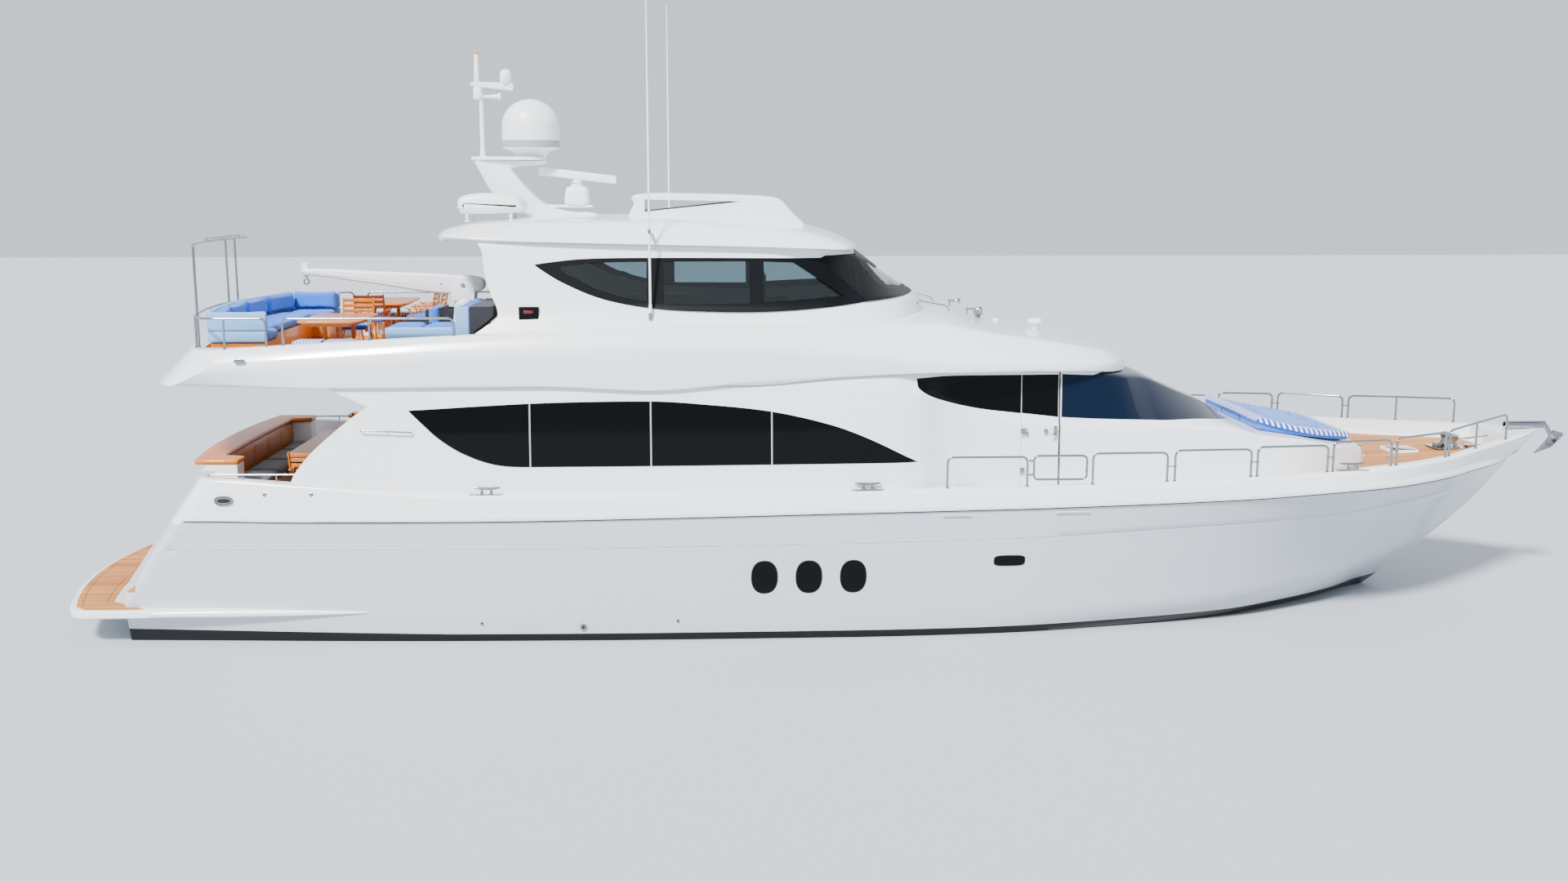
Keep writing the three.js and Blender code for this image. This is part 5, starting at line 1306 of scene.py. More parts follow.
def makeSkyFrames():
    skin = cutAway(loungeBody(-0.004, 4.8), loungeBody(0.034, 4.7, -5.7, 1.45))
    panes = [smoothOutline(skyPanes[0], sharp=(3, 4)), inMetres(skyPanes[1]), inMetres(skyPanes[2])]
    for sideName, side in sideSigns:
        makeBand(f"skylounge_frame_{sideName}", copyOf(skin, "skin"), grown(loungeSideEdge, 0.012), panes, side,
                 blackTrim)
    bpy.data.objects.remove(skin)
    corner = cutAway(loungeBody(-0.003, 4.9), loungeBody(0.034, 4.8, -5.7, 1.45))
    keepInside(corner, loungeFrontZone(-0.012))
    half = np.array([(1.16, 0.0), (1.12, 0.42), (0.955, 0.97), (0.74, 1.38), (0.36, 1.27), (0.6, 0.6), (0.7, 0.0)])
    hole = np.concatenate([half, half[-2:0:-1] * [1, -1]])
    cutAway(corner, makePrism(hole, 5.27, 5.79, "xy"))
    settle(corner, "skylounge_front_frame", angle=40, material=blackTrim)
    pillar = cutAway(loungeBody(-0.008, 4.9), loungeBody(0.01, 4.8, -5.7, 1.45))
    outline = np.array([(-0.42, 5.81), (-0.3, 5.86), (1.4, 5.86), (1.4, 5.205), (0.9, 5.2), (0.31, 5.155)])
    keepInside(pillar, makePrism(outline, -3.0, 3.0))
    cutAway(pillar, loungeFrontZone(0), *bothSides(makePrism, loungeSideEdge, 1.7, 3.0))
    settle(pillar, "skylounge_corner_trim", angle=40, material=blackTrim)


makeSkyFrames()


def makeSalonFrames():
    skin = cutAway(houseBody(0.006, 2.2), houseBody(0.03, 2.1, -8.4, 9.1))
    strips = [(-4.79, 0.011), (-2.975, 0.011), (-1.15, 0.011)]
    for sideName, side in sideSigns:
        y0, y1 = sorted((side * 2.0, side * 3.3))
        for index, (x, half) in enumerate(strips):
            piece = keepInside(copyOf(skin, "skin"), makePrism(grown(salonGlassEdge, -0.002), y0, y1))
            keepInside(piece, makeBox(x - half, x + half, y0, y1, 2.6, 3.9))
            settle(piece, f"salon_mullion_{index}_{sideName}", angle=40, material=bandGrey)
    bpy.data.objects.remove(skin)


makeSalonFrames()
print("window frames")

# ---- pilothouse doors


def makeDoors():
    sheet = cutAway(houseBody(0.004, 2.0), houseBody(0.044, 1.9, -8.4, 9.1))
    hinge = {"x": 2.74, "y": 2.5, "radius": 0.012, "heights": (2.5, 3.12), "height": 0.08}
    for sideName, side in sideSigns:
        body = f"pilothouse_door_{sideName}"
        y0, y1 = sorted((side * 1.9, side * 3.0))
        leaf = keepInside(copyOf(sheet, "leaf"), makeBox(2.746, 3.34, y0, y1, 2.216, 4.054))
        window = [(2.753, 3.43), (3.333, 3.36), (3.333, 4.026), (2.753, 4.026)]
        pane = keepInside(copyOf(sheet, "pane"), makePrism(np.array(window), y0, y1))
        cutAway(leaf, makePrism(grown(np.array(window), 0.0005), y0, y1))
        settle(leaf, f"door_leaf_{sideName}", [body], body, 30, gelcoat)
        settle(pane, f"door_pane_{sideName}", (), body, 30, darkGlass)
        skinY = 2.452
        fittings = [turnedPart([(hinge["radius"], z), (hinge["radius"], z + hinge["height"])],
            (hinge["x"], hinge["y"], 0), sides=20) for z in hinge["heights"]]
        fittings += [blockPart(2.744, 2.8, hinge["y"] - 0.05, hinge["y"] - 0.004, z + 0.002, z + 0.078, 0.003, 0.001)
                     for z in hinge["heights"]]
        plate = inMetres([(3252, 3085), (3302, 3085), (3302, 3235), (3252, 3235)])
        fittings.append(slabPart(plate, skinY - 0.01, skinY + 0.018, 0.004, "y"))
        fittings.append(tubePart([(3.277, skinY, 3.11), (3.277, skinY + 0.045, 3.11), (3.2, skinY + 0.05, 3.108)], 0.01,
                                 0.02))
        fittings.append(turnedPart([(0.022, 0), (0.024, 0.012), (0.012, 0.022)], (3.277, skinY, 3.195), (0, 1, 0), 24))
        fittings.append(turnedPart([(0.03, 0), (0.03, 0.014), (0.02, 0.022)], (2.83, skinY, 3.12), (0, 1, 0), 24))
        fittings.append(lathePart([(0, 0), (0.012, 0), (0.012, 0.014), (0, 0.016)], (2.82, skinY, 3.19), (0, 1, 0), 20))
        fittings.append(blockPart(3.1, 3.16, 3.125, 3.185, skinY - 0.01, skinY + 0.012, 0.01, 0.003, "y"))
        parts = fittings if side > 0 else [mirrored(part) for part in fittings]
        makeParts(f"door_fittings_{sideName}", parts, steel, body=body)
    bpy.data.objects.remove(sheet)


makeDoors()
print("doors")

# ---- rails

railTube = 0.018
railHoops = [(1.51, 2.73, 2.86), (3.74, 4.9, 2.9), (5.02, 6.22, 2.93), (6.32, 7.46, 2.96), (7.55, 8.53, 3.01),
             (8.63, 9.66, 3.03)]


def capAt(x):
    # where the side rails stand on the cap
    c = np.array([float(v[0]) for v in sheerAt(x)])
    return c[0] - 0.095, c[1]


def standing(x, z=None):
    y, top = capAt(x)
    return (x, y, top if z is None else z)


def footPart(x, y, z, radius=0.03):
    return turnedPart([(radius, 0), (radius, 0.006), (radius * 0.75, 0.012), (railTube * 1.15, 0.02)], (x, y, z),
        sides=24)


def hoopParts(x0, x1, top):
    path = [standing(x0), standing(x0, top), standing(x1, top), standing(x1)]
    return [tubePart(path, railTube, 0.1, 14, 7), footPart(*standing(x0)), footPart(*standing(x1))]


def makeSideRails():
    aft = hoopParts(*railHoops[0])
    fore = [part for row in railHoops[1:] for part in hoopParts(*row)]
    bow = [standing(9.75), standing(9.75, 3.05), standing(10.43, 3.095), standing(11.23, 3.14), standing(11.23)]
    fore += [tubePart(bow, railTube, 0.1, 14, 7), tubePart([standing(10.43), standing(10.43, 3.09)], railTube,
        sides=14)]
    fore += [footPart(*standing(x)) for x in (9.75, 10.43, 11.23)]
    ends = [row[1] for row in railHoops[1:]]
    starts = [row[0] for row in railHoops[2:]] + [9.75]
    for x0, x1 in zip(ends, starts):
        z = capAt(x0)[1] + 0.23
        fore.append(tubePart([standing(x0, z), standing(x1, z)], 0.009, sides=12))
        fore += [turnedPart([(0.024, -0.018), (0.024, 0.018)], standing(x, z), sides=18) for x in (x0, x1)]
    for sideName, turn in (("port", lambda part: part), ("starboard", mirrored)):
        makeParts(f"rail_hoop_{sideName}", [turn(p) for p in aft], steel, [f"rail_aft_{sideName}"])
        makeParts(f"rail_bow_{sideName}", [turn(p) for p in fore], steel, [f"rail_fore_{sideName}"])
        gate = {"x0": 2.83, "x1": 3.64, "low": 2.51, "top": 2.875}
        y = capAt(2.73)[0]
        middle = (gate["x0"] + gate["x1"]) / 2
        frame = [(middle, y, gate["low"]), (gate["x0"], y, gate["low"]), (gate["x0"], y, gate["top"]),
                 (gate["x1"], y, gate["top"]), (gate["x1"], y, gate["low"]), (middle + 0.001, y, gate["low"])]
        parts = [tubePart(frame, railTube, 0.08, 14, 7)]
        parts += [blockPart(2.752, gate["x0"], y - 0.009, y + 0.009, z, z + 0.03, 0.003, 0.002) for z in (2.57, 2.785)]
        parts.append(turnedPart([(0.02, -0.025), (0.022, 0.0), (0.02, 0.025)], (gate["x1"] - 0.004, y, 2.66), sides=18))
        makeParts(f"gate_frame_{sideName}", [turn(p) for p in parts], steel, [f"gate_{sideName}"], f"gate_{sideName}")


makeSideRails()


def coamingAt(x):
    return float(columnsAt(upperStations, x)[0, 7])


def makeFlyRails():
    z = 4.97
    half = [(-8.68, 2.76), (-9.5, 2.745), (-9.64, 2.7), (-9.9, 2.2), (-10.13, 1.0), (-10.22, 0)]
    top = [(x, y, z) for x, y in half] + [(x, -y, z) for x, y in half[-2::-1]]
    path = [(-8.68, 2.76, coamingAt(-8.68)), *top, (-8.68, -2.76, coamingAt(-8.68))]
    parts = [tubePart(path, railTube, 0.09, 14, 6)]
    feet = [(-8.68, 2.76), (-9.3, 2.749), (-9.9, 2.2), (-10.18, 0.6)]
    for x, y in feet:
        for side in (1, -1):
            if x != -8.68:
                parts.append(tubePart([(x, side * y, coamingAt(x)), (x, side * y, z)], railTube * 0.85, sides=14))
            parts.append(footPart(x, side * y, coamingAt(x)))
    makeParts("fly_rail_stern", parts, steel, ["fly_rail_aft"])
    aft, middle, fore = -8.43, -7.15, -5.9
    path = [(aft, 2.77, coamingAt(aft)), (aft, 2.77, z), (fore, 2.79, z), (fore, 2.79, coamingAt(fore))]
    side = [tubePart(path, railTube, 0.09, 14, 6)]
    side.append(tubePart([(middle, 2.78, coamingAt(middle)), (middle, 2.78, z)], railTube * 0.85, sides=14))
    side += [footPart(x, y, coamingAt(x)) for x, y in ((aft, 2.77), (middle, 2.78), (fore, 2.79))]
    makeParts("fly_rail_left", side, steel, ["fly_rail_port"])
    makeParts("fly_rail_right", [mirrored(p) for p in side], steel, ["fly_rail_starboard"])
    top = 6.04
    bar = [(-9.86, -2.2, coamingAt(-9.86)), (-9.86, -2.2, top), (-10.06, -1.0, top), (-10.13, 0, top),
           (-10.09, 0.8, top), (-10.06, 1.06, top)]
    parts = [tubePart(bar, 0.02, 0.05, 14, 6), footPart(-9.86, -2.2, coamingAt(-9.86))]
    for x, y in ((-10.125, 0.15), (-10.105, 0.56)):
        parts += [tubePart([(x, y, coamingAt(x)), (x, y, top)], 0.018, sides=14), footPart(x, y, coamingAt(x))]
    parts.append(tubePart([(-10.06, -1.0, top + 0.045), (-10.13, 0, top + 0.045), (-10.09, 0.8, top + 0.045)], 0.012,
        0.05))
    parts += [tubePart([(x, y, top), (x, y, top + 0.045)], 0.008, sides=10)
              for x, y in ((-10.06, -1.0), (-10.13, 0.0), (-10.09, 0.8))]
    makeParts("stern_frame", parts, steel, ["aft_frame"])


makeFlyRails()


def makeCockpitRails():
    z = 2.64
    path = [(-9.62, 2.9, 2.62), (-9.6, 2.9, z), (-7.6, 2.93, z), (-7.45, 2.93, 2.6)]
    parts = [tubePart(path, 0.014, 0.03, 12)]
    for x in (-9.1, -8.6, -8.1):
        foot = float(sheerAt(x)[1][0])
        parts.append(tubePart([(x, 2.91, foot), (x, 2.91, z)], 0.011, sides=12))
    makeParts("cockpit_side_rails", onBothSides(parts), steel)


makeCockpitRails()
print("rails")

# ---- ports, slots and fittings of the hull


def hullSkin(outline, depth):
    # a profile outline laid on the port side, depth outside the skin
    return rowsOf(outline[:, 0], topsideY(outline[:, 0], outline[:, 1]) + depth, outline[:, 1])


def makePorts():
    panes, rims = [], []
    for outline in portOutlines:
        inner = grown(outline, -0.004)
        panes.append(loftPart([hullSkin(inner, -0.0295), hullSkin(inner, -0.018),
            hullSkin(grown(inner, -0.012), -0.012)]))
        ring = hullSkin(grown(outline, -0.006), -0.012)
        path = np.concatenate([ring, ring[:1]])
        rims.append(tubePart(path, 0.007, sides=8))
    makeParts("hull_port_panes", onBothSides(panes), darkGlass, angle=30)
    makeParts("hull_port_gaskets", onBothSides(rims), blackRubberAndShade, angle=60)


makePorts()


def makeHullFittings():
    steelParts, darkParts = [], []
    for px, z, length in ((1.65, 1.995, 0.46), (3.43, 2.02, 0.54), (7.35, 2.14, 0.86)):
        outline = roundedPlan(px - length / 2, px + length / 2, z - 0.017, z + 0.017, 0.016)
        steelParts.append(loftPart([hullSkin(outline, -0.004), hullSkin(outline, 0.002),
            hullSkin(grown(outline, -0.004), 0.004)]))
        inner = roundedPlan(px - length / 2 + 0.02, px + length / 2 - 0.02, z - 0.008, z + 0.006, 0.006)
        darkParts.append(loftPart([hullSkin(inner, 0.0), hullSkin(inner, 0.0045)]))
    makeParts("hull_vent_frames", onBothSides(steelParts), whitePlastic)
    makeParts("hull_vent_slots", onBothSides(darkParts), bandGrey)
    hole, ring = [], []
    # black discs in the outlets paint the shade inside their holes
    for x, z, radius in ((-4.05, 0.23, 0.045), (-5.6, 0.3, 0.02), (-2.6, 0.32, 0.02)):
        y = float(topsideY(x, z).ravel()[0])
        ring.append(turnedPart([(radius, -0.01), (radius * 1.25, 0.012), (radius * 0.9, 0.016)], (x, y, z), (0, 1, 0),
            28))
        hole.append(turnedPart([(radius * 0.6, 0), (radius * 0.6, 0.018)], (x, y, z), (0, 1, 0), 24))
    makeParts("through_hull_rims", onBothSides(ring), steel)
    makeParts("through_hull_holes", onBothSides(hole), blackRubberAndShade)
    # oval fairlead at the quarter and two small fittings on the bulwark band
    c = columnsAt(hullStations, -9.36)[0]
    y, z = (c[5] + c[7]) / 2 + 0.012, 2.27
    oval = ovalOutline((-9.36, z), (0.13, 0.062), 2.4)
    plate = slabPart(oval, y - 0.05, y + 0.012, 0.006, "y")
    throat = slabPart(grown(oval, -0.03), y - 0.03, y + 0.0145, 0.002, "y")
    rim = rowsOf(oval[:, 0], y + 0.012, oval[:, 1])
    rim = tubePart(np.concatenate([rim, rim[:1]]), 0.013, sides=10)
    makeParts("fairlead_rims", onBothSides([plate, rim]), steel)
    # the black throat paints the shade in the fairlead's opening
    makeParts("fairlead_throats", onBothSides([throat]), blackRubberAndShade)
    knobs = []
    for x, z in ((-8.75, 2.36), (-8.05, 2.36)):
        c = columnsAt(hullStations, x)[0]
        share = (z - c[6]) / (c[8] - c[6])
        y = c[5] + (c[7] - c[5]) * share
        knobs.append(turnedPart([(0.03, -0.02), (0.03, 0.008), (0.018, 0.016)], (x, y, z), (0, 1, 0), 24))
    makeParts("bulwark_buttons", onBothSides(knobs), steel)


makeHullFittings()


def cleatParts(x):
    y, z = capAt(x)
    plate = blockPart(x - 0.26, x + 0.26, y - 0.07, y + 0.07, z, z + 0.006, 0.06, 0.002)
    legs = [turnedPart([(0.032, 0), (0.022, 0.02), (0.018, 0.06), (0.022, 0.085)], (x + side * 0.07, y, z + 0.005),
        sides=20) for side in (1, -1)]
    t = np.linspace(-1, 1, 13)
    bar = tubePart(rowsOf(x + 0.2 * t, y, z + 0.09 + 0.012 * t ** 2), 0.019 * (1 - 0.55 * t ** 4), sides=16)
    return [plate, *legs, bar]


def makeCleats():
    parts = [part for x in (-5.45, 0.3, 7.88) for part in cleatParts(x)]
    makeParts("mooring_cleats", onBothSides(parts), steel)


makeCleats()
print("hull fittings")

# ---- teak decks: planks over black caulk, a margin board round each field


def bendLoop(points, radius, steps=5):
    # a closed polygon with every corner bent as a quadratic curve
    p = np.asarray(points, float)
    before, after = np.roll(p, 1, 0) - p, np.roll(p, -1, 0) - p
    t = np.linspace(0, 1, steps)[None, :, None]
    reach = [np.minimum(radius / np.maximum(np.linalg.norm(v, axis=1, keepdims=True), 1e-9), 0.45) for v in (before,
        after)]
    into, out = p + before * reach[0], p + after * reach[1]
    curve = (1 - t) ** 2 * into[:, None] + 2 * t * (1 - t) * p[:, None] + t ** 2 * out[:, None]
    return curve.reshape(-1, 2)


def layPlanks(name, layers, makeCutters):
    # caulk, a margin board with its hole, and the field of planks, cut where other pieces stand
    caulk, board, hole, field = (makeJoined("layer", [part], teak) for part in layers)
    cutAway(board, hole)
    for label, piece in (("caulk", caulk), ("margin", board), ("planks", field)):
        cutAway(piece, *makeCutters())
        settle(piece, f"{name}_{label}", angle=30, material=blackRubberAndShade if label == "caulk" else teak)


def makeTeak(name, outline, z, margin=0.09, joint=0.008, cutters=()):
    rows = [(0.003, 0.0005, 0.004, 0), (0, 0.0008, 0.01, 0.002), (margin, -0.1, 0.1, 0),
            (margin + joint, 0.0008, 0.01, 0.001)]   # inset, low, high, edge
    layers = [slabPart(grown(outline, -inset), z + low, z + high, edge) for inset, low, high, edge in rows]
    layPlanks(name, layers, lambda: [copyOf(cutter, "cutter") for cutter in cutters])


def makeDecks():
    y = np.linspace(2.68, -2.68, 33)
    aft = rowsOf(-12.41 + 0.07 * y ** 2 + 0.1, y)
    inner = np.linspace(-2.4, 2.4, 31)
    front = rowsOf(transomX(inner, 0.55) - 0.035, inner)
    corner = np.array([(-10.72, 2.86), (-11.6, 2.86)])
    plan = np.concatenate([aft, corner[::-1] * [1, -1], front, corner])
    makeTeak("platform_teak", plan, 0.5502, cutters=[hull])
    treads = []
    for step in range(stairs["risers"]):
        x = stairs["start"] + (step - 1) * stairs["going"] + 0.02
        z = stairs["foot"] + stairs["rise"] * step
        x0 = -11.12 if step == 0 else x
        treads.append(blockPart(x0, x + stairs["going"] - 0.035, stairs["inner"] + 0.05, stairs["outer"] - 0.1,
                                z + 0.001, z + 0.012, 0.02, 0.003))
    makeParts("stair_treads", onBothSides(treads), teak)
    sole = [(-9.3, 1.9), (-9.3, -1.9), (-9.36, -2.7), (-6.72, -2.74), (-6.72, 2.74), (-9.36, 2.7)]
    makeTeak("cockpit_teak", np.array(sole), 1.9002)
    arc = bowedLine(2.3, 0.33, -9.68)
    x = np.linspace(-9.1, -5.68, 8)
    side = rowsOf(x, columnsAt(upperStations, x)[:, 6] - flyDeck["fascia"] - 0.03)
    plan = np.concatenate([side[::-1], arc, side * [1, -1]])
    makeTeak("fly_teak", plan, flyDeck["floor"] + 0.0002)


makeDecks()


def makeForedeck():
    # planks follow the rising deck; the trunk is cut out of them
    x = np.linspace(7.4, 11.28, 60)
    sheerY, _, deckZ = sheerAt(x)
    wide = np.maximum(sheerY - hullShape["capWidth"] - 0.09, 0.02)
    wide = np.minimum(wide, 3.0) * np.where(x > 11.1, np.interp(x, [11.1, 11.28], [1, 0.75]), 1)

    def sheetOf(half, low, high):
        return loftPart(ringsOf((x, half, deckZ + low), (x, half, deckZ + high), (x, -half, deckZ + high),
            (x, -half, deckZ + low)))

    border = 0.08
    layers = [sheetOf(wide - 0.004, 0.0005, 0.004), sheetOf(wide, 0.0008, 0.01),
              sheetOf(np.maximum(wide - border, 0.01), -0.1, 0.1),
              sheetOf(np.maximum(wide - border - 0.008, 0.005), 0.0008, 0.01)]
    layPlanks("foredeck_teak", layers, lambda: [houseBody(-0.07, 1.6, 7.0, 9.12)])


makeForedeck()
print("teak decks")

# ---- padded pieces

padding = {"voxel": 0.028, "pressure": 4.0, "frames": 20}


def pointsOf(piece):
    points = np.empty(len(piece.data.vertices) * 3)
    piece.data.vertices.foreach_get("co", points)
    return points.reshape(-1, 3)


def partOf(piece):
    # the points and faces of a mesh as a part
    mesh = piece.data
    corners = np.empty(len(mesh.loops), int)
    mesh.loops.foreach_get("vertex_index", corners)
    starts = np.empty(len(mesh.polygons), int)
    mesh.polygons.foreach_get("loop_start", starts)
    return pointsOf(piece), np.split(corners, starts[1:])


def swell(name, parts, cap):
    # every pad is remeshed on its own, then all of them are blown up together and no point moves past the cap
    meshed = []
    for part in parts:
        piece = makeJoined("pad", [part], blueCloth)
        remesh = piece.modifiers.new("remesh", "REMESH")
        remesh.mode, remesh.voxel_size = "VOXEL", padding["voxel"]
        bakeModifiers(piece)
        meshed.append(partOf(piece))
        bpy.data.objects.remove(piece)
    piece = makeJoined(name, meshed, blueCloth)
    rest = pointsOf(piece)
    cloth = piece.modifiers.new("cloth", "CLOTH")
    cloth.settings.use_pressure = True
    cloth.settings.uniform_pressure_force = padding["pressure"]
    cloth.settings.effector_weights.gravity = 0
    scene = bpy.context.scene
    for frameNumber in range(1, padding["frames"] + 1):
        scene.frame_set(frameNumber)
    bakeModifiers(piece)
    scene.frame_set(1)
    step = pointsOf(piece) - rest
    length = np.linalg.norm(step, axis=1, keepdims=True)
    step *= np.minimum(cap / np.maximum(length, 1e-9), 1)
    piece.data.vertices.foreach_set("co", (rest + step).ravel())
    piece.data.update()
    smooth = piece.modifiers.new("smooth", "SUBSURF")
    smooth.levels = smooth.render_levels = 1
    bakeModifiers(piece)
    return piece


def makePads(name, parts, material, replaced=(), cap=0.02):
    piece = swell(name, parts, cap)
    settle(piece, name, replaced, angle=70, material=material)
    return piece


def padPart(x0, x1, y0, y1, z0, z1, corner=0.05, edge=0.035):
    return blockPart(x0, x1, y0, y1, z0, z1, corner, edge)


# ---- furniture of the fly deck

settee = {"outer": 2.28, "aft": -9.7, "sag": 0.3, "deep": 0.2}


def setteeArc(y, inset):
    return settee["aft"] + inset - settee["sag"] * (1 - (y / settee["outer"]) ** 2)


def arcPlan(y0, y1, insetA, insetB, count=9):
    # what lies between two arcs of the settee, from y0 to y1
    y = np.linspace(y0, y1, count)
    a = rowsOf(setteeArc(y, insetA), y)
    b = rowsOf(setteeArc(y, insetB), y)
    return bendLoop(np.concatenate([a, b[::-1]]), 0.03, 3)


def makeSettee():
    y = np.linspace(2.24, -2.24, 21)
    arc = rowsOf(setteeArc(y, 0.04), y)
    plan = np.concatenate([arc, [(-8.84, -2.24), (-8.84, -1.52), (-9.12, -1.52), (-9.12, 1.52), (-8.84, 1.52),
                                 (-8.84, 2.24)]])
    plinth = slabPart(grown(plan, -0.05), flyDeck["floor"] + 0.001, 4.27)
    base = slabPart(plan, 4.27, 4.558, 0.008)
    makeParts("settee_base", [plinth, base], varnish, ["fly_settee"])
    deep = settee["deep"]
    seats = []
    for y0, y1 in ((-1.44, -0.5), (-0.47, 0.47), (0.5, 1.44)):
        y = np.linspace(y0, y1, 9)
        back = rowsOf(setteeArc(y, deep + 0.02), y)
        seats.append(slabPart(bendLoop([*back, (-9.1, y1), (-9.1, y0)], 0.05, 3), 4.57, 4.702, 0.035))
    sides = [padPart(setteeArc(1.9, deep + 0.04), -8.83, 1.5, 2.28 - deep, 4.57, 4.702)]
    backs = [slabPart(arcPlan(y0, y1, 0.08, deep + 0.01), 4.72, 5.035, 0.045)
             for y0, y1 in ((-2.02, -1.03), (-1.0, -0.015), (0.015, 1.0), (1.03, 2.02))]
    backs += onBothSides([padPart(-9.6, -8.83, 2.27 - deep, 2.2, 4.72, 5.035)])
    makePads("settee_pads", [*seats, *onBothSides(sides), *backs], blueCloth, ["fly_settee_cushion"])
    # an outer shell round the settee in the paler canvas, which paints light on its outward faces
    shell = []
    for low, high in ((4.562, 4.735), (4.737, 5.025)):
        y = np.linspace(2.2, -2.2, 25)
        outer = rowsOf(setteeArc(y, 0.0), y)
        inner = rowsOf(setteeArc(y[::-1], 0.075), y[::-1])
        shell.append(slabPart(np.concatenate([outer, inner]), low, high, 0.03))
        shell += onBothSides([blockPart(-9.68, -8.81, 2.205, 2.28, low, high, 0.036, 0.034)])
    makePadded("settee_outer_lit_covers", shell, litBlueCloth)


def legPart(x, y, z0, z1, thick=0.075):
    # a turned leg of a table
    profile = [(0, z0), (thick * 0.45, z0), (thick * 0.5, z0 + 0.03), (thick * 0.3, z0 + 0.08),
        (thick * 0.36, (z0 + z1) / 2), (thick * 0.5, z1 - 0.12), (thick * 0.34, z1 - 0.07), (thick * 0.55, z1 - 0.02),
        (thick * 0.55, z1), (0, z1)]
    return lathePart(profile, (x, y, 0), sides=24)


def tableParts(x0, x1, y0, y1, top, floor, corner):
    plate = slabPart(roundedPlan(x0, x1, y0, y1, corner), top - 0.04, top, 0.014)
    apron = blockPart(x0 + 0.12, x1 - 0.12, y0 + 0.14, y1 - 0.14, top - 0.095, top - 0.04, corner * 0.6, 0.005)
    parts = [plate, apron]
    cx, cy = (x0 + x1) / 2, (y0 + y1) / 2
    for side in (-1, 1):
        y = cy + side * (y1 - y0) * 0.27
        foot = blockPart(x0 + 0.17, x1 - 0.17, y - 0.05, y + 0.05, floor + 0.002, floor + 0.06, 0.045, 0.012)
        parts += [foot, legPart(cx - 0.12, y, floor + 0.06, top - 0.09), legPart(cx + 0.12, y, floor + 0.06,
            top - 0.09)]
    rail = blockPart(cx - 0.035, cx + 0.035, cy - (y1 - y0) * 0.27, cy + (y1 - y0) * 0.27, floor + 0.14, floor + 0.2,
        0.02, 0.01)
    return [*parts, rail]


def chairParts(x, y, floor, turn):
    # a folding deck chair: seat frame, crossed legs, arms and a slatted back; it faces +X before its turn
    wood = []
    for side in (-1, 1):
        yy = side * 0.245
        wood.append(tubePart([(-0.2, yy, floor + 0.01), (0.2, yy, floor + 0.62)], 0.017, sides=10))
        wood.append(tubePart([(0.2, yy * 0.86, floor + 0.01), (-0.2, yy * 0.86, floor + 0.62)], 0.017, sides=10))
        arm = blockPart(-0.24, 0.26, yy - 0.03, yy + 0.03, floor + 0.62, floor + 0.645, 0.028, 0.009)
        wood.append(arm)
        wood.append(tubePart([(-0.2, yy, floor + 0.6), (-0.27, yy, floor + 0.92)], 0.016, sides=10))
        wood.append(blockPart(-0.2, 0.24, yy * 0.86 - 0.015, yy * 0.86 + 0.015, floor + 0.4, floor + 0.44, 0.014,
            0.006))
    for k in range(3):
        z = floor + 0.68 + 0.085 * k
        xx = -0.215 - 0.018 * k
        t = np.linspace(-1, 1, 7)
        face = rowsOf(xx - 0.035 * (1 - t ** 2), 0.24 * t)
        wood.append(slabPart(np.concatenate([face, face[::-1] + [0.016, 0]]), z, z + 0.055, 0.004))
    for k in range(5):
        xx = -0.17 + 0.09 * k
        wood.append(blockPart(xx, xx + 0.07, -0.22, 0.22, floor + 0.436, floor + 0.452, 0.01, 0.004))
    pad = blockPart(-0.19, 0.25, -0.215, 0.215, floor + 0.455, floor + 0.51, 0.05, 0.022)
    place = (x, y, 0.0)
    return [moved(part, place, turn) for part in wood], moved(pad, place, turn)


def makeChairs(name, places, floor, cloth):
    sets = [chairParts(x, y, floor, turn) for x, y, turn in places]
    makeParts(f"{name}_chairs", [part for wood, _ in sets for part in wood], varnish, angle=40)
    makePadded(f"{name}_chair_pads", [pad for _, pad in sets], cloth, angle=50)


def makeFlyFurniture():
    for sideName, side in (("starboard", -1), ("port", 1)):
        y0, y1 = sorted((side * 0.95, side * 2.45))
        makeParts(f"fly_dining_{sideName}", tableParts(-8.34, -7.38, y0, y1, 4.9, flyDeck["floor"], 0.16), varnish,
            [f"fly_table_{sideName}"], angle=40)
    places = [(-7.12, 1.2, 180), (-7.12, 2.0, 180), (-7.86, -0.62, -90), (-7.86, 0.62, 90)]
    makeChairs("fly", places, flyDeck["floor"] + 0.011, blueCloth)
    stools, covers = [], []
    for x in (-8.12, -7.66):
        covers.append(blockPart(x - 0.21, x + 0.21, -2.7, -2.32, 4.56, 4.625, 0.05, 0.028))
        stools.append(blockPart(x - 0.2, x + 0.2, -2.69, -2.33, 4.51, 4.558, 0.02, 0.006))
        stools += [legPart(x + dx, y, flyDeck["floor"] + 0.011, 4.512, 0.05) for dx in (-0.16, 0.16) for y in (-2.65,
            -2.37)]
    makeParts("fly_stools", onBothSides(stools), varnish, angle=40)
    makePadded("fly_stool_pads", onBothSides(covers), tickingCloth, angle=50)


bench = {"x0": -6.98, "x1": -5.72, "y0": -2.52, "y1": -1.75, "seat": 4.62, "pad": 4.812, "top": 5.125}


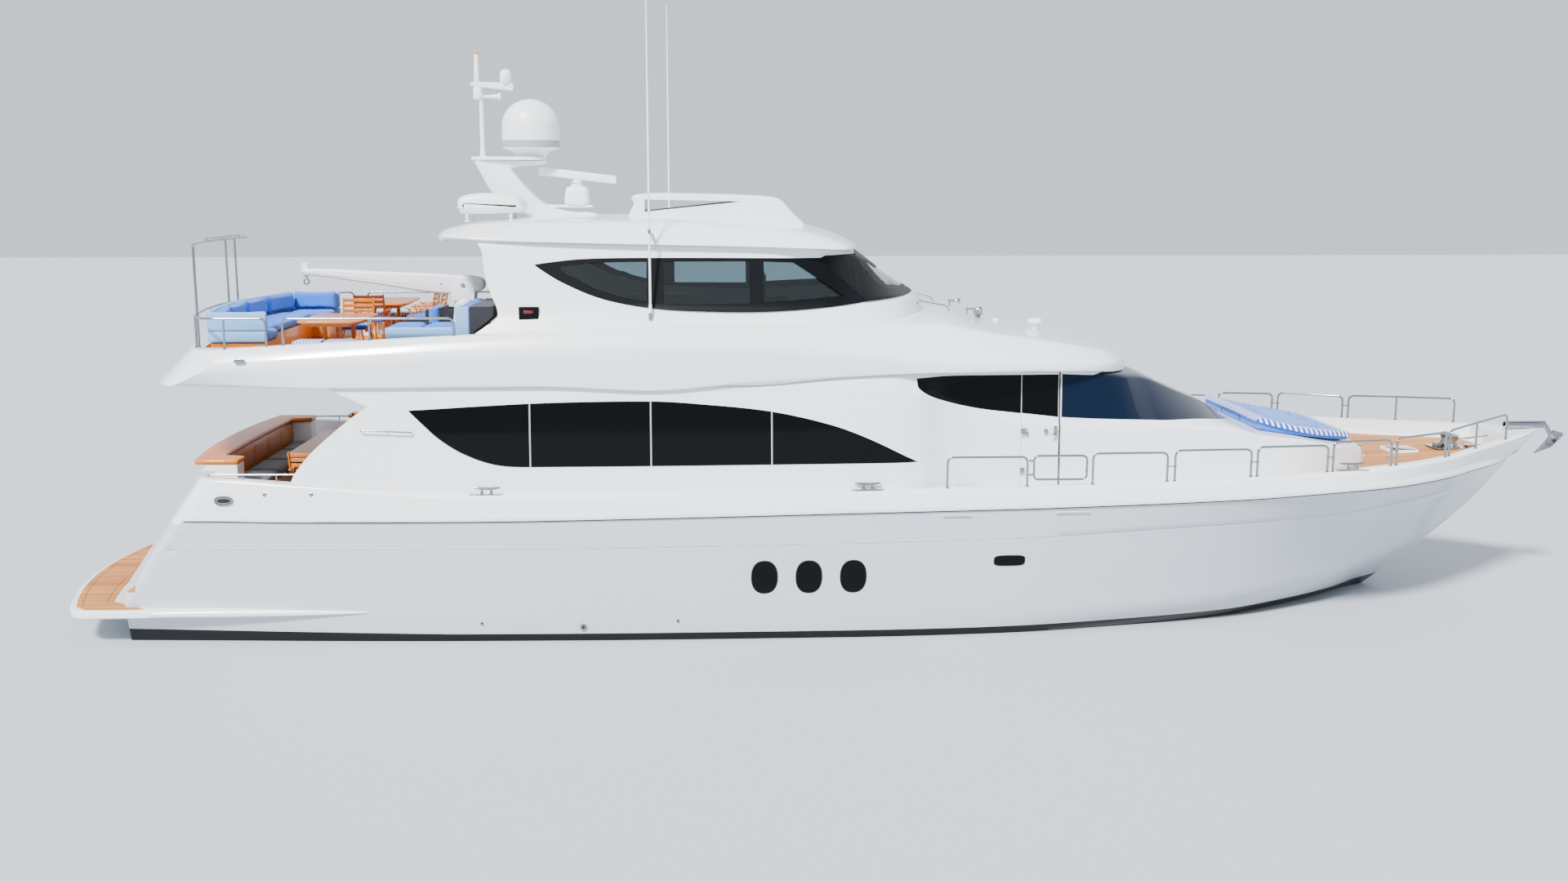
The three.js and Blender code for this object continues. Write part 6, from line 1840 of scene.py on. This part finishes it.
def makeBench():
    x0, x1, y0, y1, seat, pad, top = bench.values()
    floor = flyDeck["floor"]
    base = [blockPart(x0 + 0.07, x1 - 0.02, y0 + 0.06, y1 - 0.07, floor + 0.001, 4.26, 0.02),
            blockPart(x0 + 0.03, x1, y0 + 0.02, y1 - 0.03, 4.26, seat, 0.03, 0.008)]
    makeParts("bench_base", base, varnish, ["fly_bench"])
    pads = [padPart(x0 + 0.01, -6.47, y0 + 0.08, y1 - 0.01, seat + 0.008, pad),
            padPart(-6.44, -5.93, y0 + 0.08, y1 - 0.01, seat + 0.008, pad),
            padPart(-5.91, x1 - 0.01, y0 + 0.08, -1.66, seat + 0.02, top),
            padPart(-5.91, x1 - 0.01, -1.63, -0.76, seat + 0.02, top)]
    makePads("bench_pads", pads, blueCloth, ["fly_bench_cushion"])
    # strips on the near face of the bench in the paler canvas: painted light
    front = [blockPart(x0, -5.93, y0 - 0.002, y0 + 0.075, seat + 0.004, pad - 0.002, 0.036, 0.034),
             blockPart(-5.925, x1 + 0.01, y0 - 0.002, y0 + 0.075, seat + 0.004, top - 0.004, 0.036, 0.034)]
    makePadded("bench_front_lit_covers", front, litBlueCloth)
    side = inMetres([(-5705, 4640), (-5660, 4640), (-5640, 4740), (-5490, 4860), (-5365, 4975), (-5365, 5120),
                          (-5705, 5120)])
    # the back covers in grey darkened as painted shade
    makePadded("bench_back_covers", [slabPart(side, y0 + 0.01, -0.77, 0.012, "y")], shadedCharcoalCloth)
    # two armchairs beside it, facing aft, their backs and sides in grey darkened as painted shade
    seats, shells, feet = [], [], []
    for y in (-1.2, 1.2):
        seats += [padPart(-7.06, -6.47, y - 0.3, y + 0.3, 4.47, 4.62), padPart(-6.5, -6.36, y - 0.3, y + 0.3, 4.6,
            5.04)]
        shells += [blockPart(-6.35, -6.3, y - 0.36, y + 0.36, 4.3, 5.03, 0.02, 0.016),
                   *[blockPart(-7.02, -6.34, y + side * 0.34 - 0.03, y + side * 0.34 + 0.03, 4.3, 4.8, 0.028, 0.02)
                     for side in (-1, 1)],
                   blockPart(-7.04, -6.35, y - 0.31, y + 0.31, 4.3, 4.45, 0.02, 0.012)]
        feet += [legPart(x, y + side * 0.27, floor + 0.011, 4.31, 0.06) for x in (-6.96, -6.42) for side in (-1, 1)]
    makePads("armchair_pads", seats, blueCloth)
    makePadded("armchair_covers", shells, shadedCharcoalCloth)
    makeParts("armchair_feet", feet, varnish)


makeSettee()
makeFlyFurniture()
makeBench()
print("fly deck furniture")

# ---- crane


crane = {"x": -6.185, "pinZ": 5.29, "pinRadius": 0.03, "boreRadius": 0.0305}


def makeCrane():
    x, pinZ, pinRadius, boreRadius = crane.values()
    column = turnedPart([(0.37, 4.1715), (0.37, 4.19), (0.35, 4.21), (0.3, 4.32), (0.255, 4.45), (0.22, 4.6),
        (0.195, 4.75), (0.18, 4.88), (0.18, 4.953)], (x, 0, 0), sides=64)
    makeParts("crane_column", [column], whitePlastic, ["crane_pedestal"])
    drum = lathePart([(0, 4.9555), (0.185, 4.9555), (0.185, 5.03), (0.17, 5.055), (0, 5.06)], (x, 0, 0), sides=48)
    cheek = smoothOutline([(-6365, 5030), (-6005, 5030), (-6000, 5240), (-6110, 5385), (-6185, 5400), (-6260, 5385),
                           (-6370, 5240)], sharp=(0, 1))
    cheeks = [slabPart(cheek, y - 0.016, y + 0.016, 0.006, "y") for y in (0.15, -0.15)]
    pin = turnedPart([(pinRadius, -0.185), (pinRadius, 0.185)], (x, 0, pinZ), (0, 1, 0), 28)
    caps = [turnedPart([(0.034, 0), (0.034, 0.008), (0.026, 0.014)], (x, side * 0.166, pinZ), (0, side, 0),
        28) for side in (1, -1)]
    makeParts("crane_turret", [drum, *cheeks], whitePlastic, ["crane_head"], "crane_head")
    makeParts("crane_pin", [pin, *caps], steel, body="crane_head")
    arm = smoothOutline([(-8750, 5562), (-8840, 5530), (-8850, 5490), (-8780, 5452), (-8600, 5440), (-7600, 5300),
                         (-6710, 5165), (-6200, 5145), (-5930, 5175), (-5840, 5270), (-5890, 5395), (-6200, 5445),
                         (-7400, 5500)], steps=5)
    body = makeJoined("arm", [slabPart(arm, -0.12, 0.12, 0.035, "y", 4)], whitePlastic)
    hole = makeJoined("hole", [turnedPart([(boreRadius, -0.3), (boreRadius, 0.3)], (x, 0, pinZ), (0, 1, 0), 28)],
                      whitePlastic)
    cutAway(body, hole)
    settle(body, "crane_arm", ["crane_boom"], "crane_boom", 35, whitePlastic)
    head = [turnedPart([(0.05, -0.07), (0.06, -0.05), (0.06, 0.05), (0.05, 0.07)], (-8.79, 0, 5.6), (0, 1, 0), 28),
            blockPart(-8.83, -8.75, -0.05, 0.05, 5.54, 5.6, 0.02, 0.006),
            blockPart(-8.815, -8.755, -0.035, 0.035, 5.38, 5.48, 0.02, 0.008)]
    makeParts("crane_tip", head, whitePlastic, body="crane_boom")
    t = np.linspace(0, 2 * np.pi, 25)
    eye = rowsOf(-8.785 + 0.042 * np.cos(t), 0, 5.345 + 0.042 * np.sin(t))
    rope = [(-8.785, 0, 5.53), (-8.785, 0, 5.39)]
    buttons = [turnedPart([(0.014, 0), (0.014, 0.006)], (bx, side * 0.12, bz), (0, side, 0), 18)
               for bx, bz in ((-6.55, 5.31), (-5.98, 5.3)) for side in (1, -1)]
    makeParts("crane_hook", [tubePart(eye, 0.013, sides=12), tubePart(rope, 0.008, sides=10), *buttons], steel,
        body="crane_boom")


makeCrane()
print("crane")

# ---- cockpit


def makeCockpit():
    outer = bowedLine(2.31, 0.19, -10.02)
    y = np.linspace(-1.86, 1.86, 17)
    inner = rowsOf(-9.68 - 0.05 * (1 - (y / 1.86) ** 2), y)
    plan = np.concatenate([outer, [(-9.345, -2.31), (-9.345, -1.94)], inner, [(-9.345, 1.94), (-9.345, 2.31)]])
    cap = slabPart(bendLoop(plan, 0.06, 4), 2.6808, 2.764, 0.036, steps=5)
    makeParts("cockpit_cap", [cap], varnish, ["coaming_cap"], angle=50)
    base = [blockPart(-9.715, -9.13, -1.92, 1.92, 1.912, 2.2, 0.03, 0.01)]
    makeParts("cockpit_seat_base", base, gelcoat, ["cockpit_seat"])
    back = [blockPart(-9.718, -9.69, -1.93, 1.93, 2.2, 2.672, 0.012, 0.004)]
    for k in range(5):
        y0 = -1.9 + k * 0.765
        back.append(blockPart(y0, y0 + 0.74, 2.38, 2.65, -9.692, -9.68, 0.02, 0.004, "x"))
    makeParts("cockpit_back_panels", back, varnish)
    pads = [padPart(-9.67, -9.1, y0, y0 + 0.94, 2.205, 2.345) for y0 in (-1.92, -0.96, 0.01, 0.97)]
    makePads("cockpit_pads", pads, greyCloth, cap=0.014)
    table = tableParts(-8.95, -7.85, -1.5, 1.5, 2.64, 1.911, 0.42)
    makeParts("cockpit_dining", table, varnish, ["cockpit_table"], angle=40)
    places = [(-7.5, -0.95, 180), (-7.5, 0.0, 180), (-7.5, 0.95, 180), (-8.4, -1.8, 90), (-8.4, 1.8, -90)]
    makeChairs("cockpit", places, 1.911, greyCloth)
    cabinet = blockPart(-8.75, -8.2, 2.3, 2.7, 1.912, 2.7, 0.08, 0.02)
    makeParts("cockpit_cabinet", [cabinet], gelcoat)
    makeParts("cockpit_cabinet_top", [blockPart(-8.8, -8.15, 2.26, 2.72, 2.701, 2.755, 0.09, 0.022)], varnish)


makeCockpit()


def makeSaloonEntrance():
    x0, x1, y0, y1, z0, z1 = -6.7, -6.66, -0.75, 0.55, 1.912, 3.8395
    frameWidth = 0.06
    outer = roundedPlan(y0, y1, z0, z1, 0.02)
    frame = makeJoined("frame", [slabPart(outer, x0, x1, 0.004, "x")], whitePlastic)
    hole = blockPart(y0 + frameWidth, y1 - frameWidth, z0 + frameWidth, z1 - frameWidth, x0 - 0.1, x1 + 0.1, 0.02, 0,
        axis="x")
    cutAway(frame, makeJoined("hole", [hole], whitePlastic))
    settle(frame, "saloon_slider_frame", ["saloon_door"], "saloon_door", material=blackTrim)
    pane = blockPart(y0 + 0.055, y1 - 0.055, z0 + 0.055, z1 - 0.055, x0 + 0.014, x1 - 0.014, 0.02, 0.002, "x")
    makeParts("saloon_slider_pane", [pane], darkGlass, body="saloon_door")
    handle = tubePart([(x0, -0.7, 2.75), (x0 - 0.05, -0.7, 2.75), (x0 - 0.05, -0.7, 3.05), (x0, -0.7, 3.05)], 0.01,
        0.02)
    makeParts("saloon_slider_handle", [handle], steel, body="saloon_door")
    fixed = [blockPart(low, high, 2.05, 3.72, -6.6545, -6.649, 0.05, 0.002, "x")
             for low, high in ((-2.35, -0.86), (0.64, 2.35))]
    makeParts("saloon_aft_windows", fixed, darkGlass)


makeSaloonEntrance()
print("cockpit")

# ---- foredeck


def softenNode(node, name, material, width, body="yacht", angle=30.0, segments=3):
    # the frame's own solid, merged, its edges rounded
    piece = copyOf(frame["nodes"][node], name)
    working = bmesh.new()
    working.from_mesh(piece.data)
    bmesh.ops.remove_doubles(working, verts=working.verts, dist=0.0001)
    working.to_mesh(piece.data)
    working.free()
    bevel = piece.modifiers.new("bevel", "BEVEL")
    bevel.width, bevel.segments = width, segments
    bevel.limit_method, bevel.angle_limit = "ANGLE", math.radians(angle)
    bakeModifiers(piece)
    return settle(piece, name, [node], body, 40, material)


softenNode("anchor", "anchor_polished", steel, 0.006)
softenNode("anchor_roller", "bow_roller", steel, 0.003)
for sideName in ("port", "starboard"):
    softenNode(f"strut_{sideName}", f"shaft_strut_{sideName}", bronze, 0.008)
    softenNode(f"propeller_{sideName}", f"screw_{sideName}", bronze, 0.004, f"propeller_{sideName}")
    softenNode(f"rudder_{sideName}", f"rudder_blade_{sideName}", bronze, 0.006, f"rudder_{sideName}")


def deckAt(x):
    return float(sheerAt(x)[2][0])


def makeGroundTackle():
    z = deckAt(10.75) + 0.012
    x = 10.72
    plate = blockPart(x - 0.32, x + 0.3, -0.26, 0.26, z, z + 0.012, 0.06, 0.004)
    parts = [plate]
    for y in (-0.13, 0.14):
        parts.append(lathePart([(0, 0), (0.13, 0), (0.13, 0.03), (0.1, 0.045), (0.075, 0.1), (0.08, 0.16),
            (0.105, 0.19), (0.105, 0.21), (0.05, 0.235), (0, 0.24)], (x, y, z + 0.011), sides=36))
    parts.append(blockPart(x - 0.27, x - 0.13, -0.08, 0.08, z + 0.011, z + 0.09, 0.03, 0.012))
    parts.append(tubePart([(x + 0.1, 0.14, z + 0.1), (11.4, 0.05, deckAt(11.4) + 0.16), (11.72, 0.0, 2.79)], 0.012,
        0.04))
    parts.append(blockPart(11.0, 11.36, -0.09, 0.09, deckAt(11.2) + 0.005, deckAt(11.2) + 0.03, 0.05, 0.005))
    for y in (-0.62, 0.62):
        parts.append(turnedPart([(0.06, 0), (0.06, 0.01), (0.045, 0.016)], (9.42, y, deckAt(9.42) + 0.01), sides=28))
    makeParts("windlass", parts, steel)
    z = deckAt(9.85) + 0.012
    outer = roundedPlan(9.6, 10.1, -0.27, 0.27, 0.07)
    makeParts("foredeck_hatch_rim", [slabPart(outer, z - 0.02, z + 0.035, 0.01)], whitePlastic)
    makeParts("foredeck_hatch_pane", [slabPart(grown(outer, -0.045), z + 0.03, z + 0.042, 0.005)], darkGlass)


makeGroundTackle()

sunpadWidths = [(6800, 1420), (7500, 1480), (8000, 1330), (8500, 1000), (8600, 900)]
trunkTop = [(row[0], row[8]) for row in houseStations]


def padRise(x):
    # how much thicker the pads grow towards the windscreen
    return 0.07 * np.clip((7.5 - x) / 0.7, 0, 1)


def makeSunpad():
    parts = []
    for y0, y1 in ((-1, -0.345), (-0.325, 0.325), (0.345, 1)):
        x = np.linspace(6.83, 8.57, 24)
        half = columnsAt(sunpadWidths, x)[:, 0] - 0.02
        top = columnsAt(trunkTop, x)[:, 0]
        rings = [rowsOf(x, half * share, top + level)
                 for share, level in ((y0, 0.008), (y0, 0.108 + padRise(x)), (y1, 0.108 + padRise(x)), (y1, 0.008))]
        parts.append(loftPart(np.stack(rings, 1)))
    makePads("sunpad_cushions", parts, blueCloth, ["sunpad"], 0.018)
    # the cotton cover over it: its surface follows the trunk's crown, its rim drops over the pads' edge
    u, v = np.meshgrid(np.linspace(0, 1, 70), np.linspace(-1, 1, 110), indexing="ij")
    x = 6.81 + 1.78 * u
    half = columnsAt(sunpadWidths, x.ravel())[:, 0].reshape(x.shape) + 0.012
    y = half * v
    top = columnsAt(trunkTop, x.ravel())[:, 0].reshape(x.shape)
    rimV = np.clip((np.abs(v) - 0.955) / 0.045, 0, 1)
    rimU = np.clip((np.abs(u - 0.5) - 0.475) / 0.025, 0, 1)
    drop = 0.075 * np.maximum(rimV, rimU) ** 2
    ripple = 0.004 * np.sin(7 * x + 5 * y) * np.sin(9 * y - 3 * x) + 0.003 * np.sin(23 * y + 4 * x)
    z = top + padRise(x) + 0.136 + 0.004 + ripple - drop
    cover = makePiece("sunpad_cover", np.stack([x, y, z], -1).reshape(-1, 3), gridFaces(*x.shape), towelCloth)
    layer = cover.data.uv_layers.new(name="towelPlace")
    corners = np.empty(len(cover.data.loops), int)
    cover.data.loops.foreach_get("vertex_index", corners)
    layer.data.foreach_set("uv", rowsOf(u.ravel(), v.ravel() / 2 + 0.5)[corners].ravel())
    if cover.data.polygons[0].normal.z < 0:
        cover.data.flip_normals()
    thick = cover.modifiers.new("thick", "SOLIDIFY")
    thick.thickness, thick.offset = 0.005, 0
    bakeModifiers(cover)
    settle(cover, "sunpad_cover", ["towel"], angle=60, material=towelCloth)


makeSunpad()
print("foredeck")

# ---- fittings of the superstructure


def makeWhips():
    for sideName, x, y in (("starboard", -2.97, -2.64), ("port", -2.86, 2.64)):
        path = [(x, y, 4.96), (x, y, 6.3), (x, y, 8.0), (x, y, 10.09)]
        rod = tubePart(path, np.array([0.019, 0.018, 0.015, 0.008]), sides=12)
        sleeve = turnedPart([(0.026, 4.94), (0.027, 5.0), (0.026, 5.12), (0.021, 5.16)], (x, y, 0), sides=20)
        makeParts(f"whip_rod_{sideName}", [rod, sleeve], whitePlastic, [f"whip_{sideName}"])
        inward = -1 if y > 0 else 1
        foot = [turnedPart([(0.03, 0), (0.03, 0.1)], (x, y, 4.93), sides=20),
                blockPart(x - 0.025, x + 0.025, *sorted((y, y + inward * 0.12)), 4.95, 5.01, 0.006, 0.004)]
        clamp = [turnedPart([(0.024, 6.215), (0.024, 6.275)], (x, y, 0), sides=20),
                 blockPart(x - 0.02, x + 0.02, *sorted((y, y + inward * 0.3)), 6.23, 6.26, 0.006, 0.004)]
        makeParts(f"whip_brackets_{sideName}", [*foot, *clamp], steel)


makeWhips()


def skylightY(x, z):
    # half-breadth of the skylounge's side between its base and the foot of its glass
    c = columnsAt(loungeStations, x)[0]
    share = (z - 4.5) / (c[2] - 4.5)
    return c[0] + (c[1] - c[0]) * share


def makeNavLights():
    y = skylightY(-4.78, 5.03)
    box = blockPart(-4.95, -4.65, y - 0.1, y + 0.05, 4.885, 5.12, 0.012, 0.008)
    makeParts("sidelight_boxes", onBothSides([box]), blackTrim)
    lens = blockPart(-4.88, -4.73, 5.022, 5.067, y + 0.046, y + 0.06, 0.02, 0.006, "y")
    makeParts("sidelight_lens_starboard", [mirrored(lens)], redLens)
    makeParts("sidelight_lens_port", [lens], greenLens)


makeNavLights()


def browZ(x):
    return float(columnsAt(upperStations, x)[0, 8])


def makeBrowFittings():
    parts = []
    for x, length in ((1.9, 0.2), (2.2, 0.26)):
        z = browZ(x) + 0.075
        parts.append(lathePart([(0, 0), (0.016, 0), (0.018, length * 0.5), (0.03, length * 0.85), (0.055, length),
            (0.05, length), (0.026, length * 0.86), (0, length * 0.8)], (x, -0.12, z), (1, 0, -0.05), 28))
        parts.append(tubePart([(x + 0.03, -0.12, browZ(x) - 0.02), (x + 0.03, -0.12, z)], 0.012))
    search = (2.45, 0.12, browZ(2.45))
    parts.append(turnedPart([(0.05, -0.01), (0.045, 0.03), (0.02, 0.05)], search, sides=24))
    parts.append(turnedPart([(0.05, -0.08), (0.07, -0.03), (0.075, 0.06), (0.06, 0.07)], (2.45, 0.12, search[2] + 0.1),
        (1, 0, 0.05), 28))
    grip = [(1.25, -1.15, 5.02), (1.27, -1.15, 5.09), (1.75, -1.02, 4.99), (1.8, -1.02, 4.91)]
    parts.append(tubePart(grip, 0.012, 0.03))
    makeParts("brow_chrome", [*parts, mirrored(tubePart(grip, 0.012, 0.03))], steel)
    z = browZ(3.41) - 0.02
    mushroom = [lathePart([(0, 0), (0.05, 0), (0.05, 0.09), (0.11, 0.1), (0.125, 0.125), (0.12, 0.155), (0.08, 0.185),
                           (0, 0.195)], (3.41, 0, z), sides=36),
                turnedPart([(0.06, -0.02), (0.055, 0.04), (0.02, 0.07)], (2.8, 0.35, browZ(2.8) - 0.03), sides=28)]
    makeParts("brow_mushroom", mushroom, whitePlastic)


makeBrowFittings()


def makeGrabRails():
    z, base = 3.32, 2.968
    path = [(-7.3, base, z - 0.01), (-7.3, base + 0.055, z), (-6.55, base + 0.055, z - 0.035), (-6.55, base, z - 0.045)]
    stay = tubePart([(-6.93, base, z - 0.018), (-6.93, base + 0.055, z - 0.018)], 0.009)
    parts = [tubePart(path, 0.011, 0.03), stay]
    makeParts("wing_grab_rails", onBothSides(parts), steel)
    plate = slabPart(ovalOutline((-9.02, 4.36), (0.085, 0.035), 2.6), 2.985, 3.004, 0.005, "y")
    makeParts("fascia_fittings", onBothSides([plate]), steel)


makeGrabRails()
print("superstructure fittings")

# ---- inside the skylounge, seen through its clear glass


def makeLoungeInterior():
    x = np.linspace(-5.5, 0.75, 16)
    y = columnsAt(loungeStations, x)[:, 0] - 0.36
    plan = np.concatenate([rowsOf(x, y), rowsOf(x, -y)[::-1]])
    makeParts("lounge_carpet", [slabPart(plan, 4.171, 4.185, 0.004)], beigeCarpet)
    console = smoothOutline([(60, 4186), (-40, 4700), (-60, 4860), (90, 4965), (330, 5110), (760, 5130), (900, 4900),
                             (900, 4186)], sharp=(0, 7), steps=4)
    makeParts("helm_console", [slabPart(console, -1.25, 1.25, 0.03, "y")], blackTrim)
    screens = []
    for y in (-0.72, 0.0, 0.72):
        face = blockPart(y - 0.3, y + 0.3, -0.14, 0.14, -0.02, 0.004, 0.02, 0.003, "x")
        points = face[0]
        a = math.radians(32)
        turned = rowsOf(points[:, 0] * math.cos(a) + points[:, 2] * math.sin(a) + 0.19, points[:, 1],
            -points[:, 0] * math.sin(a) + points[:, 2] * math.cos(a) + 5.035)
        screens.append((turned, face[1]))
    makeParts("helm_screens", screens, screenBlack)
    t = np.linspace(0, 2 * np.pi, 33)
    wheel = rowsOf(-0.16 + 0.05 * np.sin(t), -0.45 + 0.21 * np.cos(t), 4.93 + 0.2 * np.sin(t))
    spokes = [tubePart([(-0.16, -0.45, 4.93), (-0.16 + 0.05 * math.sin(a), -0.45 + 0.21 * math.cos(a),
                                               4.93 + 0.2 * math.sin(a))], 0.008) for a in (0.5, 2.6, 4.71)]
    hub = tubePart([(-0.18, -0.45, 4.93), (0.02, -0.45, 4.87)], 0.03)
    makeParts("helm_wheel", [tubePart(wheel, 0.014, sides=10), *spokes, hub], steel)
    chairs, posts = [], []
    for y in (-0.45, 0.55):
        x = -0.95
        chairs += [blockPart(x - 0.25, x + 0.25, y - 0.26, y + 0.26, 4.72, 4.85, 0.08, 0.05),
                   blockPart(y - 0.25, y + 0.25, 4.83, 5.5, x - 0.34, x - 0.22, 0.12, 0.05, "x"),
                   *[blockPart(x - 0.2, x + 0.2, y + s * 0.3 - 0.035, y + s * 0.3 + 0.035, 4.96, 5.02, 0.03, 0.025)
                     for s in (-1, 1)]]
        posts += [turnedPart([(0.24, 4.186), (0.22, 4.21), (0.06, 4.24), (0.05, 4.7), (0.12, 4.73)], (x, y, 0),
            sides=28)]
    makePadded("helm_chairs", chairs, blackLeather, angle=50)
    makeParts("helm_chair_posts", posts, steel)
    sofa = [blockPart(-4.7, -2.3, side * 1.75 - 0.33, side * 1.75 + 0.33, 4.19, 4.6, 0.08, 0.05) for side in (1, -1)]
    sofa += [blockPart(-4.7, -2.3, side * 2.08 - 0.09, side * 2.08 + 0.09, 4.5, 4.98, 0.07, 0.05) for side in (1, -1)]
    makePadded("lounge_sofas", sofa, creamCloth, angle=50)
    table = [blockPart(-4.0, -3.0, -0.5, 0.5, 4.78, 4.82, 0.2, 0.014), legPart(-3.5, 0.0, 4.187, 4.78, 0.16)]
    makeParts("lounge_table", table, varnish)
    liner = slabPart(np.array([(-5.3, -2.2), (-5.3, 2.2), (-0.6, 2.1), (-0.1, 1.5), (-0.1, -1.5), (-0.6, -2.1)]), 5.87,
        5.9, 0.004)
    makeParts("lounge_headliner", [liner], linerVinyl)
    doors = [blockPart(y0, y1, 4.2, 5.93, -5.4, -5.37, 0.03, 0.004, "x") for y0, y1 in ((-0.58, -0.005), (0.005, 0.58))]
    makeParts("lounge_aft_doors", doors, darkGlass)


makeLoungeInterior()
print("interior")

# ---- finishes of the solids that stay visible

for node in ("engine_port", "engine_starboard"):
    solid = frame["nodes"][node]
    solid.data.materials.clear()
    solid.data.materials.append(castEnamel)
